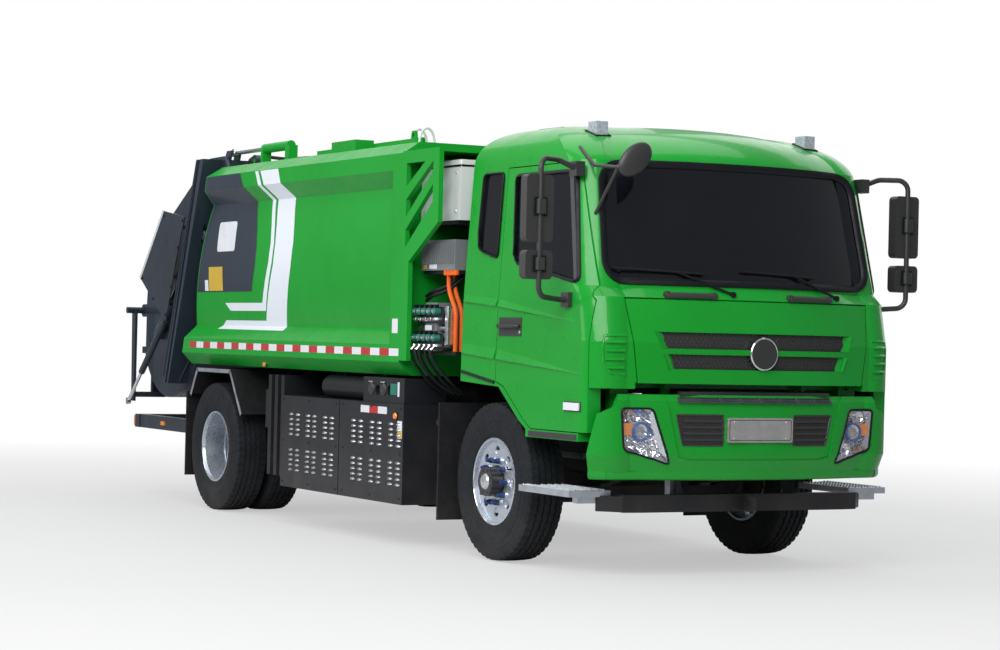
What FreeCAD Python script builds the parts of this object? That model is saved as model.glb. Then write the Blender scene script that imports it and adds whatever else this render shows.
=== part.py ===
import FreeCAD, Part
import math
import os

V = FreeCAD.Vector

# Electric rear-loading refuse truck, two axles, forward-control cab that tilts.
# Millimetres. +X forward, +Y to the driver's left, +Z up, ground at z = 0.
# A name that ends in _x is a place measured forward from the front axle.

# Whole vehicle
front_overhang = 1450.0
wheelbase = 4500.0
rear_overhang = 2500.0
front_axle_x = (front_overhang + wheelbase + rear_overhang) / 2 - front_overhang
rear_axle_x = -wheelbase
body_half_width = 1250.0
overrun = 60.0
seat_gap = 0.3
moving_gap = 6.0
pin_clearance = 0.4

# Tyres and wheels
tyre_diameter = 1036.0
tyre_width = 276.0
tyre_shoulder = 34.0
rim_diameter = 571.0
rim_flange = 22.0
rim_width = 236.0
rim_wall = 14.0
disc_thickness = 12.0
disc_hole_diameter = 62.0
disc_hole_circle = 400.0
disc_hole_count = 8
stud_circle = 285.0
stud_count = 10
stud_diameter = 30.0
stud_length = 42.0
front_hub_diameter = 190.0
front_hub_length = 95.0
rear_hub_diameter = 230.0
rear_hub_length = 120.0
drum_diameter = 410.0
drum_length = 150.0
drum_wall = 16.0
front_tyre_y = 972.0
rear_outer_tyre_y = 1101.0
twin_spacing = 323.0
front_disc_inset = 30.0

# Front axle and steering
kingpin_y = 830.0
kingpin_diameter = 50.0
kingpin_boss_diameter = 110.0
kingpin_boss_height = 150.0
knuckle_ear_height = 34.0
knuckle_plate_y = 902.0
knuckle_plate_thickness = 22.0
knuckle_plate_diameter = 340.0
spindle_diameter = 84.0
axle_beam_width = 100.0
axle_beam_height = 105.0
axle_drop = 86.0
axle_drop_y = 610.0

# Rear axle
rear_tube_diameter = 150.0
rear_tube_end_y = 700.0
rear_spindle_diameter = 96.0
rear_spindle_end_y = 1010.0
differential_diameter = 430.0
differential_length = 300.0
pinion_diameter = 210.0
pinion_length = 330.0

# Springs
front_spring_y = 390.0
rear_spring_y = 520.0
spring_leaf_width = 78.0
spring_leaf_height = 17.0
spring_leaf_count = 5
front_spring_length = 1420.0
rear_spring_length = 1500.0
front_spring_camber = 95.0
rear_spring_camber = 40.0
spring_step_share = 0.16
spring_eye_diameter = 66.0
hanger_thickness = 22.0

# Ladder frame and the subframe that carries the refuse body
rail_half_width = 430.0
rail_bottom_z = 700.0
rail_top_z = 960.0
rail_flange = 80.0
rail_web = 9.0
rail_front_x = 1180.0
rail_rear_x = -5400.0
cross_member_x = (1060.0, 560.0, -220.0, -900.0, -1600.0, -2300.0, -3000.0, -3700.0, -4480.0, -5310.0)
cross_member_length = 90.0
cross_member_low_z = 812.0
cross_member_high_z = 932.0
subframe_front_x = -1080.0
subframe_rear_x = -5260.0
subframe_rail_width = 70.0
subframe_top_z = 1177.7
subframe_cross_x = (-1180.0, -1900.0, -2620.0, -3340.0, -4010.0, -4720.0)
subframe_cross_length = 80.0
subframe_cross_height = 100.0
subframe_cross_half = 600.0
rail_hole_radius = 8.5
rail_hole_spacing_x = 200.0
rail_hole_spacing_z = 120.0
rail_hole_x = -4850.0
tow_eye_radius = 22.0
tow_eye_length = 40.0
tow_eye_outer = 52.0
tow_eye_neck = 60.0
front_tow_x = 1350.0
rear_tow_x = -5480.0
rear_tow_z = 830.0

# Drive line
motor_front_x = -310.3
motor_length = 589.4
motor_width = 460.0
motor_z = 640.0
motor_shaft_z = 702.0
shaft_end_gap = 3.0
prop_shaft_diameter = 96.0

# Cab form: places along X of the outer skin at each level
cab_wall = 50.0
cab_back_x = -380.0
cab_level_z = (835.0, 1165.0, 1450.0, 1725.0, 1790.0, 2575.0)
cab_level_front = (1446.0, 1450.0, 1462.0, 1425.0, 1390.0, 1200.0)
cab_level_bow = (120.0, 120.0, 124.0, 142.0, 186.0, 176.0)
cab_level_half = (1152.0, 1152.0, 1148.0, 1142.0, 1138.0, 1086.0)
cab_corner_y = 238.0
cab_corner_x = 156.0
roof_level_z = (2575.0, 2665.0, 2745.0, 2805.0, 2842.0)
roof_level_front = (1200.0, 1128.0, 1000.0, 810.0, 560.0)
roof_level_bow = (176.0, 190.0, 205.0, 215.0, 190.0)
roof_level_half = (1086.0, 1068.0, 1010.0, 905.0, 730.0)
roof_level_back = (-380.0, -368.0, -325.0, -235.0, -60.0)
roof_corner_y = 260.0
roof_corner_x = 200.0
corner_bulge_share = 0.40
cab_floor_z = 1165.0
cab_floor_front_x = 1100.0
cab_nose_z = 1205.0
nose_half_width = 860.0
well_rear_x = 514.0
well_front_x = 1165.0
well_inner_y = 800.0
sill_inner_y = 1094.0
side_cut_y = 940.0
arch_top_z = 1140.0
arch_mid_x = 145.0
arch_shoulder_x = 420.0
arch_shoulder_z = 936.0
seat_row_x = 95.0

# Doors, windows and lid, seen from the side or the front
door_rear_x = 100.0
door_front_x = 1235.0
door_bottom_z = 885.0
door_top_z = 2560.0
door_pillar_x = 960.0
door_shoulder_x = 1196.0
door_shoulder_z = 1752.0
door_front_z = 1700.0
door_gap = 6.0
door_sweep_x = 1030.0
door_sweep_y = 930.0
window_rear_top_x = 210.0
window_rear_x = 268.0
window_rear_z = 1945.0
window_front_x = 1090.0
window_front_z = 1805.0
window_top_x = 945.0
window_top_z = 2505.0
quarter_rear_top_x = -215.0
quarter_rear_x = -228.0
quarter_front_x = 55.0
quarter_rear_z = 2036.0
quarter_front_z = 1972.0
quarter_top_z = 2530.0
shield_bottom_half = 985.0
shield_top_half = 940.0
shield_bottom_z = 1832.0
shield_top_z = 2548.0
shield_corner = 110.0
rear_window_half = 620.0
rear_window_bottom_z = 1900.0
rear_window_top_z = 2420.0
glass_inset = 9.0
glass_thickness = 6.0
glass_gap = 1.0
window_corner = 45.0
lid_top_half = 917.0
lid_bottom_half = 850.0
lid_top_z = 1722.0
lid_bottom_z = 1200.0
lid_thickness = 30.0
lid_gap = 8.0
grille_top_z = 1516.0
grille_middle_z = 1415.0
grille_low_z = 1381.0
grille_bottom_z = 1290.0
grille_upper_half = 740.0
grille_lower_half = 660.0
grille_slant = 34.0
mesh_inset = 20.0
mesh_thickness = 10.0
disc_radius = 92.0
disc_depth = 16.0
disc_z = 1392.0

# Cab tilt
tilt_x = 1300.0
tilt_z = 950.0
tilt_pin_radius = 20.0
tilt_eye_radius = 44.0
tilt_arm_y = 500.0
tilt_arm_thickness = 32.0
tilt_bracket_thickness = 24.0
tilt_arm_foot_x = 1110.0
tilt_arm_neck_z = 1052.0
tilt_arm_width = 62.0
cab_bridge_x = -300.0
cab_bridge_width = 90.0
cab_bridge_height = 70.0

# Cab inside
dash_rear_x = 900.0
dash_front_x = 1120.0
dash_bottom_z = 1560.0
dash_top_z = 1860.0
dash_half = 925.0
dash_bracket_y = 620.0
dash_bracket_width = 40.0
dash_bracket_height = 90.0
bulkhead_x = 1170.0
bulkhead_thickness = 20.0
lid_stop_y = 745.0
lid_stop_size = 36.0
lid_stop_low_z = 1300.0
lid_stop_high_z = 1640.0
wheel_centre_x = 830.0
wheel_centre_y = 560.0
wheel_centre_z = 1830.0
wheel_radius = 225.0
wheel_rim_radius = 15.0
wheel_spoke_radius = 12.0
column_length = 315.0
wheel_tilt = 40.0
column_radius = 28.0
seat_width = 500.0
seat_depth = 500.0
seat_cushion_z = 1560.0
seat_cushion_height = 130.0
seat_back_height = 700.0
seat_back_thickness = 130.0
seat_centre_y = 640.0

# Mirrors
mirror_tube_radius = 17.0
mirror_tube_x = 1075.0
mirror_tube_y = 1400.0
mirror_top_z = 2560.0
mirror_low_z = 1715.0
mirror_foot_top_x = 980.0
mirror_foot_top_z = 2510.0
mirror_foot_low_x = 1000.0
mirror_foot_low_z = 1700.0
mirror_foot_size = 90.0
mirror_foot_thickness = 30.0
mirror_bend = 70.0
tall_mirror_low_z = 2045.0
tall_mirror_high_z = 2455.0
tall_mirror_width = 190.0
mirror_depth = 75.0
square_mirror_low_z = 1818.0
square_mirror_high_z = 1995.0
square_mirror_width = 190.0
mirror_corner = 30.0

# Front mirror
oval_mirror_x = 1345.0
oval_mirror_y = 897.0
oval_mirror_z = 2560.0
oval_long = 270.0
oval_short = 170.0
oval_depth = 70.0
oval_lean = -50.0
oval_arm_radius = 11.0
oval_joint_radius = 17.0
oval_unit = 1.0
oval_foot_low_x = 1075.0
oval_foot_low_y = 1008.0
oval_foot_low_z = 2235.0
oval_foot_top_x = 880.0
oval_foot_top_y = 1015.0
oval_foot_top_z = 2655.0
oval_bend_x = 1090.0
oval_bend_y = 1030.0
oval_bend_z = 2530.0
oval_joint_x = 1300.0
oval_joint_y = 990.0
oval_joint_z = 2510.0

# Wipers, roof lamps, vents
wiper_pivot_y = (-204.0, 638.0)
wiper_arm_reach = 350.0
wiper_blade_reach = 400.0
wiper_radius = 8.0
wiper_pivot_radius = 18.0
wiper_pivot_z = 1756.0
wiper_arm_rise = 130.0
wiper_blade_rise = 16.0
wiper_standoff = 14.0
roof_lamp_x = 735.0
roof_lamp_y = 800.0
roof_lamp_z = 2800.0
roof_lamp_length = 110.0
roof_lamp_width = 80.0
roof_lamp_height = 36.0

# Front bumper
bumper_level_z = (655.0, 760.0, 1095.0, 1132.0)
bumper_level_front = (1428.0, 1450.0, 1450.0, 1432.0)
bumper_level_half = (1105.0, 1132.0, 1136.0, 1124.0)
bumper_bow = 120.0
bumper_corner_y = 250.0
bumper_corner_x = 112.0
bumper_wall = 62.0
bumper_rear_low_x = 1195.0
bumper_rear_high_x = 1312.0
bumper_tail = 300.0
bumper_notch_x = 1284.0
bumper_notch_z = 1012.0
bumper_notch_y = 1000.0
bumper_notch_slant = 60.0
recess_depth = 12.0
recess_outline = ((700.0, 1160.0), (645.0, 1064.0), (571.0, 750.0), (490.0, 731.0))
lamp_outer_half = 950.0
lamp_inner_half = 741.0
lamp_low_inner_half = 622.0
lamp_low_outer_half = 926.0
lamp_top_z = 1046.0
lamp_low_inner_z = 703.0
lamp_low_outer_z = 791.0
vent_inner_half = 262.0
vent_outer_top_half = 585.0
vent_outer_low_half = 540.0
vent_top_z = 1012.0
vent_bottom_z = 820.0
vent_depth = 16.0
vent_back_depth = 34.0
vent_bar_depth = 6.0
vent_bar_count = 5
step_mesh_half = 560.0
step_mesh_front_x = 1392.0
step_mesh_rear_x = 1352.0
step_mesh_top_z = 1152.0
bumper_stay_outer_y = 400.0
bumper_stay_inner_y = 352.0
bumper_stay_low_z = 690.0
bumper_stay_high_z = 800.0

# Underrun beam and entry steps
underrun_front_x = 1290.0
underrun_depth = 90.0
underrun_bottom_z = 405.0
underrun_top_z = 512.0
underrun_half = 880.0
underrun_flat_half = 760.0
underrun_sweep = 20.0
underrun_hanger_width = 50.0
step_rear_x = 530.0
step_inner_rear_x = 610.0
step_front_x = 1160.0
step_outer_y = 1200.0
step_split_y = 1128.0
step_inner_y = 905.0
step_top_z = 535.0
step_thickness = 40.0
step_arm_width = 60.0
step_arm_x = 1080.0

# Mudguards and flaps
front_flap_x = -615.0
front_flap_thickness = 20.0
front_flap_low_z = 220.0
front_flap_high_z = 1010.0
front_flap_inner_y = 800.0
front_flap_outer_y = body_half_width - 70.0
flap_stay_diameter = 42.0
guard_thickness = 34.0
guard_top_z = 1150.0
guard_rear_x = -5010.0
guard_rear_low_z = 930.0
guard_top_rear_x = -4870.0
guard_top_front_x = -4150.0
guard_front_x = -3900.0
guard_front_low_z = 800.0
guard_inner_y = 630.0
guard_outer_y = body_half_width - 4.0
rear_flap_x = -5110.0
rear_flap_low_z = 250.0
rear_flap_high_z = 980.0
rear_flap_inner_y = 640.0
rear_flap_outer_y = body_half_width - 10.0

# Battery boxes at the sides
box_front_x = -1020.0
box_rear_x = -3100.0
box_bottom_z = 290.0
box_top_z = 980.0
box_inner_y = 470.0
box_chamfer = 110.0
box_rim = 22.0
box_seam_x = -2060.0
box_seam_width = 12.0
box_seam_depth = 8.0
hanger_bar_length = 80.0
hanger_bar_height = 60.0
charge_box_front_x = -1060.0
charge_box_rear_x = -1710.0
charge_box_inner_y = 900.0
charge_box_top_z = 1158.0
socket_radius = 36.0
socket_depth = 30.0
socket_pitch = 190.0
tank_diameter = 170.0
tank_front_x = -1760.0
tank_rear_x = -2560.0
tank_y = 1080.0

# Ribbed brackets behind the battery box
bracket_front_x = -3140.0
bracket_pitch = 120.0
bracket_thickness = 60.0
bracket_count = 3
bracket_low_z = 360.0
bracket_high_z = 1128.0
bracket_outer_y = 1215.0
bracket_inner_y = 470.0
bracket_notch = 420.0
small_box_x = -3640.0
small_box_length = 170.0
small_box_low_z = 710.0
small_box_high_z = 1010.0
small_box_inner_y = 700.0
small_box_outer_y = 1150.0

# Refuse body: half section, floor to roof
body_front_x = -1120.0
body_front_post = 150.0
body_floor_z = 1178.0
body_floor_thickness = 55.0
body_lip_y = 1150.0
body_rail_bottom_z = 1270.0
body_rail_top_z = 1392.0
body_panel_low_z = 1500.0
body_panel_y = 1150.0
body_panel_mid_z = 1990.0
body_bulge = 54.0
body_panel_high_z = 2487.0
body_top_rail_low_z = 2600.0
body_top_rail_high_z = 2716.0
body_roof_y = 1120.0
body_roof_z = 2800.0
body_wall = 60.0
body_front_wall = 50.0
seam_top_x = -4722.0
seam_top_z = 2790.0
seam_low_x = -5170.0
seam_low_z = 1370.0
tailgate_gap = 8.0

# Ejector plate
ejector_rest_x = -1350.0
ejector_thickness = 70.0
ejector_half = 1030.0
ejector_bottom_z = 1262.0
ejector_top_z = 2640.0
ejector_rib_depth = 60.0
ejector_rib_width = 60.0
ejector_shoe_length = 160.0
ejector_shoe_height = 120.0
ejector_rib_count = 5

# Fairings and equipment behind the cab
fairing_thickness = 34.0
fairing_front_x = -572.0
fairing_corner_z = 2222.0
fairing_knee_z = 1960.0
fairing_foot_x = -942.0
fairing_foot_z = 1282.0
fairing_top_z = 2700.0
slot_band_low_z = 2060.0
slot_height = 120.0
slot_pitch = 210.0
slot_rise = 300.0
slot_rear_x = -1060.0
slot_front_x = -660.0
fairing_lid_thickness = 26.0
rack_post_size = 60.0
rack_front_x = -560.0
rack_rear_x = -1060.0
rack_half = 480.0
rack_shelf_left_y = 880.0
rack_shelf_right_y = 1100.0
rack_bottom_z = 1020.0
rack_shelf_z = (1330.0, 1880.0, 2215.0)
rack_shelf_thickness = 24.0
cooling_front_x = -500.0
cooling_rear_x = -1080.0
cooling_outer_y = 1120.0
cooling_inner_y = -150.0
cooling_top_z = 2640.0
controller_front_x = -560.0
controller_rear_x = -1060.0
controller_outer_y = 1120.0
controller_inner_y = 500.0
controller_high_z = 2110.0
valve_outer_y = 1140.0
valve_inner_y = 760.0
valve_rows_z = (1400.0, 1455.0, 1560.0, 1615.0)
valve_radius = 20.0
valve_front_x = -650.0
valve_rear_x = -1040.0
valve_body_length = 170.0
valve_body_height = 330.0
cable_radius = 15.0
cable_y = 1090.0
cable_spacing = 46.0
cable_top_x = -700.0
cable_low_x = -585.0
cable_knee_z = 1700.0
cable_bend = 150.0

# Roof fittings and tailgate lift cylinders
tail_hinge_x = -4700.0
tail_hinge_z = 2862.0
tail_pin_radius = 25.0
tail_ear_radius = 56.0
tail_ear_thickness = 26.0
tail_ear_y = 820.0
tail_ear_gap = 6.0
roof_box_length = 420.0
roof_box_width = 150.0
roof_box_height = 90.0
roof_box_x = -2300.0
lift_y = 985.0
lift_base_x = -3640.0
lift_axis_z = 2930.0
lift_barrel_radius = 38.0
lift_barrel_length = 520.0
lift_rod_radius = 20.0
lift_eye_x = -4790.0
lift_eye_radius = 34.0
lift_eye_width = 44.0
lift_lug_thickness = 16.0
lift_lug_gap = 9.0
roof_rail_half = 16.0
roof_rail_y = 900.0
roof_rail_front_x = -1500.0
roof_rail_rear_x = -3300.0
roof_rail_z = 2850.0
roof_rail_foot_shares = (0.02, 0.35, 0.68, 0.98)
lifting_lug_x = -1310.0
lifting_lug_y = 1060.0
lifting_lug_size = 90.0
lifting_lug_thickness = 22.0
lifting_lug_hole = 20.0
lug_hole_share = 0.6

# Tailgate with the hopper
tailgate_length = 1850.0
tailgate_base_z = 860.0
tailgate_height = 2040.0
tailgate_wall_y = 1045.0
tailgate_wall = 32.0
hopper_centre_x = -5930.0
hopper_centre_z = 1560.0
hopper_radius = 660.0
hopper_plate = 30.0
hopper_ramp_lap = 9.0
hopper_sill_width = 45.0
hopper_sill_z = 1300.0
slide_angle = 38.8
ramp_end_z = 1235.0
post_half_width = 1250.0
post_top_x = -4905.0
post_top_z = 2870.0
post_foot_x = -5590.0
post_foot_z = 1000.0
post_width = 150.0
post_groove = 40.0
post_groove_depth = 40.0
cover_thickness = 26.0
cover_front_x = -4800.0
cover_front_z = 2872.0
cover_rear_x = -6440.0
cover_rear_z = 2176.0
guard_plate_thickness = 10.0
guard_plate_y = body_half_width - 10.0
guard_spacer_radius = 16.0
guard_spacer_shares = ((0.42, 0.72), (0.50, 0.40), (0.74, 0.52))
wall_side_share = (
    (0.016, 0.951), (0.295, 0.170), (0.340, 0.170), (0.500, 0.120), (0.990, 0.216),
    (0.989, 0.417), (0.962, 0.612), (0.941, 0.655), (0.227, 0.998), (0.054, 1.000),
)
guard_side_share = (
    (0.564, 0.791), (0.284, 0.757), (0.383, 0.573), (0.491, 0.324), (0.846, 0.515),
)

# Packing gear in the hopper
slide_stroke = 550.0
blade_hinge_x = -5502.0
blade_hinge_z = 1905.0
blade_radius = 600.0
blade_closed_angle = -65.0
blade_thickness = 70.0
blade_half = 1010.0
blade_pin_radius = 30.0
blade_knuckle_radius = 55.0
blade_knuckle_length = 150.0
blade_rib_height = 60.0
blade_neck_share = 1.4
blade_rib_start_share = 1.8
blade_rib_top_share = 0.9
blade_rib_low_share = 0.7
blade_rib_width = 26.0
blade_rib_count = 4
slide_length = 735.0
slide_thickness = 60.0
slide_half = 1010.0
slide_pin_reach = 554.0
slide_pin_radius = 32.0
slide_slot_height = 78.0
packing_y = 1122.0
packing_barrel_radius = 40.0
packing_barrel_length = 642.0
packing_rod_radius = 22.0
packing_base_run = 1360.0
packing_eye_radius = 38.0
packing_eye_width = 52.0
packing_bore_floor = 24.0

# Bin lifter
lifter_hinge_x = -6612.0
lifter_hinge_z = 1620.0
lifter_shaft_radius = 28.0
lifter_lug_half = 44.0
lifter_half = 960.0
lifter_plate_x = -6680.0
lifter_plate_thickness = 40.0
lifter_top_z = 1650.0
lifter_bottom_z = 850.0
lifter_bar = 90.0
lifter_comb_z = 1120.0
lifter_tooth_count = 14
lifter_tooth_width = 36.0
lifter_tooth_height = 70.0
lifter_tooth_depth = 46.0
lifter_arm_y = 820.0
lifter_arm_thickness = 40.0
lifter_arm_tip_x = -6985.0
lifter_arm_tip_z = 1711.0
lifter_arm_height = 90.0
lifter_bracket_reach = 150.0
lifter_lever_gap = 7.0
bin_cyl_y = 1203.0
bin_base_x = -5730.0
bin_base_z = 1540.0
bin_barrel_radius = 28.0
bin_rod_start = 70.0
bin_barrel_length = 720.0
bin_rod_radius = 15.0
bin_eye_x = -6600.0
bin_eye_z = 815.0
bin_eye_radius = 30.0
bin_lever_thickness = 22.0

# Rear bumper with lamps
rear_beam_x = -6380.0
rear_beam_depth = 100.0
rear_beam_low_z = 590.0
rear_beam_high_z = 705.0
rear_beam_half = 1180.0
rear_arm_front_x = -5290.0
rear_arm_width = 60.0
rear_arm_y = 1170.0
rear_stay_length = 120.0
rear_stay_gap = 5.0
rear_stay_high_z = 680.0
tail_lamp_length = 330.0
tail_lamp_height = 90.0
tail_lamp_depth = 30.0
side_lamp_length = 62.0
side_lamp_height = 34.0
side_lamp_depth = 16.0


def fa(ahead):
    """Return the row X of a place that lies this far ahead of the front axle."""
    return front_axle_x + ahead


def unit(angle):
    """Return the unit direction in the XZ plane at this angle above +X."""
    turn = math.radians(angle)
    return V(math.cos(turn), 0, math.sin(turn))


def box(x0, x1, y0, y1, z0, z1):
    """Return a block between two corners given in any order."""
    corner = V(min(x0, x1), min(y0, y1), min(z0, z1))
    return Part.makeBox(abs(x1 - x0), abs(y1 - y0), abs(z1 - z0), corner)


def polygon_face(points):
    """Return the flat face inside a closed outline."""
    return Part.Face(Part.makePolygon(list(points) + [points[0]]))


def slab_y(outline, y0, y1):
    """Return the prism between y0 and y1 whose outline is given as (x, z)."""
    face = polygon_face([V(x, y0, z) for x, z in outline])
    return face.extrude(V(0, y1 - y0, 0))


def slab_x(outline, x0, x1):
    """Return the prism between x0 and x1 whose outline is given as (y, z)."""
    face = polygon_face([V(x0, y, z) for y, z in outline])
    return face.extrude(V(x1 - x0, 0, 0))


def slab_z(outline, z0, z1):
    """Return the prism between z0 and z1 whose outline is given as (x, y)."""
    face = polygon_face([V(x, y, z0) for x, y in outline])
    return face.extrude(V(0, 0, z1 - z0))


def rod(start, end, radius):
    """Return the round bar between two points."""
    run = end - start
    return Part.makeCylinder(radius, run.Length, start, run)


def cylinder_y(x, y0, y1, z, radius):
    """Return the round bar that lies along Y between y0 and y1."""
    return rod(V(x, min(y0, y1), z), V(x, max(y0, y1), z), radius)


def tube_y(x, y0, y1, z, radius, bore):
    """Return the ring that lies along Y, with its bore open at both ends."""
    return cylinder_y(x, y0, y1, z, radius).cut(cylinder_y(x, y0, y1, z, bore))


def across(shape):
    """Return the same piece on the other side of the vehicle."""
    return shape.mirror(V(0, 0, 0), V(0, 1, 0))


def both(shape):
    """Return a piece with its mirror image, as separate solids."""
    return Part.makeCompound([shape, across(shape)])


def fused(shapes):
    """Return one body of the shapes, with coplanar faces joined."""
    shapes = list(shapes)
    return shapes[0].multiFuse(shapes[1:]).removeSplitter()


def revolve_y(profile, x, z):
    """Turn an outline of (radius, y) points about the axis along Y through (x, z)."""
    face = polygon_face([V(x, y, z + radius) for radius, y in profile])
    return face.revolve(V(x, 0, z), V(0, 1, 0), 360)


def bent_tube(points, radius, bend):
    """Return the round bar that follows straight runs joined by tangent arcs."""
    edges = []
    start = points[0]
    for before, corner, after in zip(points, points[1:], points[2:]):
        into = (corner - before).normalize()
        out = (after - corner).normalize()
        half_turn = into.getAngle(out) / 2
        back = bend * math.tan(half_turn)
        first = corner - into * back
        last = corner + out * back
        inward = (out - into).normalize()
        middle = corner + inward * (bend / math.cos(half_turn) - bend)
        edges.append(Part.LineSegment(start, first).toShape())
        edges.append(Part.Arc(first, middle, last).toShape())
        start = last
    edges.append(Part.LineSegment(start, points[-1]).toShape())
    path = Part.Wire(edges)
    section = Part.Wire(Part.makeCircle(radius, points[0], points[1] - points[0]))
    return path.makePipeShell([section], True, False)


def rounded_outline_wire(points, radius):
    """Return the closed wire of an outline whose corners all have this radius."""
    edges = []
    count = len(points)
    starts = []
    for index, corner in enumerate(points):
        into = (corner - points[index - 1]).normalize()
        out = (points[(index + 1) % count] - corner).normalize()
        half_turn = into.getAngle(out) / 2
        back = radius * math.tan(half_turn)
        first = corner - into * back
        last = corner + out * back
        inward = (out - into).normalize()
        middle = corner + inward * (radius / math.cos(half_turn) - radius)
        starts.append((first, middle, last))
    for index, (first, middle, last) in enumerate(starts):
        edges.append(Part.Arc(first, middle, last).toShape())
        edges.append(Part.LineSegment(last, starts[(index + 1) % count][0]).toShape())
    return Part.Wire(edges)


def rounded_slab_y(outline, y0, y1, radius):
    """Return a prism along Y with rounded corners; the outline is (x, z)."""
    wire = rounded_outline_wire([V(x, y0, z) for x, z in outline], radius)
    return Part.Face(wire).extrude(V(0, y1 - y0, 0))


def rounded_slab_x(outline, x0, x1, radius):
    """Return a prism along X with rounded corners; the outline is (y, z)."""
    wire = rounded_outline_wire([V(x0, y, z) for y, z in outline], radius)
    return Part.Face(wire).extrude(V(x1 - x0, 0, 0))


def nose_wire(z, front, bow, half, back, corner_x, corner_y):
    """Return one level of a nose: flat back and sides, round corners, bowed front."""
    front_corner = V(fa(front - bow), half - corner_y, z)
    side_corner = V(fa(front - bow - corner_x), half, z)
    vertex = V(fa(front - bow), half, z)
    chord = (front_corner + side_corner) / 2
    bulge = chord + (vertex - chord) * corner_bulge_share
    left = [
        Part.LineSegment(V(fa(back), half, z), side_corner).toShape(),
        Part.Arc(side_corner, bulge, front_corner).toShape(),
    ]
    nose = Part.Arc(front_corner, V(fa(front), 0, z), V(front_corner.x, -front_corner.y, z)).toShape()
    right = [
        Part.Arc(V(front_corner.x, -front_corner.y, z), V(bulge.x, -bulge.y, z),
                 V(side_corner.x, -half, z)).toShape(),
        Part.LineSegment(V(side_corner.x, -half, z), V(fa(back), -half, z)).toShape(),
    ]
    rear = [Part.LineSegment(V(fa(back), -half, z), V(fa(back), half, z)).toShape()]
    return Part.Wire(left + [nose] + right + rear)


def hull_at(z):
    """Return the cab's front, bow and half width at this height below the roof."""
    low = 0
    while cab_level_z[low + 1] < z:
        low += 1
    share = (z - cab_level_z[low]) / (cab_level_z[low + 1] - cab_level_z[low])
    sizes = []
    for levels in (cab_level_front, cab_level_bow, cab_level_half):
        sizes.append(levels[low] + (levels[low + 1] - levels[low]) * share)
    return sizes


def level_wire(z, inset):
    """Return the cab's plan section at this height, moved inward by the inset."""
    front, bow, half = hull_at(z)
    return nose_wire(z, front - inset, bow, half - inset, cab_back_x + inset, cab_corner_x, cab_corner_y)


def cab_volume(inset):
    """Return the solid inside the cab's skin, moved inward by the inset."""
    lower = []
    for z, front, bow, half in zip(cab_level_z, cab_level_front, cab_level_bow, cab_level_half):
        lower.append(nose_wire(z, front - inset, bow, half - inset, cab_back_x + inset,
                               cab_corner_x, cab_corner_y))
    upper = []
    levels = zip(roof_level_z, roof_level_front, roof_level_bow, roof_level_half, roof_level_back)
    for index, (z, front, bow, half, back) in enumerate(levels):
        share = index / (len(roof_level_z) - 1)
        upper.append(nose_wire(z - inset * share, front - inset, bow, half - inset, back + inset,
                               cab_corner_x + (roof_corner_x - cab_corner_x) * min(1, 2 * share),
                               cab_corner_y + (roof_corner_y - cab_corner_y) * min(1, 2 * share)))
    hull = Part.makeLoft(lower, True, True)
    roof = Part.makeLoft(upper, True, False)
    return hull.fuse(roof)


def side_prism(outline, side):
    """Return a prism through the cab's side wall; side is 1 for left, -1 for right."""
    return slab_y([(fa(x), z) for x, z in outline], side * side_cut_y, side * (body_half_width + overrun))


def rounded_side_prism(outline, side, radius):
    """Return a prism with rounded corners through the cab's side wall."""
    points = [(fa(x), z) for x, z in outline]
    return rounded_slab_y(points, side * side_cut_y, side * (body_half_width + overrun), radius)


def door_outline(gap):
    """Return the door's outline as (x, z), drawn in by the gap all round."""
    return [
        (door_rear_x + gap, door_top_z - gap),
        (door_pillar_x - gap, door_top_z - gap),
        (door_shoulder_x - gap, door_shoulder_z),
        (door_front_x - gap, door_front_z - gap),
        (door_front_x - gap, door_bottom_z + gap),
        (well_rear_x + overrun + gap, door_bottom_z + gap),
        (arch_shoulder_x + overrun + gap, arch_shoulder_z + gap),
        (arch_mid_x + overrun + gap, arch_top_z + gap),
        (door_rear_x + gap, arch_top_z + overrun / 2 + gap),
    ]


def window_outline(gap):
    """Return the door window's outline as (x, z), drawn in by the gap."""
    return [
        (window_rear_top_x + gap, window_top_z - gap),
        (window_top_x - gap, window_top_z - gap),
        (window_front_x - gap, window_front_z + gap),
        (window_rear_x + gap, window_rear_z + gap),
    ]


def quarter_outline(gap):
    """Return the quarter window's outline as (x, z), drawn in by the gap."""
    return [
        (quarter_rear_top_x + gap, quarter_top_z - gap),
        (quarter_front_x - gap, quarter_top_z - gap),
        (quarter_front_x - gap, quarter_front_z + gap),
        (quarter_rear_x + gap, quarter_rear_z + gap),
    ]


def shield_prism(gap):
    """Return the prism of the windscreen's opening, drawn in by the gap."""
    outline = [
        (shield_bottom_half - gap, shield_bottom_z + gap),
        (shield_top_half - gap, shield_top_z - gap),
        (-shield_top_half + gap, shield_top_z - gap),
        (-shield_bottom_half + gap, shield_bottom_z + gap),
    ]
    return rounded_slab_x(outline, fa(window_top_x - cab_corner_x), fa(front_overhang + overrun),
                          shield_corner)


def lid_prism(gap):
    """Return the lid opening's prism, drawn in by the gap, with its top edge bevelled back."""
    outline = [
        (lid_bottom_half - gap, lid_bottom_z),
        (lid_top_half - gap, lid_top_z - gap),
        (-lid_top_half + gap, lid_top_z - gap),
        (-lid_bottom_half + gap, lid_bottom_z),
    ]
    prism = slab_x(outline, fa(bulkhead_x + overrun), fa(front_overhang + overrun))
    crown = lid_top_z - gap
    bevel = Part.makeLoft([level_wire(crown - overrun, overrun), level_wire(crown + overrun / 3,
                                                                            -overrun / 3)],
                          True, True)
    return prism.cut(bevel)


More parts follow.
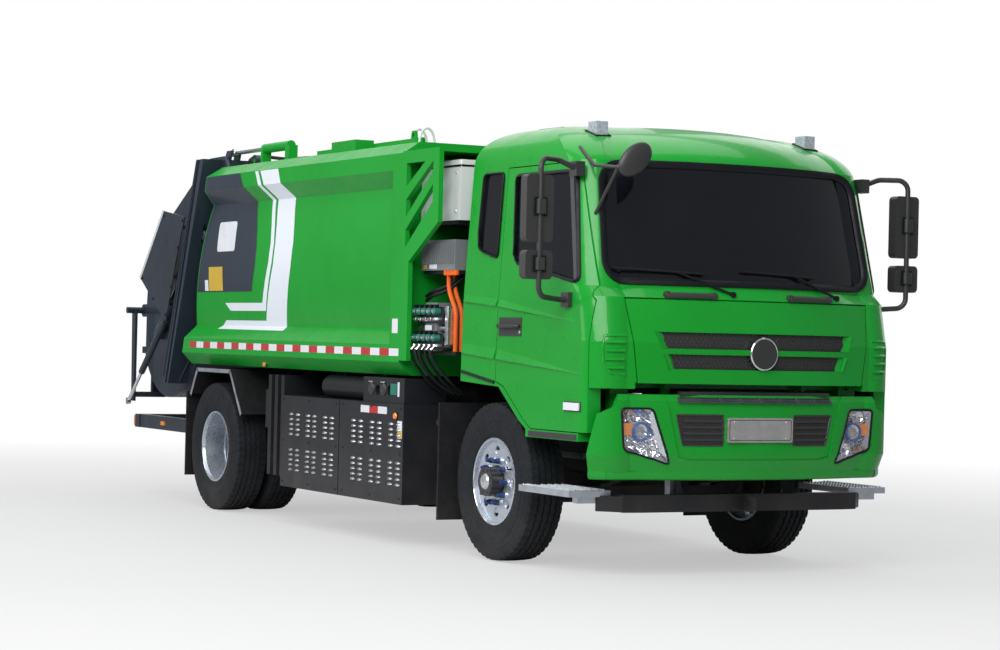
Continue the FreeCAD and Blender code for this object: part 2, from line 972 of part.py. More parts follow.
def cab_shell(outer, inner):
    """Build the cab's shell with its openings, floor, step wells and tilt arms."""
    shell = outer.cut(inner)
    arch = [
        (fa(cab_back_x - overrun), 0), (fa(well_rear_x), 0), (fa(well_rear_x), door_bottom_z),
        (fa(arch_shoulder_x), arch_shoulder_z), (fa(arch_mid_x), arch_top_z),
        (fa(cab_back_x - overrun), cab_floor_z),
    ]
    shell = shell.cut(slab_y(arch, -body_half_width, body_half_width))
    front = fa(front_overhang + overrun)
    shell = shell.cut(box(fa(cab_floor_front_x), front, -nose_half_width, nose_half_width, 0, cab_nose_z))
    shell = shell.cut(box(fa(well_front_x), front, -body_half_width, body_half_width, 0, cab_floor_z))
    shell = shell.cut(box(fa(cab_back_x - overrun), front, -well_inner_y, well_inner_y, 0, cab_floor_z))
    for side in (1, -1):
        shell = shell.cut(side_prism(door_outline(0), side))
        shell = shell.cut(rounded_side_prism(quarter_outline(0), side, window_corner))
    rear = [
        (rear_window_half, rear_window_bottom_z), (rear_window_half, rear_window_top_z),
        (-rear_window_half, rear_window_top_z), (-rear_window_half, rear_window_bottom_z),
    ]
    shell = shell.cut(rounded_slab_x(rear, fa(cab_back_x - overrun), fa(cab_back_x + cab_wall + overrun),
                                     window_corner))
    shell = shell.cut(shield_prism(0)).cut(lid_prism(0))
    floor_top = cab_floor_z + cab_wall
    floor = box(fa(cab_back_x + cab_wall / 2), fa(well_front_x), -sill_inner_y, sill_inner_y, cab_floor_z,
                floor_top)
    floor = floor.cut(box(fa(cab_floor_front_x), front, -nose_half_width, nose_half_width, 0, cab_nose_z))
    nose = box(fa(cab_floor_front_x - cab_wall), front, -nose_half_width, nose_half_width, cab_nose_z,
               cab_nose_z + cab_wall)
    bulkhead = box(fa(bulkhead_x), fa(bulkhead_x + bulkhead_thickness), -sill_inner_y, sill_inner_y,
                   cab_floor_z,
                   shield_bottom_z)
    bulkhead = bulkhead.cut(box(fa(bulkhead_x) - overrun, front, -nose_half_width, nose_half_width, 0,
                                cab_nose_z))
    inside = cab_volume(lid_thickness + lid_gap)
    parts = [floor.common(inside), nose.common(inside), bulkhead.common(inside)]
    skin = outer.cut(cab_volume(cab_wall + door_gap))
    stop_reach = cab_volume(lid_thickness + seat_gap)
    for side in (1, -1):
        for low in (lid_stop_low_z, lid_stop_high_z):
            stop = box(fa(bulkhead_x), front, side * lid_stop_y, side * (lid_stop_y + lid_stop_size),
                       low, low + lid_stop_size)
            parts.append(stop.common(stop_reach))
        block = box(fa(well_rear_x), fa(well_front_x), side * well_inner_y, side * cab_level_half[0],
                    cab_level_z[0], floor_top).common(outer)
        hollow = box(fa(well_rear_x + cab_wall), fa(well_front_x - cab_wall),
                     side * (well_inner_y + cab_wall),
                     side * body_half_width, door_bottom_z, floor_top + overrun)
        doorway = skin.common(side_prism(door_outline(-door_gap), side))
        sweep = box(fa(door_sweep_x), front, side * door_sweep_y, side * body_half_width,
                    door_bottom_z, roof_level_z[-1])
        parts = [part.cut(hollow).cut(doorway).cut(sweep) for part in parts + [block]]
    parts.append(shell)
    eye = cylinder_y(fa(tilt_x), tilt_arm_y, tilt_arm_y + tilt_arm_thickness, tilt_z, tilt_eye_radius)
    neck = [
        (fa(tilt_x), tilt_z + tilt_eye_radius), (fa(tilt_arm_foot_x + tilt_arm_width),
                                                 tilt_arm_neck_z + tilt_eye_radius / 2),
        (fa(tilt_arm_foot_x + tilt_arm_width), cab_nose_z + cab_wall / 2),
        (fa(tilt_arm_foot_x), cab_nose_z + cab_wall / 2),
        (fa(tilt_arm_foot_x), tilt_arm_neck_z), (fa(tilt_x), tilt_z - tilt_eye_radius),
    ]
    arm = eye.fuse(slab_y(neck, tilt_arm_y, tilt_arm_y + tilt_arm_thickness))
    arm = arm.cut(cylinder_y(fa(tilt_x), 0, body_half_width, tilt_z, tilt_pin_radius + pin_clearance))
    return fused(parts + [arm, across(arm)])


def cab_doors(outer, inner, side):
    """Build one door and its window glass."""
    skin = outer.cut(inner)
    door = skin.common(side_prism(door_outline(door_gap), side))
    door = door.cut(rounded_side_prism(window_outline(0), side, window_corner))
    return door


def pane(prism):
    """Return a curved pane that lies just inside the cab's skin, within a prism."""
    sheet = cab_volume(glass_inset).cut(cab_volume(glass_inset + glass_thickness))
    return sheet.common(prism)


def mirror_set(side):
    """Build one door's mirrors on their tube, with the feet that seat on the door."""
    y = side * mirror_tube_y
    top_skin = cab_level_half[5] + (cab_level_half[4] - cab_level_half[5]) * (
        (cab_level_z[5] - mirror_foot_top_z) / (cab_level_z[5] - cab_level_z[4]))
    low_skin = cab_level_half[3]
    top_foot = V(fa(mirror_foot_top_x), side * top_skin, mirror_foot_top_z)
    low_foot = V(fa(mirror_foot_low_x), side * low_skin, mirror_foot_low_z)
    route = [
        top_foot, V(fa(mirror_foot_top_x), side * (top_skin + mirror_bend * 2), mirror_top_z),
        V(fa(mirror_tube_x), y, mirror_top_z), V(fa(mirror_tube_x), y, mirror_low_z),
        V(fa(mirror_foot_low_x), side * (low_skin + mirror_bend), mirror_foot_low_z), low_foot,
    ]
    tube = bent_tube(route, mirror_tube_radius, mirror_bend)
    parts = [tube]
    for foot, skin in ((top_foot, top_skin), (low_foot, low_skin)):
        parts.append(box(foot.x - mirror_foot_size / 2, foot.x + mirror_foot_size / 2,
                         side * (skin - mirror_foot_thickness), side * (skin + mirror_foot_thickness),
                         foot.z - mirror_foot_size / 2, foot.z + mirror_foot_size / 2))
    heads = ((tall_mirror_low_z, tall_mirror_high_z, tall_mirror_width),
             (square_mirror_low_z, square_mirror_high_z, square_mirror_width))
    for low, high, width in heads:
        outline = [(y - width / 2, low), (y + width / 2, low), (y + width / 2, high), (y - width / 2, high)]
        parts.append(rounded_slab_x(outline, fa(mirror_tube_x - mirror_depth), fa(mirror_tube_x),
                                    mirror_corner))
    return fused(parts).cut(cab_volume(-seat_gap))


def tyre(x, y):
    """Build one tyre about the axle at (x, tyre radius), centred on y."""
    outer = tyre_diameter / 2
    bead = rim_diameter / 2
    half = tyre_width / 2
    tread = half - tyre_shoulder
    profile = [
        (bead, -rim_width / 2), (bead + (outer - bead) / 2, -half), (outer - tyre_shoulder, -half),
        (outer, -tread), (outer, tread),
        (outer - tyre_shoulder, half), (bead + (outer - bead) / 2, half), (bead, rim_width / 2),
    ]
    return revolve_y([(radius, y + offset) for radius, offset in profile], fa(x), outer)


def wheel_disc(x, y, side, dish_y, hub_diameter, hub_length, hub_side):
    """Build a rim with its pierced disc, hub and studs; dish_y is the disc's place."""
    z = tyre_diameter / 2
    outer = rim_diameter / 2 - seat_gap
    inner = outer - rim_wall - rim_flange
    half = rim_width / 2
    rim = [
        (outer, y - half), (outer, y + half), (outer - rim_wall, y + half),
        (inner + rim_wall, y + half - rim_flange), (inner + rim_wall, y - half + rim_flange),
        (outer - rim_wall, y - half),
    ]
    barrel = revolve_y(rim, fa(x), z)
    disc = cylinder_y(fa(x), dish_y - disc_thickness / 2, dish_y + disc_thickness / 2, z,
                      inner + rim_wall + seat_gap)
    for index in range(disc_hole_count):
        turn = 360 * index / disc_hole_count
        place = unit(turn) * (disc_hole_circle / 2)
        hole = cylinder_y(fa(x) + place.x, dish_y - disc_thickness, dish_y + disc_thickness, z + place.z,
                          disc_hole_diameter / 2)
        disc = disc.cut(hole)
    parts = [barrel, disc]
    parts.append(cylinder_y(fa(x), dish_y, dish_y + hub_side * hub_length, z, hub_diameter / 2))
    for index in range(stud_count):
        place = unit(360 * index / stud_count) * (stud_circle / 2)
        parts.append(cylinder_y(fa(x) + place.x, dish_y, dish_y + side * stud_length, z + place.z,
                                stud_diameter / 2))
    return parts


def front_wheel(side):
    """Build one front wheel: rim, disc, hub and brake drum."""
    z = tyre_diameter / 2
    y = side * front_tyre_y
    dish_y = side * (front_tyre_y + rim_width / 2 - front_disc_inset)
    parts = wheel_disc(0, y, side, dish_y, front_hub_diameter, front_hub_length, side)
    drum_inner = abs(dish_y) - drum_length
    parts.append(cylinder_y(fa(0), side * drum_inner, dish_y, z, drum_diameter / 2))
    wheel = fused(parts)
    bore = spindle_diameter / 2 + pin_clearance
    hollow = cylinder_y(fa(0), side * (drum_inner - overrun), side * (drum_inner + drum_length - drum_wall),
                        z, bore)
    cavity = cylinder_y(fa(0), side * (drum_inner - overrun), side * (drum_inner + drum_wall * 2), z,
                        drum_diameter / 2 - drum_wall)
    return wheel.cut(hollow).cut(cavity)


def rear_wheel(side):
    """Build one pair of twin rims bolted face to face, with hub and brake drum."""
    z = tyre_diameter / 2
    x = fa(rear_axle_x)
    outer_y = side * rear_outer_tyre_y
    inner_y = side * (rear_outer_tyre_y - twin_spacing)
    middle = (outer_y + inner_y) / 2
    parts = wheel_disc(rear_axle_x, outer_y, side, middle + side * disc_thickness / 2, rear_hub_diameter,
                       rear_hub_length, side)
    half = rim_width / 2
    outer = rim_diameter / 2 - seat_gap
    inner = outer - rim_wall - rim_flange
    rim = [
        (outer, inner_y - half), (outer, inner_y + half), (outer - rim_wall, inner_y + half),
        (inner + rim_wall, inner_y + half - rim_flange), (inner + rim_wall, inner_y - half + rim_flange),
        (outer - rim_wall, inner_y - half),
    ]
    parts.append(revolve_y(rim, x, z))
    reach = half - rim_flange * 2
    parts.append(tube_y(x, inner_y + side * reach, outer_y - side * reach, z, inner + rim_wall + seat_gap,
                        inner))
    drum = tube_y(x, inner_y, middle, z, drum_diameter / 2, drum_diameter / 2 - drum_wall)
    sleeve = cylinder_y(x, inner_y, middle, z, rear_hub_diameter / 2)
    back = cylinder_y(x, middle - side * drum_wall, middle, z, drum_diameter / 2)
    wheel = fused(parts + [drum, sleeve, back])
    bore = rear_spindle_diameter / 2 + pin_clearance
    return wheel.cut(cylinder_y(x, 0, side * (rear_spindle_end_y + pin_clearance), z, bore))


def knuckle(side):
    """Build one steering knuckle: two ears on the kingpin, back plate and spindle."""
    z = tyre_diameter / 2
    y = side * kingpin_y
    half = kingpin_boss_height / 2
    radius = kingpin_boss_diameter / 2
    plate_inner = side * knuckle_plate_y
    plate_outer = side * (knuckle_plate_y + knuckle_plate_thickness)
    parts = []
    for direction in (1, -1):
        near = z + direction * (half + seat_gap)
        far = near + direction * knuckle_ear_height
        base = V(fa(0), y, min(near, far))
        parts.append(Part.makeCylinder(radius, knuckle_ear_height, base))
        parts.append(box(fa(-radius), fa(radius), y, plate_inner, near, far))
    parts.append(Part.makeCylinder(kingpin_diameter / 2, kingpin_boss_height + knuckle_ear_height,
                                   V(fa(0), y, z - (kingpin_boss_height + knuckle_ear_height) / 2)))
    parts.append(cylinder_y(fa(0), plate_inner, plate_outer, z, knuckle_plate_diameter / 2))
    drum_end = front_tyre_y + rim_width / 2 - front_disc_inset - drum_wall - pin_clearance
    parts.append(cylinder_y(fa(0), plate_outer, side * drum_end, z, spindle_diameter / 2))
    return fused(parts)


def front_axle():
    """Build the dropped beam with its kingpin bosses and track rod."""
    z = tyre_diameter / 2
    half = axle_beam_height / 2
    radius = kingpin_boss_diameter / 2
    inner = kingpin_y - radius / 2
    low = z - axle_drop
    outline = [
        (inner, z + half), (axle_drop_y, low + half), (-axle_drop_y, low + half), (-inner, z + half),
        (-inner, z - half), (-axle_drop_y, low - half), (axle_drop_y, low - half), (inner, z - half),
    ]
    beam = slab_x(outline, fa(-axle_beam_width / 2), fa(axle_beam_width / 2))
    parts = [beam]
    for side in (1, -1):
        base = V(fa(0), side * kingpin_y, z - kingpin_boss_height / 2)
        parts.append(Part.makeCylinder(radius, kingpin_boss_height, base))
    axle = fused(parts)
    for side in (1, -1):
        base = V(fa(0), side * kingpin_y, 0)
        axle = axle.cut(Part.makeCylinder(kingpin_diameter / 2 + pin_clearance, rail_top_z, base))
    return axle


def rear_axle():
    """Build the banjo axle with its pinion nose and spindles."""
    z = tyre_diameter / 2
    x = fa(rear_axle_x)
    parts = [
        cylinder_y(x, -rear_tube_end_y, rear_tube_end_y, z, rear_tube_diameter / 2),
        cylinder_y(x, -rear_spindle_end_y, rear_spindle_end_y, z, rear_spindle_diameter / 2),
        cylinder_y(x, -differential_length / 2, differential_length / 2, z, differential_diameter / 2),
        rod(V(x, 0, z), V(x + pinion_length, 0, z), pinion_diameter / 2),
    ]
    return fused(parts)


def spring_pack(length, camber, pad_z, x, y):
    """Build one pack of stepped leaves that seats on the axle at pad_z."""
    leaves = []
    for index in range(spring_leaf_count):
        half = length / 2 * (1 - spring_step_share * index)
        top = pad_z + spring_leaf_height * (spring_leaf_count - index)
        rise = camber * (half / (length / 2)) ** 2
        drop = spring_leaf_height
        upper = Part.Arc(V(x - half, 0, top + rise), V(x, 0, top), V(x + half, 0, top + rise)).toShape()
        lower = Part.Arc(V(x + half, 0, top + rise - drop), V(x, 0, top - drop),
                         V(x - half, 0, top + rise - drop)).toShape()
        ends = [
            Part.LineSegment(V(x + half, 0, top + rise), V(x + half, 0, top + rise - drop)).toShape(),
            Part.LineSegment(V(x - half, 0, top + rise - drop), V(x - half, 0, top + rise)).toShape(),
        ]
        face = Part.Face(Part.Wire([upper, ends[0], lower, ends[1]]))
        leaves.append(face.extrude(V(0, spring_leaf_width, 0)))
    eye_z = pad_z + spring_leaf_height * spring_leaf_count + camber
    for direction in (1, -1):
        eye_x = x + direction * length / 2
        leaves.append(cylinder_y(eye_x, 0, spring_leaf_width, eye_z, spring_eye_diameter / 2))
    pack = fused(leaves)
    pack.translate(V(0, y - spring_leaf_width / 2, 0))
    return pack


def front_spring_pad():
    """Return the height of the front springs' seats on the axle beam."""
    return tyre_diameter / 2 - axle_drop + axle_beam_height / 2 + seat_gap


def rear_spring_pad():
    """Return the height of the rear springs' seats on the axle tube."""
    return (tyre_diameter + rear_tube_diameter) / 2 + seat_gap


def leaf_springs():
    """Build the four spring packs."""
    packs = [
        spring_pack(front_spring_length, front_spring_camber, front_spring_pad(), fa(0), front_spring_y),
        spring_pack(rear_spring_length, rear_spring_camber, rear_spring_pad(), fa(rear_axle_x),
                    rear_spring_y),
    ]
    return Part.makeCompound(packs + [across(pack) for pack in packs])


def spring_hangers():
    """Build the hanger plates on the rails that hold the spring eyes."""
    front_near = front_spring_y + spring_leaf_width / 2 + seat_gap
    rear_far = rear_spring_y - spring_leaf_width / 2 - seat_gap
    rows = (
        (0, front_spring_length, front_spring_camber, front_spring_pad(), front_near,
         front_near + hanger_thickness),
        (rear_axle_x, rear_spring_length, rear_spring_camber, rear_spring_pad(), rail_half_width - seat_gap,
         rear_far),
    )
    plates = []
    for x, length, camber, pad, near_y, far_y in rows:
        eye_z = pad + spring_leaf_height * spring_leaf_count + camber
        for direction in (1, -1):
            eye_x = fa(x + direction * length / 2)
            plates.append(box(eye_x - spring_eye_diameter, eye_x + spring_eye_diameter, near_y, far_y,
                              eye_z - spring_eye_diameter / 2, rail_top_z - rail_web * 2))
    return plates + [across(plate) for plate in plates]


def frame_rails():
    """Build the two channel rails with their cross members, hangers and subframe."""
    outline = [
        (rail_half_width, rail_bottom_z), (rail_half_width, rail_top_z),
        (rail_half_width - rail_flange, rail_top_z), (rail_half_width - rail_flange, rail_top_z - rail_web),
        (rail_half_width - rail_web, rail_top_z - rail_web), (rail_half_width - rail_web,
                                                              rail_bottom_z + rail_web),
        (rail_half_width - rail_flange, rail_bottom_z + rail_web), (rail_half_width - rail_flange,
                                                                    rail_bottom_z),
    ]
    rail = slab_x(outline, fa(rail_rear_x), fa(rail_front_x))
    middle = (rail_bottom_z + rail_top_z) / 2
    for step_x in (-rail_hole_spacing_x / 2, rail_hole_spacing_x / 2):
        for step_z in (-rail_hole_spacing_z / 2, rail_hole_spacing_z / 2):
            rail = rail.cut(cylinder_y(fa(rail_hole_x + step_x), rail_half_width - rail_flange,
                                       rail_half_width + overrun, middle + step_z, rail_hole_radius))
    parts = [rail, across(rail)]
    for x in cross_member_x:
        parts.append(box(fa(x), fa(x - cross_member_length), -rail_half_width + rail_web / 2,
                         rail_half_width - rail_web / 2, cross_member_low_z, cross_member_high_z))
    parts += spring_hangers()
    beam_inner = rail_half_width - subframe_rail_width
    beam = box(fa(subframe_rear_x), fa(subframe_front_x), beam_inner, rail_half_width, rail_top_z,
               subframe_top_z)
    parts += [beam, across(beam)]
    for x in subframe_cross_x:
        parts.append(box(fa(x), fa(x - subframe_cross_length), -subframe_cross_half, subframe_cross_half,
                         subframe_top_z - subframe_cross_height, subframe_top_z))
    bracket_outline = [
        (fa(rail_front_x - overrun), rail_bottom_z), (fa(rail_front_x), rail_bottom_z),
        (fa(tilt_x), tilt_z - tilt_eye_radius), (fa(tilt_x), tilt_z + tilt_eye_radius / 2),
        (fa(rail_front_x), rail_top_z), (fa(rail_front_x - overrun), rail_top_z),
    ]
    bracket = slab_y(bracket_outline, rail_half_width, rail_half_width - tilt_bracket_thickness)
    bracket = bracket.fuse(cylinder_y(fa(tilt_x), rail_half_width, rail_half_width - tilt_bracket_thickness,
                                      tilt_z, tilt_eye_radius))
    pin = cylinder_y(fa(tilt_x), rail_half_width - tilt_bracket_thickness, tilt_arm_y + tilt_arm_thickness,
                     tilt_z, tilt_pin_radius)
    parts += [bracket, pin, across(bracket), across(pin)]
    bridge = box(fa(cab_bridge_x), fa(cab_bridge_x - cab_bridge_width), -rail_half_width, rail_half_width,
                 cab_floor_z - seat_gap - cab_bridge_height, cab_floor_z - seat_gap)
    parts.append(bridge)
    for side in (1, -1):
        parts.append(box(fa(cab_bridge_x), fa(cab_bridge_x - cab_bridge_width), side * rail_half_width,
                         side * (rail_half_width - rail_flange), rail_top_z, cab_floor_z - seat_gap))
    return fused(parts + [tow_eye(rear_tow_x, rear_tow_z, -1)])


def tow_eye(x, z, ahead):
    """Return a towing eye with its neck; ahead is 1 at the front and -1 at the rear."""
    ring = tube_y(fa(x), -tow_eye_length / 2, tow_eye_length / 2, z, tow_eye_outer, tow_eye_radius)
    root = fa(x) - ahead * (tow_eye_outer + tow_eye_neck)
    tip = fa(x) - ahead * (tow_eye_outer + tow_eye_radius) / 2
    neck = box(root, tip, -tow_eye_length / 2, tow_eye_length / 2, z - tow_eye_outer / 2,
               z + tow_eye_outer / 2)
    return ring.fuse(neck.cut(cylinder_y(fa(x), -tow_eye_length, tow_eye_length, z, tow_eye_radius)))


def drive_motor():
    """Build the traction motor as one block, with the shaft to the rear axle."""
    front = fa(motor_front_x)
    block = box(front, front - motor_length, -motor_width / 2, motor_width / 2, motor_z,
                rail_top_z - rail_web * 2)
    start = V(front - motor_length, 0, motor_shaft_z)
    end = V(fa(rear_axle_x) + pinion_length + shaft_end_gap, 0, tyre_diameter / 2)
    shaft = rod(start, end, prop_shaft_diameter / 2)
    return block.fuse(shaft)


def bumper_volume(inset):
    """Return the solid inside the bumper's skin, moved inward by the inset."""
    wires = []
    for z, front, half in zip(bumper_level_z, bumper_level_front, bumper_level_half):
        wires.append(nose_wire(z, front - inset, bumper_bow, half - inset,
                               bumper_level_front[0] - bumper_tail, bumper_corner_x, bumper_corner_y))
    return Part.makeLoft(wires, True, True)


def lamp_outline(gap):
    """Return one headlamp's outline as (y, z), drawn in by the gap."""
    return [
        (lamp_inner_half + gap, lamp_top_z - gap), (lamp_outer_half - gap, lamp_top_z - gap),
        (lamp_low_outer_half - gap, lamp_low_outer_z + gap), (lamp_low_inner_half + gap,
                                                              lamp_low_inner_z + gap),
    ]


def vent_outline(gap):
    """Return one bumper vent's outline as (y, z), drawn in by the gap."""
    return [
        (vent_inner_half + gap, vent_top_z - gap), (vent_outer_top_half - gap, vent_top_z - gap),
        (vent_outer_low_half - gap, vent_bottom_z + gap), (vent_inner_half + gap, vent_bottom_z + gap),
    ]


def bumper_prism(outline, depth):
    """Return a prism that runs from outside the bumper to this depth behind its front."""
    return slab_x(outline, fa(front_overhang + overrun), fa(front_overhang - depth))


def front_bumper():
    """Build the bumper shell with its recess, lamp and vent openings and its two stays."""
    shell = bumper_volume(0).cut(bumper_volume(bumper_wall))
    tail = slab_y([(fa(bumper_rear_low_x), bumper_level_z[0] - overrun),
                   (fa(bumper_rear_high_x), bumper_level_z[-1] + overrun),
                   (fa(0), bumper_level_z[-1] + overrun), (fa(0), bumper_level_z[0] - overrun)],
                  -body_half_width, body_half_width)
    shell = shell.cut(tail)
    top = bumper_level_z[-1] + overrun
    slope = slab_y([(fa(bumper_notch_x), bumper_notch_z), (fa(bumper_notch_x) + top - bumper_notch_z, top),
                    (fa(0), top), (fa(0), bumper_notch_z)], -body_half_width, body_half_width)
    notch = slab_x([(bumper_notch_y, bumper_notch_z), (bumper_notch_y - bumper_notch_slant, top),
                    (body_half_width, top), (body_half_width, bumper_notch_z)],
                   fa(0), fa(front_overhang + overrun))
    notch = notch.common(slope)
    shell = shell.cut(notch).cut(across(notch))
    recess = slab_x(list(recess_outline) + [(-y, z) for y, z in reversed(recess_outline)],
                    fa(0), fa(front_overhang + overrun))
    recess = recess.common(bumper_volume(0).cut(bumper_volume(recess_depth)))
    shell = shell.cut(recess)
    for outline in (lamp_outline(0), vent_outline(0)):
        opening = bumper_prism(outline, bumper_tail)
        shell = shell.cut(opening).cut(across(opening))
    stay = box(fa(rail_front_x) + seat_gap, fa(front_overhang), bumper_stay_inner_y, bumper_stay_outer_y,
               bumper_stay_low_z, bumper_stay_high_z)
    stay = stay.common(bumper_volume(bumper_wall / 2))
    return fused([shell, stay, across(stay)])


def headlamps():
    """Build the two headlamp units that fill their openings in the bumper."""
    wall = bumper_volume(0).cut(bumper_volume(bumper_wall))
    lamp = wall.common(bumper_prism(lamp_outline(seat_gap), bumper_tail))
    return both(lamp)


def bumper_grilles():
    """Build the barred vents of the bumper and the slotted tread above it."""
    ring = bumper_volume(vent_depth).cut(bumper_volume(vent_back_depth))
    panel = ring.common(bumper_prism(vent_outline(seat_gap), bumper_tail))
    bars = []
    pitch = (vent_top_z - vent_bottom_z) / vent_bar_count
    front = bumper_volume(vent_bar_depth).cut(bumper_volume(vent_depth))
    for index in range(1, vent_bar_count):
        z = vent_bottom_z + pitch * index
        bar = front.common(box(fa(0), fa(front_overhang + overrun), vent_inner_half + seat_gap,
                               vent_outer_low_half - seat_gap, z - pitch / 5, z + pitch / 5))
        bars.append(bar)
    vent = fused([panel] + bars)
    top = bumper_level_z[-1] + seat_gap
    tread = box(fa(step_mesh_rear_x), fa(step_mesh_front_x), -step_mesh_half, step_mesh_half, top,
                step_mesh_top_z)
    return Part.makeCompound([vent, across(vent), tread])


def underrun_beam():
    """Build the front underrun beam with swept ends and its hangers to the rails."""
    front = fa(underrun_front_x)
    outline = [
        (front, -underrun_flat_half), (front, underrun_flat_half), (front - underrun_sweep, underrun_half),
        (front - underrun_sweep - underrun_depth, underrun_half), (front - underrun_depth,
                                                                   underrun_flat_half),
        (front - underrun_depth, -underrun_flat_half), (front - underrun_sweep - underrun_depth,
                                                        -underrun_half),
        (front - underrun_sweep, -underrun_half),
    ]
    beam = slab_z(outline, underrun_bottom_z, underrun_top_z)
    hangers = []
    for side in (1, -1):
        hanger = slab_y([(front - underrun_depth, underrun_bottom_z), (front - underrun_depth / 2,
                                                                       underrun_top_z),
                         (fa(rail_front_x) - rail_web, rail_bottom_z - seat_gap),
                         (fa(rail_front_x) - cross_member_length, rail_bottom_z - seat_gap)],
                        side * (rail_half_width - underrun_hanger_width), side * rail_half_width)
        hangers.append(hanger)
    eye = tow_eye(front_tow_x, (underrun_bottom_z + underrun_top_z) / 2, 1)
    return fused([beam, eye] + hangers)


def entry_steps():
    """Build the two lower entry steps with the arms that carry them."""
    outline = [
        (fa(step_inner_rear_x), step_inner_y), (fa(step_inner_rear_x), step_split_y),
        (fa(step_rear_x), step_split_y), (fa(step_rear_x), step_outer_y),
        (fa(step_front_x), step_outer_y), (fa(step_front_x), step_inner_y),
    ]
    tread = slab_z(outline, step_top_z - step_thickness, step_top_z)
    arm_low = (underrun_bottom_z + underrun_top_z) / 2
    arm = box(fa(step_arm_x), fa(step_arm_x + step_arm_width), rail_half_width, step_split_y,
              step_top_z - step_thickness * 2, step_top_z - step_thickness)
    riser = box(fa(step_arm_x), fa(step_arm_x + step_arm_width), rail_half_width + seat_gap,
                rail_half_width + step_arm_width / 2, step_top_z - step_thickness * 2,
                (rail_bottom_z + rail_top_z) / 2)
    arm = arm.cut(box(fa(step_arm_x - overrun), fa(step_arm_x + overrun * 2), 0, rail_half_width + seat_gap,
                      0, rail_top_z))
    return both(fused([tread, arm, riser]))


def mudguards():
    """Build the rear mudguards, the flaps behind all wheels and their stays."""
    guard = [
        (fa(guard_rear_x), guard_rear_low_z), (fa(guard_top_rear_x), guard_top_z),
        (fa(guard_top_front_x), guard_top_z), (fa(guard_front_x), guard_front_low_z),
        (fa(guard_front_x) - guard_thickness, guard_front_low_z),
        (fa(guard_top_front_x) - guard_thickness / 2, guard_top_z - guard_thickness),
        (fa(guard_top_rear_x) + guard_thickness / 2, guard_top_z - guard_thickness),
        (fa(guard_rear_x) + guard_thickness, guard_rear_low_z),
    ]
    shell = slab_y(guard, guard_inner_y, guard_outer_y)
    stay_z = (guard_top_z + rail_top_z) / 2
    stays = []
    for x in (guard_top_rear_x, guard_top_front_x):
        stays.append(cylinder_y(fa(x), rail_half_width + seat_gap, guard_outer_y - guard_thickness,
                                guard_top_z - guard_thickness, flap_stay_diameter / 2))
    stays.append(box(fa(rear_flap_x), fa(guard_rear_x) + guard_thickness / 2, rear_flap_inner_y,
                     rear_flap_outer_y, rear_flap_high_z - guard_thickness, rear_flap_high_z))
    flap = box(fa(rear_flap_x), fa(rear_flap_x + front_flap_thickness), rear_flap_inner_y, rear_flap_outer_y,
               rear_flap_low_z, rear_flap_high_z)
    rear = fused([shell, flap] + stays)
    front = box(fa(front_flap_x), fa(front_flap_x - front_flap_thickness), front_flap_inner_y,
                front_flap_outer_y, front_flap_low_z, front_flap_high_z)
    front_stay = cylinder_y(fa(front_flap_x - flap_stay_diameter / 2 - front_flap_thickness / 2),
                            front_spring_y + spring_leaf_width / 2 + hanger_thickness + seat_gap * 2,
                            front_flap_outer_y, rail_top_z - flap_stay_diameter * 2, flap_stay_diameter / 2)
    front = front.fuse(front_stay)
    return Part.makeCompound([rear, across(rear), front, across(front)])


def battery_boxes():
    """Build the two side battery boxes with chamfered feet, seams and hangers."""
    outline = [
        (box_inner_y, box_top_z), (body_half_width, box_top_z), (body_half_width, box_bottom_z),
        (box_inner_y + box_chamfer, box_bottom_z), (box_inner_y, box_bottom_z + box_chamfer),
    ]
    block = slab_x(outline, fa(box_rear_x), fa(box_front_x))
    seam = box(fa(box_seam_x - box_seam_width / 2), fa(box_seam_x + box_seam_width / 2),
               body_half_width - box_seam_depth, body_half_width + overrun, box_bottom_z - overrun,
               box_top_z + overrun)
    block = block.cut(seam)
    hangers = []
    for x in (box_front_x - hanger_bar_length * 2, box_seam_x, box_rear_x + hanger_bar_length * 2):
        hangers.append(box(fa(x), fa(x - hanger_bar_length), rail_half_width + seat_gap, box_inner_y,
                           rail_top_z - hanger_bar_height * 3, rail_top_z - hanger_bar_height))
    return both(fused([block] + hangers))


def charging_box():
    """Build the charging cabinet on top of the right battery box."""
    base = box_top_z + seat_gap
    cabinet = box(fa(charge_box_rear_x), fa(charge_box_front_x), -charge_box_inner_y,
                  -body_half_width + box_rim,
                  base, charge_box_top_z)
    middle_x = (charge_box_rear_x + charge_box_front_x) / 2
    middle_z = (base + charge_box_top_z) / 2
    for step in (-socket_pitch / 2, socket_pitch / 2):
        socket = cylinder_y(fa(middle_x + step), -body_half_width + box_rim + socket_depth,
                            -body_half_width - overrun, middle_z, socket_radius)
        cabinet = cabinet.cut(socket)
    return cabinet


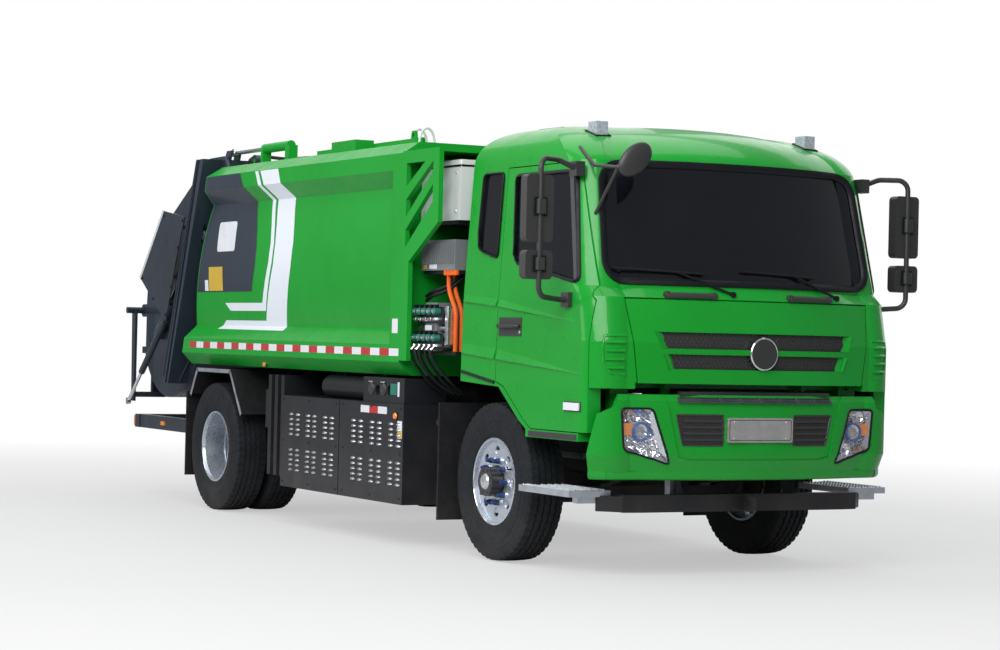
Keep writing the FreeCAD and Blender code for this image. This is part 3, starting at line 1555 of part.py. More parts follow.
def side_equipment():
    """Build the air tank and the ribbed brackets on the right side."""
    tank_z = box_top_z + seat_gap + tank_diameter / 2
    tank = rod(V(fa(tank_rear_x), -tank_y, tank_z), V(fa(tank_front_x), -tank_y, tank_z), tank_diameter / 2)
    solids = [tank]
    outline = [
        (bracket_inner_y, bracket_high_z - bracket_notch / 2), (bracket_inner_y, rail_bottom_z),
        (bracket_outer_y - bracket_notch, bracket_low_z), (bracket_outer_y, bracket_low_z),
        (bracket_outer_y, bracket_high_z), (bracket_outer_y - bracket_notch / 2, bracket_high_z),
    ]
    for index in range(bracket_count):
        x = fa(bracket_front_x - bracket_pitch * index)
        solids.append(slab_x(outline, x, x - bracket_thickness))
    back = box(fa(bracket_front_x),
               fa(bracket_front_x - bracket_pitch * (bracket_count - 1)) - bracket_thickness,
               rail_half_width + seat_gap, bracket_inner_y + bracket_thickness / 2, rail_bottom_z,
               rail_top_z - rail_web)
    ribs = fused(solids[1:] + [back])
    small = box(fa(small_box_x), fa(small_box_x + small_box_length), small_box_inner_y, small_box_outer_y,
                small_box_low_z, small_box_high_z)
    small_arm = box(fa(small_box_x + small_box_length / 3), fa(small_box_x + small_box_length * 2 / 3),
                    rail_half_width + seat_gap, small_box_inner_y,
                    (small_box_low_z + small_box_high_z) / 2, small_box_high_z - bracket_thickness)
    small = small.fuse(small_arm)
    return Part.makeCompound([tank, across(ribs), ribs, across(small)])


def body_side_cut():
    """Return the solid between the body's full width and its hollowed side."""
    y = body_half_width + overrun
    low = V(fa(body_front_x - body_front_post), body_panel_y, body_panel_low_z)
    middle = V(low.x, body_panel_y + body_bulge, body_panel_mid_z)
    high = V(low.x, body_panel_y, body_panel_high_z)
    rail_low = V(low.x, body_half_width, body_rail_top_z)
    rail_high = V(low.x, body_half_width, body_top_rail_low_z)
    edges = [
        Part.LineSegment(rail_low, low).toShape(),
        Part.Arc(low, middle, high).toShape(),
        Part.LineSegment(high, rail_high).toShape(),
        Part.LineSegment(rail_high, V(low.x, y, rail_high.z)).toShape(),
        Part.LineSegment(V(low.x, y, rail_high.z), V(low.x, y, rail_low.z)).toShape(),
        Part.LineSegment(V(low.x, y, rail_low.z), rail_low).toShape(),
    ]
    face = Part.Face(Part.Wire(edges))
    return face.extrude(V(seam_low_x - body_front_x - body_front_post - overrun * 4, 0, 0))


def seam_outline(offset):
    """Return the outline behind the slanted rear seam, moved rearward by the offset."""
    slope = (seam_low_x - seam_top_x) / (seam_top_z - seam_low_z)
    high_z = seam_top_z + overrun * 6
    low_z = seam_low_z - overrun * 10
    top_x = seam_top_x - slope * (high_z - seam_top_z) - offset
    low_x = seam_low_x + slope * (seam_low_z - low_z) - offset
    rear = -wheelbase - rear_overhang
    return [(fa(top_x), high_z), (fa(low_x), low_z), (fa(rear), low_z), (fa(rear), high_z)]


def refuse_body():
    """Build the hollow refuse body with bulged sides, front wall and open rear."""
    half = [
        (body_lip_y, body_floor_z), (body_half_width, body_rail_bottom_z),
        (body_half_width, body_top_rail_high_z), (body_roof_y, body_roof_z),
    ]
    outline = half + [(-y, z) for y, z in reversed(half)]
    rear_x = seam_low_x - overrun * 4
    block = slab_x(outline, fa(rear_x), fa(body_front_x))
    side = body_side_cut()
    block = block.cut(side).cut(across(side))
    inner_y = body_panel_y - body_wall
    inner_roof = body_roof_z - body_wall
    chamfer = body_wall * 2
    hollow = [
        (inner_y, body_floor_z + body_floor_thickness), (inner_y, inner_roof - chamfer),
        (inner_y - chamfer, inner_roof), (-inner_y + chamfer, inner_roof), (-inner_y, inner_roof - chamfer),
        (-inner_y, body_floor_z + body_floor_thickness),
    ]
    block = block.cut(slab_x(hollow, fa(rear_x - overrun), fa(body_front_x - body_front_wall)))
    return block.cut(slab_y(seam_outline(0), -body_half_width - overrun, body_half_width + overrun))


def body_fairings():
    """Build the slotted fairings that close the gap behind the cab, with their top panel."""
    outline = [
        (fa(body_front_x), fairing_top_z), (fa(fairing_front_x), fairing_top_z),
        (fa(fairing_front_x), fairing_corner_z), (fa(fairing_foot_x) - overrun, fairing_knee_z),
        (fa(fairing_foot_x) - overrun, fairing_foot_z), (fa(body_front_x), fairing_foot_z),
    ]
    outline = [(x + seat_gap if index in (0, 5) else x, z) for index, (x, z) in enumerate(outline)]
    panel = slab_y(outline, body_half_width - fairing_thickness, body_half_width)
    for index in range(3):
        low = slot_band_low_z + slot_pitch * index
        slot = [
            (fa(slot_rear_x), low), (fa(slot_front_x), low + slot_rise),
            (fa(slot_front_x), min(low + slot_rise + slot_height, fairing_top_z - overrun)),
            (fa(slot_rear_x), min(low + slot_height, fairing_top_z - overrun)),
        ]
        if index == 2:
            slot = [(fa(slot_rear_x), low), (fa(slot_front_x) - slot_height, fairing_top_z - overrun),
                    (fa(slot_rear_x), fairing_top_z - overrun)]
        panel = panel.cut(slab_y(slot, body_half_width - fairing_thickness - overrun,
                                 body_half_width + overrun))
    lid = box(fa(body_front_x) + seat_gap, fa(fairing_front_x), -body_half_width, body_half_width,
              fairing_top_z, fairing_top_z + fairing_lid_thickness)
    return fused([panel, across(panel), lid])


def equipment_rack():
    """Build the rack behind the cab that carries the controls."""
    parts = []
    for x in (rack_front_x - rack_post_size, rack_rear_x):
        for side in (1, -1):
            parts.append(box(fa(x), fa(x + rack_post_size), side * rack_half,
                             side * (rack_half - rack_post_size),
                             rack_bottom_z, rack_shelf_z[-1]))
    for z in rack_shelf_z:
        parts.append(box(fa(rack_rear_x), fa(rack_front_x), -rack_shelf_right_y, rack_shelf_left_y, z,
                         z + rack_shelf_thickness))
    parts.append(box(fa(rack_rear_x), fa(rack_front_x), -rack_half, rack_half, rack_bottom_z,
                     rack_bottom_z + rack_post_size))
    foot_outer = rail_half_width
    for side in (1, -1):
        parts.append(box(fa(rack_rear_x), fa(rack_front_x), side * (foot_outer - rail_flange),
                         side * foot_outer,
                         rail_top_z + seat_gap, rack_bottom_z))
    return fused(parts)


def cooling_box():
    """Build the pale cooling cabinet on the rack's top shelf."""
    base = rack_shelf_z[-1] + rack_shelf_thickness + seat_gap
    return box(fa(cooling_rear_x), fa(cooling_front_x), -cooling_outer_y, -cooling_inner_y, base,
               cooling_top_z)


def valve_stack():
    """Build the power controller and the hydraulic valve bank on their shelves."""
    shelf = rack_shelf_z[1] + rack_shelf_thickness + seat_gap
    controller = box(fa(controller_rear_x), fa(controller_front_x), -controller_outer_y, -controller_inner_y,
                     shelf, controller_high_z)
    low_shelf = rack_shelf_z[0] + rack_shelf_thickness + seat_gap
    middle = (valve_front_x + valve_rear_x) / 2
    body = box(fa(middle - valve_body_length / 2), fa(middle + valve_body_length / 2), -valve_inner_y,
               -valve_outer_y, low_shelf, low_shelf + valve_body_height)
    spools = []
    for z in valve_rows_z:
        start = V(fa(valve_rear_x), -valve_outer_y + valve_radius * 2, z)
        end = V(fa(valve_front_x), -valve_outer_y + valve_radius * 2, z)
        spools.append(rod(start, end, valve_radius))
    return Part.makeCompound([controller, fused([body] + spools)])


def power_cables():
    """Build the orange cables that drop from the controller's shelf to the lower shelf."""
    cables = []
    for index in range(2):
        y = -cable_y + cable_spacing * index
        low_x = fa(cable_low_x)
        route = [
            V(fa(cable_top_x), y, rack_shelf_z[1] - seat_gap), V(fa(cable_top_x), y,
                                                                 cable_knee_z + cable_bend / 2),
            V(low_x, y, cable_knee_z - cable_bend / 2), V(low_x, y,
                                                          rack_shelf_z[0] + rack_shelf_thickness + seat_gap),
        ]
        cables.append(bent_tube(route, cable_radius, cable_bend))
    return Part.makeCompound(cables)


def roof_fittings():
    """Build the hinge brackets, lift cylinder barrels, rails and boxes on the body's roof."""
    hinge_x = fa(tail_hinge_x)
    solids = []
    near = tail_ear_y - tail_ear_thickness
    bracket = slab_y([(hinge_x + roof_box_length / 2, body_roof_z + seat_gap),
                      (hinge_x - tail_ear_radius / 2, body_roof_z + seat_gap),
                      (hinge_x - tail_ear_radius / 2, tail_hinge_z), (hinge_x,
                                                                      tail_hinge_z + tail_ear_radius)],
                     near, tail_ear_y)
    bracket = bracket.fuse(cylinder_y(hinge_x, near, tail_ear_y, tail_hinge_z, tail_ear_radius))
    pin = cylinder_y(hinge_x, near, tail_ear_y + tail_ear_gap + tail_ear_thickness, tail_hinge_z,
                     tail_pin_radius)
    solids.append(fused([bracket, pin]))
    base = V(fa(lift_base_x), lift_y, lift_axis_z)
    barrel = rod(base, V(base.x - lift_barrel_length, lift_y, lift_axis_z), lift_barrel_radius)
    bore = rod(V(base.x - lift_barrel_radius, lift_y, lift_axis_z),
               V(base.x - lift_barrel_length - overrun, lift_y, lift_axis_z), lift_rod_radius + pin_clearance)
    foot = box(base.x - lift_barrel_radius, base.x + lift_barrel_radius, lift_y - lift_barrel_radius,
               lift_y + lift_barrel_radius, body_roof_z + seat_gap, lift_axis_z)
    front_foot = box(base.x - lift_barrel_length + lift_barrel_radius, base.x - lift_barrel_length,
                     lift_y - lift_barrel_radius, lift_y + lift_barrel_radius, body_roof_z + seat_gap,
                     lift_axis_z)
    solids.append(fused([barrel, foot, front_foot]).cut(bore))
    roof_box = box(fa(roof_box_x), fa(roof_box_x - roof_box_length), lift_y - roof_box_width / 2,
                   lift_y + roof_box_width / 2, body_roof_z + seat_gap, body_roof_z + roof_box_height)
    solids.append(roof_box)
    rail = box(fa(roof_rail_rear_x), fa(roof_rail_front_x), roof_rail_y - roof_rail_half,
               roof_rail_y + roof_rail_half, roof_rail_z - roof_rail_half, roof_rail_z + roof_rail_half)
    rail_parts = [rail]
    for share in roof_rail_foot_shares:
        x = fa(roof_rail_rear_x + (roof_rail_front_x - roof_rail_rear_x) * share)
        rail_parts.append(box(x - roof_rail_half, x + roof_rail_half, roof_rail_y - roof_rail_half,
                              roof_rail_y + roof_rail_half, body_roof_z + seat_gap, roof_rail_z))
    solids.append(fused(rail_parts))
    lug_x = fa(lifting_lug_x)
    lug = slab_y([(lug_x - lifting_lug_size / 2, body_roof_z + seat_gap),
                  (lug_x + lifting_lug_size / 2, body_roof_z + seat_gap),
                  (lug_x + lifting_lug_size / 4, body_roof_z + lifting_lug_size),
                  (lug_x - lifting_lug_size / 4, body_roof_z + lifting_lug_size)],
                 lifting_lug_y, lifting_lug_y + lifting_lug_thickness)
    lug = lug.cut(cylinder_y(lug_x, lifting_lug_y - overrun, lifting_lug_y + overrun,
                             body_roof_z + lifting_lug_size * lug_hole_share, lifting_lug_hole))
    solids.append(lug)
    return Part.makeCompound(solids + [across(solid) for solid in solids])


def lift_rods():
    """Build the two rods that pull the tailgate up."""
    eye_x = fa(lift_eye_x)
    inside = V(fa(lift_base_x) - lift_barrel_length + overrun, lift_y, lift_axis_z)
    shaft = rod(inside, V(eye_x + lift_eye_radius / 2, lift_y, lift_axis_z), lift_rod_radius)
    eye = tube_y(eye_x, lift_y - lift_eye_width / 2, lift_y + lift_eye_width / 2, lift_axis_z,
                 lift_eye_radius, lift_rod_radius)
    shaft = shaft.cut(cylinder_y(eye_x, 0, body_half_width, lift_axis_z, lift_rod_radius))
    return both(shaft.fuse(eye))


def share_outline(shares):
    """Return an outline on the tailgate's side, from shares of its length and height."""
    return [(fa(tail_hinge_x - tailgate_length * u), tailgate_base_z + tailgate_height * v) for u,
            v in shares]


def slide_point(distance, offset):
    """Return the (x, z) of a point along the slide's run from the blade hinge."""
    along = unit(slide_angle)
    normal = unit(slide_angle + 90)
    x = fa(blade_hinge_x) + along.x * distance + normal.x * offset
    z = blade_hinge_z + along.z * distance + normal.z * offset
    return (x, z)


def slide_bar(start, end, low, high, y0, y1):
    """Return a bar along the slide's run between two distances and two offsets."""
    outline = [slide_point(start, low), slide_point(end, low), slide_point(end, high), slide_point(start,
                                                                                                   high)]
    return slab_y(outline, y0, y1)


def lifter_bracket():
    """Return the bracket on the tailgate that holds the lifter's shaft, and its bore."""
    hinge_x = fa(lifter_hinge_x)
    outer = lifter_shaft_radius * 2
    ring = cylinder_y(hinge_x, tailgate_wall_y, tailgate_wall_y + tailgate_wall, lifter_hinge_z, outer)
    plate = box(hinge_x, hinge_x + lifter_bracket_reach, tailgate_wall_y, tailgate_wall_y + tailgate_wall,
                lifter_hinge_z - outer, lifter_hinge_z + outer)
    bore = cylinder_y(hinge_x, tailgate_wall_y - overrun, body_half_width, lifter_hinge_z,
                      lifter_shaft_radius + pin_clearance)
    return ring.fuse(plate), bore


def tailgate_shell():
    """Build the tailgate: side walls, posts, hopper trough, top cover and hinge ears."""
    wall_in = tailgate_wall_y
    wall_out = tailgate_wall_y + tailgate_wall
    side = slab_y(share_outline(wall_side_share), wall_in, wall_out)
    trough_x = fa(hopper_centre_x)
    outer_radius = hopper_radius + hopper_plate
    disc = cylinder_y(trough_x, wall_in, wall_out, hopper_centre_z, outer_radius)
    disc = disc.cut(box(trough_x - outer_radius, trough_x + outer_radius, wall_in - overrun,
                        wall_out + overrun,
                        hopper_sill_z, hopper_centre_z + outer_radius))
    side = side.fuse(disc)
    slot = slide_bar(slide_pin_reach - slide_stroke - slide_slot_height / 2,
                     slide_pin_reach + slide_slot_height / 2,
                     -slide_slot_height / 2, slide_slot_height / 2, wall_in - overrun, wall_out + overrun)
    side = side.cut(slot)
    post = slab_y([(fa(post_foot_x - post_width / 2), post_foot_z), (fa(post_foot_x + post_width / 2),
                                                                     post_foot_z),
                   (fa(post_top_x + post_width / 2), post_top_z), (fa(post_top_x - post_width / 2),
                                                                   post_top_z)],
                  wall_out, post_half_width)
    groove = slab_y([(fa(post_foot_x - post_groove / 2), post_foot_z - overrun),
                     (fa(post_foot_x + post_groove / 2), post_foot_z - overrun),
                     (fa(post_top_x + post_groove / 2), post_top_z + overrun),
                     (fa(post_top_x - post_groove / 2), post_top_z + overrun)],
                    post_half_width - post_groove_depth, post_half_width + overrun)
    post = post.cut(groove)
    channel = slide_bar(-packing_barrel_length, slide_pin_reach + overrun * 2,
                        -packing_eye_radius - moving_gap,
                        packing_eye_radius + moving_gap, wall_out,
                        packing_y + packing_eye_width / 2 + moving_gap)
    post = post.cut(channel)
    base_x, base_z = slide_point(slide_pin_reach - packing_base_run, 0)
    barrel_start = V(base_x, packing_y, base_z)
    along = unit(slide_angle)
    barrel = rod(barrel_start, barrel_start + along * packing_barrel_length, packing_barrel_radius)
    bore = rod(barrel_start + along * packing_bore_floor,
               barrel_start + along * (packing_barrel_length + overrun),
               packing_rod_radius + pin_clearance)
    saddle = slide_bar(slide_pin_reach - packing_base_run,
                       slide_pin_reach - packing_base_run + packing_barrel_radius * 2,
                       -packing_barrel_radius, packing_barrel_radius, wall_out, packing_y)
    barrel = barrel.fuse(saddle).cut(bore)
    ear_near = tail_ear_y + tail_ear_gap
    ear_far = ear_near + tail_ear_thickness
    hinge_x = fa(tail_hinge_x)
    ear = slab_y([(hinge_x, tail_hinge_z + tail_ear_radius), (hinge_x - tail_ear_radius * 2,
                                                              tail_hinge_z + tail_ear_radius / 2),
                  (hinge_x - tail_ear_radius * 4, cover_front_z - cover_thickness * 3),
                  (hinge_x - tail_ear_radius * 2, cover_front_z - cover_thickness * 3),
                  (hinge_x, tail_hinge_z - tail_ear_radius)], ear_near, ear_far)
    ear = ear.fuse(cylinder_y(hinge_x, ear_near, ear_far, tail_hinge_z, tail_ear_radius))
    ear = ear.cut(cylinder_y(hinge_x, 0, body_half_width, tail_hinge_z, tail_pin_radius + pin_clearance))
    lug_parts = []
    lug_x = fa(lift_eye_x)
    for direction in (1, -1):
        lug_y = lift_y + direction * (lift_eye_width / 2 + lift_lug_gap)
        lug = slab_y([(lug_x + lift_eye_radius, lift_axis_z + lift_eye_radius / 2),
                      (lug_x - lift_eye_radius * 2, lift_axis_z + lift_eye_radius / 2),
                      (lug_x - lift_eye_radius * 5, cover_front_z - cover_thickness * 3),
                      (lug_x - lift_eye_radius, cover_front_z - cover_thickness * 3)],
                     lug_y, lug_y + direction * lift_lug_thickness)
        lug_parts.append(lug)
    bracket, bearing = lifter_bracket()
    pin = cylinder_y(fa(bin_base_x), wall_in, bin_cyl_y + bin_barrel_radius, bin_base_z, bin_rod_radius)
    boss = cylinder_y(fa(bin_base_x), wall_in, bin_cyl_y - bin_barrel_radius - moving_gap, bin_base_z,
                      bin_eye_radius)
    halves = [side, post, barrel, ear, bracket, pin, boss] + lug_parts
    trough = tube_y(trough_x, -wall_out, wall_out, hopper_centre_z, outer_radius, hopper_radius)
    trough = trough.cut(box(trough_x - outer_radius - overrun, trough_x + outer_radius + overrun,
                            -body_half_width,
                            body_half_width, hopper_sill_z, hopper_centre_z + outer_radius + overrun))
    ramp_turn = unit(slide_angle - 90)
    ramp_x = trough_x + ramp_turn.x * hopper_radius
    ramp_z = hopper_centre_z + ramp_turn.z * hopper_radius
    reach = (ramp_end_z - ramp_z) / math.tan(math.radians(slide_angle))
    front_cut = slab_y([(ramp_x, ramp_z), (ramp_x + reach, ramp_end_z), (ramp_x + reach,
                                                                         ramp_end_z + overrun * 10),
                        (trough_x + outer_radius * 2, ramp_end_z + overrun * 10),
                        (trough_x + outer_radius * 2, ramp_z - overrun * 6),
                        (ramp_x + ramp_turn.x * hopper_plate * 3, ramp_z + ramp_turn.z * hopper_plate * 3)],
                       -body_half_width, body_half_width)
    trough = trough.cut(front_cut)
    ramp = slab_y([(ramp_x, ramp_z), (ramp_x + reach, ramp_end_z),
                   (ramp_x + reach, ramp_end_z - hopper_plate - hopper_ramp_lap),
                   (ramp_x + ramp_turn.x * hopper_plate, ramp_z + ramp_turn.z * hopper_plate)],
                  -wall_out, wall_out)
    sill = box(trough_x - outer_radius, trough_x - hopper_radius + hopper_sill_width, -wall_out, wall_out,
               hopper_sill_z - hopper_plate * 2, hopper_sill_z)
    cover = slab_y([(fa(cover_front_x), cover_front_z), (fa(cover_rear_x), cover_rear_z),
                    (fa(cover_rear_x), cover_rear_z - cover_thickness),
                    (fa(cover_front_x), cover_front_z - cover_thickness)], -wall_out, wall_out)
    header = box(fa(cover_front_x), fa(cover_front_x) - cover_thickness * 4, -wall_out, wall_out,
                 cover_front_z - cover_thickness * 4, cover_front_z - cover_thickness / 2)
    parts = [trough, ramp, sill, cover, header] + halves + [across(piece) for piece in halves]
    gate = fused(parts)
    front = slab_y([(fa(0), tailgate_base_z - overrun), (fa(0), body_roof_z + seat_gap)]
                   + [(x, z) for x, z in ((fa(seam_top_x - tailgate_gap), body_roof_z + seat_gap),
                                          (fa(seam_low_x - tailgate_gap), seam_low_z),
                                          (fa(seam_low_x - tailgate_gap - overrun),
                                           tailgate_base_z - overrun))],
                   -body_half_width - overrun, body_half_width + overrun)
    return gate.cut(front).cut(bearing).cut(across(bearing))


def guard_plates():
    """Build the pale-edged guard plates that stand off the tailgate's sides."""
    plate = slab_y(share_outline(guard_side_share), guard_plate_y, guard_plate_y + guard_plate_thickness)
    parts = [plate]
    for u, v in guard_spacer_shares:
        x, z = share_outline([(u, v)])[0]
        parts.append(cylinder_y(x, tailgate_wall_y + tailgate_wall + seat_gap, guard_plate_y, z,
                                guard_spacer_radius))
    return both(fused(parts))


def slide_plate():
    """Build the slide plate with its blade knuckles, cross pin and packing rods."""
    plate = slide_bar(blade_knuckle_radius + moving_gap, slide_length, -slide_thickness / 2,
                      slide_thickness / 2,
                      -slide_half, slide_half)
    parts = [plate]
    for side in (1, -1):
        y0 = side * slide_half
        y1 = side * (slide_half - blade_knuckle_length)
        x, z = slide_point(0, 0)
        parts.append(cylinder_y(x, y0, y1, z, blade_knuckle_radius))
        parts.append(slide_bar(0, blade_knuckle_radius * 2, -slide_thickness / 2, slide_thickness / 2, y0,
                               y1))
    x, z = slide_point(0, 0)
    parts.append(cylinder_y(x, -slide_half, slide_half, z, blade_pin_radius))
    pin_x, pin_z = slide_point(slide_pin_reach, 0)
    pin_end = packing_y + packing_eye_width / 2
    parts.append(cylinder_y(pin_x, -pin_end, pin_end, pin_z, slide_pin_radius))
    along = unit(slide_angle)
    for side in (1, -1):
        head = V(pin_x, side * packing_y, pin_z)
        reach = packing_base_run - packing_barrel_length + overrun
        parts.append(rod(head, head - along * reach, packing_rod_radius))
        parts.append(cylinder_y(pin_x, side * (packing_y - packing_eye_width / 2),
                                side * (packing_y + packing_eye_width / 2), pin_z, packing_eye_radius))
    return fused(parts)


def packer_blade():
    """Build the curved packer blade that hangs from the slide plate."""
    hinge_x = fa(blade_hinge_x)
    direction = unit(blade_closed_angle)
    normal = unit(blade_closed_angle + 90)
    start = blade_knuckle_radius + moving_gap
    half = blade_half - blade_knuckle_length - moving_gap

    def place(distance, offset):
        """Return the (x, z) of a point on the blade."""
        return (hinge_x + direction.x * distance + normal.x * offset,
                blade_hinge_z + direction.z * distance + normal.z * offset)

    web = slab_y([place(start, -blade_thickness / 2), place(blade_radius, -blade_thickness / 4),
                  place(blade_radius, blade_thickness / 4), place(start, blade_thickness / 2)],
                 -blade_half, blade_half)
    parts = [web]
    hub = cylinder_y(hinge_x, -half, half, blade_hinge_z, blade_knuckle_radius)
    neck = slab_y([place(0, -blade_thickness / 2), place(start * blade_neck_share, -blade_thickness / 2),
                   place(start * blade_neck_share, blade_thickness / 2), place(0, blade_thickness / 2)],
                   -half, half)
    parts += [hub, neck]
    pitch = 2 * half / (blade_rib_count - 1)
    for index in range(blade_rib_count):
        y = -half + pitch * index
        parts.append(slab_y([place(start * blade_neck_share, 0), place(blade_radius * blade_rib_top_share, 0),
                             place(blade_radius * blade_rib_low_share,
                                   -blade_thickness / 2 - blade_rib_height),
                             place(start * blade_rib_start_share, -blade_thickness / 2 - blade_rib_height)],
                            y - blade_rib_width / 2, y + blade_rib_width / 2))
    blade = fused(parts)
    return blade.cut(cylinder_y(hinge_x, -body_half_width, body_half_width, blade_hinge_z,
                                blade_pin_radius + pin_clearance))


def bin_lifter():
    """Build the bin lifter: frame, comb, arms, shaft and the outer levers."""
    hinge_x = fa(lifter_hinge_x)
    near = fa(lifter_plate_x) + lifter_plate_thickness / 2
    far = fa(lifter_plate_x) - lifter_plate_thickness / 2
    parts = []
    for z0, z1 in ((lifter_bottom_z, lifter_bottom_z + lifter_bar),
                   (lifter_comb_z - lifter_bar / 2, lifter_comb_z + lifter_bar / 2),
                   (lifter_top_z - lifter_bar, lifter_top_z)):
        parts.append(box(near, far, -lifter_half, lifter_half, z0, z1))
    for y in (-lifter_half, -lifter_bar / 2, lifter_half - lifter_bar):
        parts.append(box(near, far, y, y + lifter_bar, lifter_bottom_z, lifter_top_z))
    pitch = (2 * lifter_half - lifter_tooth_width * 4) / (lifter_tooth_count - 1)
    for index in range(lifter_tooth_count):
        y = -lifter_half + lifter_tooth_width * 2 + pitch * index
        parts.append(slab_y([(far + seat_gap, lifter_comb_z), (far - lifter_tooth_depth, lifter_comb_z),
                             (far - lifter_tooth_depth, lifter_comb_z + lifter_tooth_height),
                             (far + seat_gap, lifter_comb_z + lifter_tooth_height / 3)],
                            y - lifter_tooth_width / 2, y + lifter_tooth_width / 2))
    shaft_end = bin_cyl_y + bin_barrel_radius
    parts.append(cylinder_y(hinge_x, -shaft_end, shaft_end, lifter_hinge_z, lifter_shaft_radius))
    for side in (1, -1):
        y0 = side * lifter_arm_y
        y1 = side * (lifter_arm_y + lifter_arm_thickness)
        parts.append(slab_y([(hinge_x + lifter_shaft_radius, lifter_hinge_z - lifter_shaft_radius),
                             (hinge_x + lifter_shaft_radius, lifter_hinge_z + lifter_shaft_radius),
                             (fa(lifter_arm_tip_x), lifter_arm_tip_z),
                             (fa(lifter_arm_tip_x), lifter_arm_tip_z - lifter_arm_height / 2),
                             (far, lifter_hinge_z - lifter_arm_height)], y0, y1))
        lever_y = side * (bin_cyl_y - bin_barrel_radius - lifter_lever_gap)
        lever_out = lever_y - side * bin_lever_thickness
        parts.append(slab_y([(hinge_x - lifter_lug_half, lifter_hinge_z),
                             (hinge_x + lifter_lug_half, lifter_hinge_z),
                             (fa(bin_eye_x) + bin_eye_radius, bin_eye_z), (fa(bin_eye_x) - bin_eye_radius,
                                                                           bin_eye_z)],
                            lever_y, lever_out))
        parts.append(box(far, fa(bin_eye_x) + bin_eye_radius, side * (lifter_half - lifter_bar), lever_out,
                         lifter_bottom_z, lifter_bottom_z + lifter_bar / 2))
    return fused(parts)


def bin_direction():
    """Return the unit direction from the bin cylinder's base to its rod eye."""
    return V(bin_eye_x - bin_base_x, 0, bin_eye_z - bin_base_z).normalize()


def bin_barrels():
    """Build the two bin-lift cylinder barrels on their base eyes."""
    along = bin_direction()
    base = V(fa(bin_base_x), bin_cyl_y, bin_base_z)
    barrel = rod(base, base + along * bin_barrel_length, bin_barrel_radius)
    eye = cylinder_y(base.x, bin_cyl_y - bin_barrel_radius, bin_cyl_y + bin_barrel_radius, base.z,
                     bin_eye_radius)
    bore = rod(base + along * (bin_barrel_radius * 2), base + along * (bin_barrel_length + overrun),
               bin_rod_radius + pin_clearance)
    hole = cylinder_y(base.x, 0, body_half_width, base.z, bin_rod_radius + pin_clearance)
    return both(barrel.fuse(eye).cut(bore).cut(hole))


def bin_rods():
    """Build the two bin-lift rods with their eyes."""
    along = bin_direction()
    base = V(fa(bin_base_x), bin_cyl_y, bin_base_z)
    eye = V(fa(bin_eye_x), bin_cyl_y, bin_eye_z)
    shaft = rod(base + along * (bin_rod_start), eye, bin_rod_radius)
    ring = tube_y(eye.x, bin_cyl_y - bin_rod_radius, bin_cyl_y + bin_rod_radius, eye.z, bin_eye_radius,
                  bin_rod_radius)
    shaft = shaft.cut(cylinder_y(eye.x, 0, body_half_width, eye.z, bin_rod_radius))
    return both(shaft.fuse(ring))


def rear_bumper():
    """Build the rear underrun beam with its side arms and stays to the frame."""
    x = fa(rear_beam_x)
    parts = [box(x, x - rear_beam_depth, -rear_beam_half, rear_beam_half, rear_beam_low_z, rear_beam_high_z)]
    for side in (1, -1):
        parts.append(box(x - rear_beam_depth / 2, fa(rear_arm_front_x), side * rear_arm_y,
                         side * (rear_arm_y - rear_arm_width), rear_beam_low_z, rear_beam_high_z))
        parts.append(box(fa(rear_arm_front_x), fa(rear_arm_front_x) - rear_stay_length, side * rear_arm_y,
                         side * (rail_half_width - rail_flange), rear_beam_low_z, rear_stay_high_z))
        parts.append(box(fa(rear_arm_front_x) - rear_stay_length, fa(rear_arm_front_x),
                         side * (rail_half_width - rear_stay_gap), side * (rail_half_width - rail_flange),
                         rear_beam_low_z, rail_bottom_z - seat_gap))
    return fused(parts)


def marker_lamps():
    """Build the tail lamps and the side marker lamps."""
    lamps = []
    x = fa(rear_beam_x) - rear_beam_depth - seat_gap
    middle = (rear_beam_low_z + rear_beam_high_z) / 2
    lamps.append(box(x, x - tail_lamp_depth, rear_beam_half - tail_lamp_length, rear_beam_half,
                     middle - tail_lamp_height / 2, middle + tail_lamp_height / 2))
    arm_x = (rear_beam_x + rear_arm_front_x) / 2
    lamps.append(box(fa(arm_x), fa(arm_x + side_lamp_length), rear_arm_y + seat_gap,
                     rear_arm_y + side_lamp_depth, middle - side_lamp_height / 2,
                     middle + side_lamp_height / 2))
    return Part.makeCompound(lamps + [across(lamp) for lamp in lamps])


def dashboard():
    """Build the dashboard with the steering wheel on its column."""
    outline = [
        (fa(dash_rear_x), dash_bottom_z), (fa(dash_rear_x), dash_top_z - overrun),
        (fa(dash_rear_x) + overrun, dash_top_z),
        (fa(dash_front_x), dash_top_z - overrun), (fa(dash_front_x), dash_bottom_z),
    ]
    board = slab_y(outline, -dash_half, dash_half)
    brackets = []
    for side in (1, -1):
        brackets.append(box(fa(dash_front_x), fa(bulkhead_x) - seat_gap, side * dash_bracket_y,
                            side * (dash_bracket_y + dash_bracket_width), dash_bottom_z,
                            dash_bottom_z + dash_bracket_height))
    centre = V(fa(wheel_centre_x), wheel_centre_y, wheel_centre_z)
    axis = unit(90 + wheel_tilt)
    rim = Part.makeTorus(wheel_radius, wheel_rim_radius, centre, axis)
    foot = centre - axis * (column_length)
    column = rod(foot, centre, column_radius)
    spokes = []
    for turn in (0, 120, 240):
        arm = FreeCAD.Rotation(axis, turn).multVec(V(0, 1, 0)) * wheel_radius
        spokes.append(rod(centre, centre + arm, wheel_spoke_radius))
    return fused([board, rim, column] + brackets + spokes)


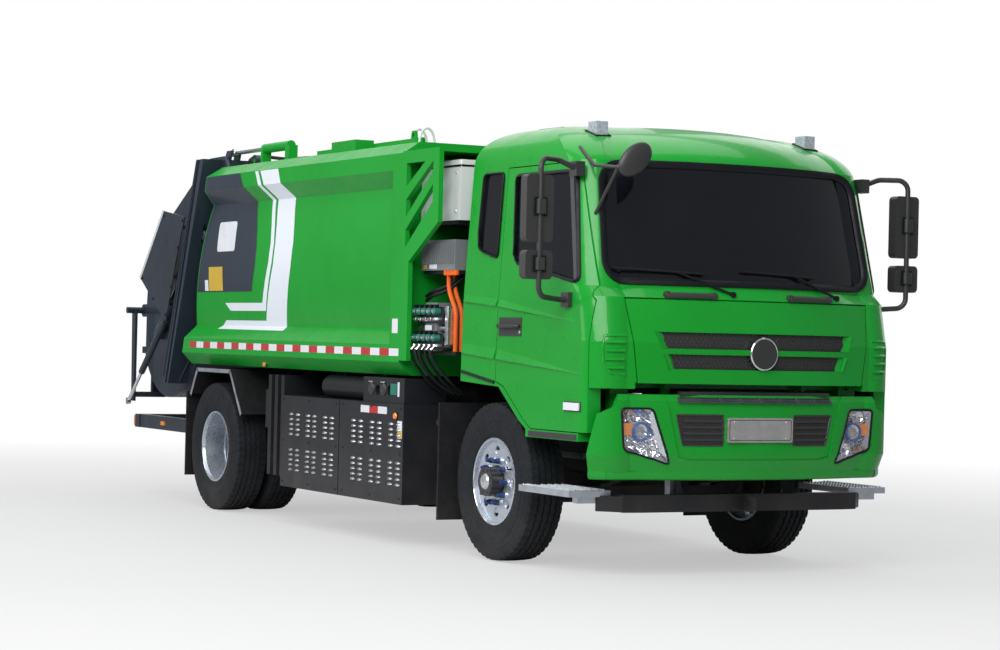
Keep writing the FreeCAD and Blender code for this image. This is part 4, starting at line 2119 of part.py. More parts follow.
def cab_seats():
    """Build the two seats with backs and bases."""
    seats = []
    floor = cab_floor_z + cab_wall + seat_gap
    for y in (seat_centre_y, -seat_centre_y):
        x = fa(seat_row_x)
        base = box(x, x + seat_depth, y - seat_width / 3, y + seat_width / 3, floor, seat_cushion_z)
        cushion = box(x, x + seat_depth, y - seat_width / 2, y + seat_width / 2, seat_cushion_z,
                      seat_cushion_z + seat_cushion_height)
        back = slab_y([(x, seat_cushion_z), (x + seat_back_thickness, seat_cushion_z),
                       (x + seat_back_thickness / 3, seat_cushion_z + seat_back_height),
                       (x - seat_back_thickness / 2, seat_cushion_z + seat_back_height)],
                      y - seat_width / 2, y + seat_width / 2)
        seats.append(fused([base, cushion, back]))
    return Part.makeCompound(seats)


def skin_x(y, z):
    """Return how far forward the cab's skin lies at this place across and up."""
    front, bow, half = hull_at(z)
    edge = half - cab_corner_y
    radius = (edge * edge + bow * bow) / (2 * bow)
    return front - radius + math.sqrt(radius * radius - min(abs(y), edge) ** 2)


def skin_point(y, z, standoff):
    """Return the point this far in front of the cab's skin."""
    return V(fa(skin_x(y, z) + standoff), y, z)


def wipers():
    """Build the two wipers, arms and blades, on their pivots under the windscreen."""
    sets = []
    for y in wiper_pivot_y:
        pivot = skin_point(y, wiper_pivot_z, wiper_standoff)
        elbow = skin_point(y - wiper_arm_reach, wiper_pivot_z + wiper_arm_rise, wiper_standoff)
        heel = skin_point(y - wiper_arm_reach / 2, wiper_pivot_z + wiper_arm_rise - wiper_blade_rise / 2,
                          wiper_standoff)
        tip = skin_point(y - wiper_arm_reach - wiper_blade_reach,
                         wiper_pivot_z + wiper_arm_rise + wiper_blade_rise,
                         wiper_standoff)
        base = V(pivot.x - wiper_standoff * 2, pivot.y, pivot.z)
        sets.append(fused([rod(pivot, elbow, wiper_radius), rod(elbow, tip, wiper_radius),
                           rod(heel, elbow, wiper_radius),
                           rod(base, pivot + V(wiper_radius, 0, 0), wiper_pivot_radius)]))
    return Part.makeCompound([wiper.cut(cab_volume(0)) for wiper in sets])


def roof_lamps():
    """Build the two clear marker lamps on the cab's roof."""
    lamp = box(fa(roof_lamp_x - roof_lamp_length / 2), fa(roof_lamp_x + roof_lamp_length / 2),
               roof_lamp_y - roof_lamp_width / 2, roof_lamp_y + roof_lamp_width / 2,
               roof_lamp_z - overrun * 2,
               roof_lamp_z + roof_lamp_height)
    return both(lamp.cut(cab_volume(0)))


def front_mirror():
    """Build the oval front mirror on its two arms at the right pillar."""
    head = Part.makeSphere(oval_unit)
    scale = FreeCAD.Matrix()
    scale.scale(oval_depth / 2, oval_short / 2, oval_long / 2)
    head = head.transformGeometry(scale)
    head.rotate(V(0, 0, 0), V(1, 0, 0), oval_lean)
    centre = V(fa(oval_mirror_x), -oval_mirror_y, oval_mirror_z)
    head.translate(centre)
    joint = V(fa(oval_joint_x), -oval_joint_y, oval_joint_z)
    low = V(fa(oval_foot_low_x), -oval_foot_low_y, oval_foot_low_z)
    top = V(fa(oval_foot_top_x), -oval_foot_top_y, oval_foot_top_z)
    bend = V(fa(oval_bend_x), -oval_bend_y, oval_bend_z)
    parts = [rod(low, joint, oval_arm_radius), rod(top, bend, oval_arm_radius),
             rod(bend, joint, oval_arm_radius), rod(joint, centre, oval_joint_radius), head]
    for point, radius in ((bend, oval_arm_radius), (joint, oval_joint_radius)):
        knob = Part.makeSphere(radius)
        knob.translate(point)
        parts.append(knob)
    return fused(parts).cut(cab_volume(0))


def front_lid(outer):
    """Build the lid under the windscreen with its two grille slots."""
    lid = outer.cut(cab_volume(lid_thickness)).common(lid_prism(lid_gap))
    for low, high, half in ((grille_middle_z, grille_top_z, grille_upper_half),
                            (grille_bottom_z, grille_low_z, grille_lower_half)):
        slot = slab_x([(half - grille_slant, low), (half, high), (-half, high), (-half + grille_slant, low)],
                      fa(0), fa(front_overhang + overrun))
        lid = lid.cut(slot)
    return lid


def lid_mesh():
    """Build the dark mesh panels behind the lid's slots and the plain round disc."""
    sheet = cab_volume(mesh_inset).cut(cab_volume(mesh_inset + mesh_thickness))
    panels = []
    for low, high, half in ((grille_middle_z, grille_top_z, grille_upper_half),
                            (grille_bottom_z, grille_low_z, grille_lower_half)):
        slot = slab_x([(half - grille_slant - seat_gap, low + seat_gap), (half - seat_gap, high - seat_gap),
                       (-half + seat_gap, high - seat_gap), (-half + grille_slant + seat_gap,
                                                             low + seat_gap)],
                      fa(0), fa(front_overhang + overrun))
        panels.append(sheet.common(slot))
    front = fa(cab_level_front[2])
    disc = rod(V(front - disc_radius, 0, disc_z), V(front + disc_depth, 0, disc_z), disc_radius)
    return Part.makeCompound(panels + [disc.cut(cab_volume(0))])


def ejector_plate():
    """Build the ejector plate that slides through the body."""
    x = fa(ejector_rest_x)
    parts = [box(x, x + ejector_thickness, -ejector_half, ejector_half, ejector_bottom_z, ejector_top_z)]
    pitch = (2 * ejector_half - ejector_rib_width) / (ejector_rib_count - 1)
    for index in range(ejector_rib_count):
        y = -ejector_half + pitch * index
        parts.append(box(x, x - ejector_rib_depth, y, y + ejector_rib_width, ejector_bottom_z, ejector_top_z))
    wall_y = body_panel_y - body_wall - seat_gap
    floor_z = body_floor_z + body_floor_thickness + seat_gap
    for side in (1, -1):
        parts.append(box(x - ejector_rib_depth, x - ejector_rib_depth + ejector_shoe_length, side * wall_y,
                         side * (ejector_half - ejector_rib_width), floor_z, floor_z + ejector_shoe_height))
    return fused(parts)


def write(name, shape):
    """Check one node's solids and export them as its STEP file."""
    solids = shape.Solids
    assert solids and shape.isValid(), name
    shape = solids[0] if len(solids) == 1 else Part.makeCompound(solids)
    shape.exportStep(os.path.join("parts", name + ".step"))
    low, high = shape.BoundBox, shape.BoundBox
    print("%-20s solids %2d  volume %9.4f m3  x %7.0f..%7.0f y %6.0f..%6.0f z %6.0f..%6.0f" % (
        name, len(solids), shape.Volume / 1e9, low.XMin, high.XMax, low.YMin, high.YMax, low.ZMin, high.ZMax))


def main():
    """Build and export every node of the truck."""
    os.makedirs("parts", exist_ok=True)
    outer = cab_volume(0)
    inner = cab_volume(cab_wall)
    write("frame_rails", frame_rails())
    write("front_axle", front_axle())
    write("rear_axle", rear_axle())
    write("leaf_springs", leaf_springs())
    write("drive_motor", drive_motor())
    write("front_bumper", front_bumper())
    write("headlamps", headlamps())
    write("bumper_grilles", bumper_grilles())
    write("underrun_beam", underrun_beam())
    write("entry_steps", entry_steps())
    write("mudguards", mudguards())
    write("battery_boxes", battery_boxes())
    write("charging_box", charging_box())
    write("side_equipment", side_equipment())
    write("rear_bumper", rear_bumper())
    write("marker_lamps", marker_lamps())
    write("refuse_body", refuse_body())
    write("body_fairings", body_fairings())
    write("equipment_rack", equipment_rack())
    write("cooling_box", cooling_box())
    write("valve_stack", valve_stack())
    write("power_cables", power_cables())
    write("roof_fittings", roof_fittings())
    write("lift_rods", lift_rods())
    write("ejector_plate", ejector_plate())
    write("cab_shell", cab_shell(outer, inner))
    glass = [pane(shield_prism(glass_gap))]
    for side in (1, -1):
        glass.append(pane(rounded_side_prism(quarter_outline(glass_gap), side, window_corner)))
    write("cab_glass", Part.makeCompound(glass))
    write("dashboard", dashboard())
    write("cab_seats", cab_seats())
    write("wipers", wipers())
    write("roof_lamps", roof_lamps())
    write("front_mirror", front_mirror())
    for side, name in ((-1, "right"), (1, "left")):
        write("door_" + name, cab_doors(outer, inner, side))
        write("door_glass_" + name, pane(rounded_side_prism(window_outline(glass_gap), side, window_corner)))
        write("mirrors_" + name, mirror_set(side))
        write("knuckle_" + name, knuckle(side))
        write("wheel_front_" + name, front_wheel(side))
        write("wheel_rear_" + name, rear_wheel(side))
        write("tyre_front_" + name, tyre(0, side * front_tyre_y))
        twins = [tyre(rear_axle_x, side * rear_outer_tyre_y),
                 tyre(rear_axle_x, side * (rear_outer_tyre_y - twin_spacing))]
        write("tyres_rear_" + name, Part.makeCompound(twins))
    write("front_lid", front_lid(outer))
    write("lid_mesh", lid_mesh())
    write("tailgate_shell", tailgate_shell())
    write("guard_plates", guard_plates())
    write("slide_plate", slide_plate())
    write("packer_blade", packer_blade())
    write("bin_lifter", bin_lifter())
    write("bin_barrels", bin_barrels())
    write("bin_rods", bin_rods())


if __name__ == "__main__":
    main()
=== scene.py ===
"""Electric rear-loading refuse truck: finishes and fittings around its CAD frame."""

import logging
import math
from dataclasses import dataclass
from enum import Enum
from functools import partial
from typing import Callable, Optional, Sequence

import bmesh
import bpy
from mathutils import Matrix, Vector
from mathutils.bvhtree import BVHTree


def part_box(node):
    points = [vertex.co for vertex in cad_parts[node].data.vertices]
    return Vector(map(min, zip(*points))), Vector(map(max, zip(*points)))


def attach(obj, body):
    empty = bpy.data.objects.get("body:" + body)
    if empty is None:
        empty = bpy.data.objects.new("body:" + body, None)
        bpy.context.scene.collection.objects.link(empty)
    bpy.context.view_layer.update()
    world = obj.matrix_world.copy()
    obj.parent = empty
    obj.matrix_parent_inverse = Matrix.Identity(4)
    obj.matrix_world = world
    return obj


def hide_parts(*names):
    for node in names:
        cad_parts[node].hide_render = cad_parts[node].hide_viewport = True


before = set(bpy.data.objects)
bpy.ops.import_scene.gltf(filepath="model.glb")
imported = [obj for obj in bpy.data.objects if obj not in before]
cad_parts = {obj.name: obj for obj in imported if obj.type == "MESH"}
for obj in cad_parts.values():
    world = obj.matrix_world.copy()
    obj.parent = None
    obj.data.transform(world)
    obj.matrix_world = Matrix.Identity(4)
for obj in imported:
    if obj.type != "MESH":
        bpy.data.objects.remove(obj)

Point = Sequence[float]
Flat = tuple[float, float]
Colour = tuple[float, float, float]
Floats = tuple[float, ...]
Flats = tuple[Flat, ...]
Span = tuple[Flat, Flat]
Triple = tuple[float, float, float]
Sheet = Sequence[Sequence[Point]]

LOG = logging.getLogger("refuse_truck")
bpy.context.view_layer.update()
FRONT_AXLE_X = 2.775
REAR_AXLE_X = -1.725
AXLE_Z = 0.518
SIDES = (-1, 1)
SHARP_ANGLE = math.radians(32)
PLAIN_WHITE = (1.0, 1.0, 1.0, 1.0)


class Body(Enum):
    """The moving bodies of the truck that pieces ride on."""

    CHASSIS = "chassis"
    CAB = "cab"
    DOOR_RIGHT = "door_right"
    DOOR_LEFT = "door_left"
    LID = "lid"
    WHEEL_FRONT_RIGHT = "wheel_front_right"
    WHEEL_FRONT_LEFT = "wheel_front_left"
    WHEEL_REAR_RIGHT = "wheel_rear_right"
    WHEEL_REAR_LEFT = "wheel_rear_left"
    TAILGATE = "tailgate"


class Slot(Enum):
    """The record's material slots."""

    GREEN = "green_paint"
    DARK = "dark_paint"
    BLACK = "black_frame"
    SILVER = "silver_wheel"
    TYRE = "tyre"
    LAMP = "lamp_glass"
    PLASTIC = "black_plastic"
    RUBBER = "rubber"
    STEP = "step_metal"
    WHITE = "white_box"
    GREY = "grey_box"
    CHROME = "chrome_rod"
    FABRIC = "seat_fabric"
    AMBER = "amber_lamp"


class Axis(Enum):
    """A direction of the frame."""

    X = 0
    Y = 1
    Z = 2


def side_word(side: int) -> str:
    """Return the name of one side of the truck."""
    return "right" if side < 0 else "left"


def side_body(stem: str, side: int) -> Body:
    """Return the body of one side, such as its door."""
    return Body(f"{stem}_{side_word(side)}")


def evenly(start: float, end: float, gaps: int) -> list[float]:
    """Return places from the start to the end with as many equal gaps between them."""
    return [start + (end - start) * step / gaps for step in range(gaps + 1)]


def turns(count: int, shift: float = 0.0) -> list[float]:
    """Return angles in radians spaced evenly around a full turn, moved by a share of their pitch."""
    return [2 * math.pi * (step + shift) / count for step in range(count)]


# Finishes


class NodeBoard:
    """Wires the nodes of one procedural material around its shader."""

    def __init__(self, name: str) -> None:
        """Start a material that is placed by object coordinates."""
        self.material = bpy.data.materials.new(name)
        self.material.use_nodes = True
        self.nodes = self.material.node_tree.nodes
        self.links = self.material.node_tree.links
        self.shader = self.nodes["Principled BSDF"]
        self.place = self.nodes.new("ShaderNodeTexCoord").outputs["Object"]

    def feed(self, socket: bpy.types.NodeSocket, value: object) -> None:
        """Link a socket to another one, or set its value."""
        if isinstance(value, bpy.types.NodeSocket):
            self.links.new(value, socket)
        elif isinstance(value, tuple) and len(value) == 3 and socket.type == "RGBA":
            socket.default_value = (*value, 1.0)
        else:
            socket.default_value = value

    def put(self, **values: object) -> None:
        """Set the shader's sockets, named with underscores for spaces."""
        for name, value in values.items():
            self.feed(self.shader.inputs[name.replace("_", " ")], value)

    def vector(self, operation: str, second: Optional[Point] = None) -> bpy.types.Node:
        """Return a vector math node that works on the object coordinates."""
        node = self.nodes.new("ShaderNodeVectorMath")
        node.operation = operation
        self.links.new(self.place, node.inputs[0])
        if second is not None:
            node.inputs[1].default_value = tuple(second)
        return node

    def noise(self, scale: float, detail: float = 3.0, stretch: Point = (1, 1, 1)) -> bpy.types.NodeSocket:
        """Return a cloudy value.

        Args:
            scale: How many clouds a metre holds.
            detail: How many finer layers are added.
            stretch: The scale along each direction.

        Returns:
            The value's socket.
        """
        node = self.nodes.new("ShaderNodeTexNoise")
        self.links.new(self.vector("MULTIPLY", stretch).outputs[0], node.inputs["Vector"])
        node.inputs["Scale"].default_value = scale
        node.inputs["Detail"].default_value = detail
        return node.outputs[0]

    def cells(self, scale: float) -> bpy.types.NodeSocket:
        """Return the distance to the nearest of many scattered cell centres."""
        node = self.nodes.new("ShaderNodeTexVoronoi")
        self.links.new(self.vector("MULTIPLY", (1, 1, 1)).outputs[0], node.inputs["Vector"])
        node.inputs["Scale"].default_value = scale
        return node.outputs["Distance"]

    def axis(self, axis: Axis) -> bpy.types.NodeSocket:
        """Return one object coordinate."""
        node = self.nodes.new("ShaderNodeSeparateXYZ")
        self.links.new(self.place, node.inputs[0])
        return node.outputs[axis.value]

    def calc(self, operation: str, first: object, second: object = 0.0) -> bpy.types.NodeSocket:
        """Return the result of a math node."""
        node = self.nodes.new("ShaderNodeMath")
        node.operation = operation
        self.feed(node.inputs[0], first)
        self.feed(node.inputs[1], second)
        return node.outputs[0]

    def ramp(self, value: bpy.types.NodeSocket, low: float, high: float, start: float = 0.0,
             end: float = 1.0) -> bpy.types.NodeSocket:
        """Return the value moved from low..high to start..end, and held at the ends."""
        node = self.nodes.new("ShaderNodeMapRange")
        self.links.new(value, node.inputs[0])
        for index, number in enumerate((low, high, start, end), start=1):
            node.inputs[index].default_value = number
        return node.outputs[0]

    def patchy(self, scale: float, detail: float, limits: Flat) -> bpy.types.NodeSocket:
        """Return a value that wanders between two limits, as roughness does."""
        return self.ramp(self.noise(scale, detail), 0.3, 0.7, *limits)

    def mix(self, factor: object, first: object, second: object) -> bpy.types.NodeSocket:
        """Return a colour between two others."""
        node = self.nodes.new("ShaderNodeMix")
        node.data_type = "RGBA"
        for index, value in ((0, factor), (6, first), (7, second)):
            self.feed(node.inputs[index], value)
        return node.outputs[2]

    def relief(self, height: bpy.types.NodeSocket, strength: float, distance: float = 0.001) -> None:
        """Raise the surface's normal by a height."""
        node = self.nodes.new("ShaderNodeBump")
        node.inputs["Strength"].default_value = strength
        node.inputs["Distance"].default_value = distance
        self.links.new(height, node.inputs["Height"])
        self.links.new(node.outputs[0], self.shader.inputs["Normal"])

    def dusted(self, colour: object, dust: Colour, top: float, share: float) -> bpy.types.NodeSocket:
        """Return the colour under road dust that thins out towards a height.

        Args:
            colour: The clean colour.
            dust: The dust's colour.
            top: The height in metres at which no dust is left.
            share: The part of the dust's colour that shows at the ground.

        Returns:
            The mixed colour's socket.
        """
        low = self.ramp(self.axis(Axis.Z), 0.0, top, share, 0.0)
        cloud = self.ramp(self.noise(5.0, 5.0), 0.35, 0.75, 0.25, 1.0)
        return self.mix(self.calc("MULTIPLY", low, cloud), colour, dust)


def white_for_camera(tree: bpy.types.NodeTree, kind: str, share: Optional[bpy.types.NodeSocket] = None) -> None:
    """Mix plain white over what a node tree gives out, in the camera's own sight only.

    Args:
        tree: The nodes of the floor or of the world.
        kind: The type of the node that gives the white.
        share: How much white is mixed in, or None for all of it.
    """
    surface = next(node for node in tree.nodes if node.type.startswith("OUTPUT")).inputs["Surface"]
    seen = tree.nodes.new("ShaderNodeLightPath").outputs["Is Camera Ray"]
    if share is not None:
        product = tree.nodes.new("ShaderNodeMath")
        product.operation = "MULTIPLY"
        tree.links.new(share, product.inputs[0])
        tree.links.new(seen, product.inputs[1])
        seen = product.outputs[0]
    white = tree.nodes.new(kind)
    white.inputs["Color"].default_value = PLAIN_WHITE
    white.inputs["Strength"].default_value = 1.0
    mixer = tree.nodes.new("ShaderNodeMixShader")
    for index, socket in enumerate((seen, surface.links[0].from_socket, white.outputs[0])):
        tree.links.new(socket, mixer.inputs[index])
    tree.links.new(mixer.outputs[0], surface)


@dataclass(frozen=True)
class Finish:
    """A look that pieces share, by name."""

    name: str
    colour: Colour
    specular: float = 0.25

    def wire(self, board: NodeBoard) -> None:
        """Wire the look's nodes; each kind of finish does this in its own way."""
        raise NotImplementedError

    def material(self) -> bpy.types.Material:
        """Return the look's material, made once."""
        found = bpy.data.materials.get(self.name)
        if found is None:
            board = NodeBoard(self.name)
            self.wire(board)
            found = board.material
        return found


@dataclass(frozen=True)
class Paint(Finish):
    """Sprayed paint with a fine ripple, a little fading and road dust low down."""

    faded: Colour = (0.1, 0.1, 0.1)
    gloss: Flat = (0.24, 0.38)
    coat: float = 0.4
    dust: Colour = (0.16, 0.14, 0.12)
    dust_share: float = 0.16
    dust_top: float = 1.3

    def wire(self, board: NodeBoard) -> None:
        """Wire the paint's nodes."""
        cloud = board.ramp(board.noise(0.9, 4.0), 0.3, 0.75)
        colour = board.mix(cloud, self.colour, self.faded)
        board.put(
            Base_Color=board.dusted(colour, self.dust, self.dust_top, self.dust_share),
            Roughness=board.patchy(7.0, 5.0, self.gloss),
            Specular_IOR_Level=self.specular,
            Coat_Weight=self.coat,
            Coat_Roughness=0.06,
        )
        board.relief(board.noise(110.0, 2.0), 0.012)


@dataclass(frozen=True)
class Metal(Finish):
    """Bare or plated metal with fine scratches along one direction."""

    stained: Colour = (0.2, 0.2, 0.2)
    gloss: Flat = (0.22, 0.4)
    grain: Point = (1.0, 1.0, 1.0)
    grain_scale: float = 160.0
    grain_depth: float = 0.1

    def wire(self, board: NodeBoard) -> None:
        """Wire the metal's nodes."""
        stain = board.ramp(board.noise(11.0, 6.0), 0.45, 0.8)
        board.put(
            Base_Color=board.mix(stain, self.colour, self.stained),
            Metallic=0.92,
            Roughness=board.ramp(board.noise(23.0, 5.0), 0.3, 0.72, *self.gloss),
        )
        board.relief(board.noise(self.grain_scale, 3.0, self.grain), self.grain_depth)


@dataclass(frozen=True)
class WheelPaint(Metal):
    """Silver wheel enamel with a dark hub, random stains and painted shade on the rim's inner parts."""

    axle_x: float = FRONT_AXLE_X
    hub_radius: float = 0.105
    # The hub's own colour, and also the painted shade on the rim's inner parts.
    dark: Colour = (0.03, 0.031, 0.033)

    def wire(self, board: NodeBoard) -> None:
        """Wire the enamel's nodes by their distance from the axle."""
        reaches = [board.calc("SUBTRACT", board.axis(axis), middle)
                   for axis, middle in ((Axis.X, self.axle_x), (Axis.Z, AXLE_Z))]
        squares = [board.calc("MULTIPLY", reach, reach) for reach in reaches]
        radius = board.calc("SQRT", board.calc("ADD", *squares))
        hub = board.ramp(radius, self.hub_radius, self.hub_radius + 0.003, 1.0, 0.0)
        # Painted shade: the rim's parts nearer the truck's middle are darkened towards the dark colour.
        inner_shade = board.ramp(board.calc("ABSOLUTE", board.axis(Axis.Y)), 0.86, 0.93, 0.55, 0.0)
        stain = board.ramp(board.noise(9.0, 6.0), 0.4, 0.8, 0.0, 0.5)
        shaded = board.mix(inner_shade, board.mix(stain, self.colour, self.stained), self.dark)
        board.put(
            Base_Color=board.mix(hub, shaded, self.dark),
            Metallic=board.calc("MULTIPLY", board.calc("SUBTRACT", 1.0, hub), 0.75),
            Roughness=board.patchy(30.0, 4.0, self.gloss),
        )
        board.relief(board.noise(self.grain_scale, 2.0), self.grain_depth)


@dataclass(frozen=True)
class Rubber(Finish):
    """Dull rubber with dust in its grain."""

    dusty: Colour = (0.09, 0.085, 0.08)
    gloss: Flat = (0.62, 0.85)
    dust: Colour = (0.13, 0.12, 0.11)
    dust_top: float = 0.5
    dust_share: float = 0.3

    def wire(self, board: NodeBoard) -> None:
        """Wire the rubber's nodes."""
        cloud = board.ramp(board.noise(14.0, 7.0), 0.4, 0.8, 0.0, 0.6)
        colour = board.mix(cloud, self.colour, self.dusty)
        board.put(
            Base_Color=board.dusted(colour, self.dust, self.dust_top, self.dust_share),
            Roughness=board.patchy(60.0, 4.0, self.gloss),
            Specular_IOR_Level=self.specular,
        )
        board.relief(board.noise(420.0, 4.0), 0.25)


@dataclass(frozen=True)
class Plastic(Finish):
    """Moulded plastic with a leather-like grain."""

    pale: Colour = (0.06, 0.06, 0.062)
    gloss: Flat = (0.38, 0.55)
    grain_scale: float = 520.0
    coat: float = 0.0

    def wire(self, board: NodeBoard) -> None:
        """Wire the plastic's nodes."""
        board.put(
            Base_Color=board.mix(board.ramp(board.noise(8.0, 5.0), 0.4, 0.8), self.colour, self.pale),
            Roughness=board.patchy(35.0, 4.0, self.gloss),
            Specular_IOR_Level=self.specular,
            Coat_Weight=self.coat,
            Coat_Roughness=0.06,
        )
        board.relief(board.cells(self.grain_scale), 0.2, 0.0006)


@dataclass(frozen=True)
class Glass(Finish):
    """Glazing: a tinted pane, or a clear cover where the share of light let through is high."""

    hazy: Colour = (0.06, 0.065, 0.07)
    clear_share: float = 0.1
    roughness: float = 0.03

    def wire(self, board: NodeBoard) -> None:
        """Wire the glass's nodes."""
        haze = board.ramp(board.noise(3.0, 5.0), 0.45, 0.8, 0.0, 0.5)
        board.put(
            Base_Color=board.mix(haze, self.colour, self.hazy),
            Roughness=board.ramp(board.noise(12.0, 4.0), 0.35, 0.7, self.roughness, self.roughness + 0.05),
            IOR=1.5,
            Alpha=1.0 - self.clear_share,
            Coat_Weight=0.0,
            Coat_Roughness=0.02,
        )
        board.relief(board.noise(1.6, 1.0), 0.03, 0.01)


@dataclass(frozen=True)
class Reflector(Finish):
    """Prismatic sheet or lens plastic with a fine honeycomb under its surface and a painted glint in its cells."""

    glint: Colour = (1.0, 1.0, 1.0)
    cell_scale: float = 240.0

    def wire(self, board: NodeBoard) -> None:
        """Wire the sheet's nodes."""
        cell = board.cells(self.cell_scale)
        # Painted glint: away from each cell's centre the colour turns towards the brighter glint colour.
        board.put(
            Base_Color=board.mix(board.ramp(cell, 0.1, 0.6, 0.0, 0.55), self.colour, self.glint),
            Roughness=board.ramp(cell, 0.1, 0.6, 0.12, 0.3),
            Coat_Weight=0.7,
            Coat_Roughness=0.05,
        )
        board.relief(cell, 0.15)


@dataclass(frozen=True)
class Fabric(Finish):
    """Woven seat cloth."""

    thread: Colour = (0.2, 0.2, 0.21)
    weave_scale: float = 380.0

    def wire(self, board: NodeBoard) -> None:
        """Wire the weave's nodes."""
        weave = []
        for direction in ("X", "Z"):
            node = board.nodes.new("ShaderNodeTexWave")
            node.bands_direction = direction
            board.links.new(board.place, node.inputs["Vector"])
            node.inputs["Scale"].default_value = self.weave_scale
            weave.append(node.outputs["Fac"])
        both = board.calc("MAXIMUM", *weave)
        board.put(
            Base_Color=board.mix(both, self.colour, self.thread),
            Roughness=board.patchy(40.0, 3.0, (0.8, 0.95)),
            Sheen_Weight=0.3,
        )
        board.relief(both, 0.4, 0.0008)


GREEN = Paint("cab_green", (0.003, 0.285, 0.018), faded=(0.006, 0.325, 0.03), dust_share=0.05)
BODY_GREEN = Paint("body_green", (0.003, 0.285, 0.018), faded=(0.006, 0.325, 0.03), gloss=(0.36, 0.5), coat=0.12,
                   dust_share=0.06)
# A darker copy of the cab green: painted shade for the grooves of the roof seams.
SEAM_SHADE_GREEN = Paint("painted_seam_shade", (0.004, 0.15, 0.014), faded=(0.006, 0.19, 0.022), coat=0.2)
SLATE = Paint("slate_paint", (0.016, 0.024, 0.036), faded=(0.026, 0.037, 0.052), gloss=(0.26, 0.44), coat=0.3)
DECAL_SLATE = Paint("slate_film", (0.026, 0.036, 0.054), faded=(0.034, 0.045, 0.065), gloss=(0.32, 0.45),
                    coat=0.15)
DECAL_WHITE = Paint("white_film", (0.74, 0.78, 0.86), faded=(0.8, 0.84, 0.9), gloss=(0.3, 0.42), coat=0.15)
CHASSIS_BLACK = Paint("chassis_black", (0.006, 0.007, 0.009), faded=(0.013, 0.014, 0.017), gloss=(0.4, 0.6),
                      coat=0.1, dust_share=0.2)
BOX_BLACK = Paint("box_black", (0.009, 0.01, 0.013), faded=(0.015, 0.016, 0.02), gloss=(0.32, 0.5), coat=0.2)
BOX_WHITE = Paint("box_white", (0.66, 0.68, 0.68), faded=(0.55, 0.57, 0.58), gloss=(0.35, 0.5))
BOX_GREY = Paint("box_grey", (0.13, 0.14, 0.15), faded=(0.2, 0.21, 0.22), gloss=(0.4, 0.6), coat=0.1)
CAST = Paint("cast_iron", (0.014, 0.014, 0.015), faded=(0.03, 0.029, 0.028), gloss=(0.55, 0.8), coat=0.0,
             dust_share=0.35)
SPRING = Metal("spring_leaf", (0.06, 0.06, 0.064), stained=(0.08, 0.06, 0.05), gloss=(0.45, 0.7))
STEEL = Metal("bright_steel", (0.72, 0.73, 0.75), stained=(0.55, 0.56, 0.58), gloss=(0.18, 0.34))
CHROME = Metal("chrome_plate", (0.85, 0.86, 0.88), stained=(0.7, 0.71, 0.74), gloss=(0.05, 0.14), grain_depth=0.02)
LAMP_SILVER = Metal("lamp_silver", (0.86, 0.88, 0.92), stained=(0.6, 0.62, 0.68), gloss=(0.03, 0.1),
                    grain_depth=0.02)
ALUMINIUM = Metal("tread_aluminium", (0.6, 0.63, 0.68), stained=(0.45, 0.47, 0.5), gloss=(0.28, 0.45))
WORN = Metal("scoured_steel", (0.3, 0.29, 0.28), stained=(0.18, 0.12, 0.08), gloss=(0.35, 0.6),
             grain=(0.3, 2.0, 2.0), grain_depth=0.25)
PLATE = Metal("plate_silver", (0.62, 0.6, 0.58), stained=(0.52, 0.5, 0.49), gloss=(0.35, 0.5))
MIRROR = Metal("mirror_glass", (0.9, 0.91, 0.93), stained=(0.85, 0.86, 0.88), gloss=(0.02, 0.06), grain_depth=0.0)
FRONT_WHEEL = WheelPaint("front_wheel_enamel", (0.6, 0.66, 0.74), stained=(0.45, 0.49, 0.55))
REAR_WHEEL = WheelPaint("rear_wheel_enamel", (0.58, 0.63, 0.7), stained=(0.42, 0.46, 0.52), axle_x=REAR_AXLE_X,
                        hub_radius=0.118)
TYRE = Rubber("tyre_rubber", (0.009, 0.011, 0.014), dusty=(0.02, 0.023, 0.027))
RUBBER = Rubber("flap_rubber", (0.009, 0.009, 0.011), dusty=(0.022, 0.022, 0.022))
SEAL = Rubber("seal_rubber", (0.005, 0.006, 0.008), dusty=(0.01, 0.011, 0.013), gloss=(0.35, 0.55))
PLASTIC = Plastic("black_plastic", (0.007, 0.008, 0.011), pale=(0.012, 0.014, 0.018))
STEP_GREY = Plastic("step_grey", (0.045, 0.05, 0.06), pale=(0.07, 0.076, 0.088))
TRIM_GREY = Plastic("cab_trim", (0.04, 0.04, 0.044), pale=(0.06, 0.06, 0.065), gloss=(0.5, 0.7))
BLUE_PLASTIC = Plastic("blue_cap", (0.012, 0.035, 0.13), pale=(0.018, 0.055, 0.18), coat=0.3)
BLUE_RING = Plastic("blue_ring", (0.02, 0.09, 0.36), pale=(0.03, 0.12, 0.42), coat=0.3)
COIL_GREEN = Plastic("coil_green", (0.02, 0.16, 0.12), pale=(0.03, 0.2, 0.15), coat=0.2)
ORANGE = Plastic("orange_sleeve", (0.8, 0.13, 0.015), pale=(0.7, 0.1, 0.012), grain_scale=260.0)
YELLOW = Plastic("yellow_label", (0.62, 0.42, 0.05), pale=(0.56, 0.36, 0.04), gloss=(0.35, 0.5), coat=0.2)
WHITE_LABEL = Plastic("white_label", (0.74, 0.76, 0.8), pale=(0.66, 0.68, 0.72), gloss=(0.35, 0.5), coat=0.2)
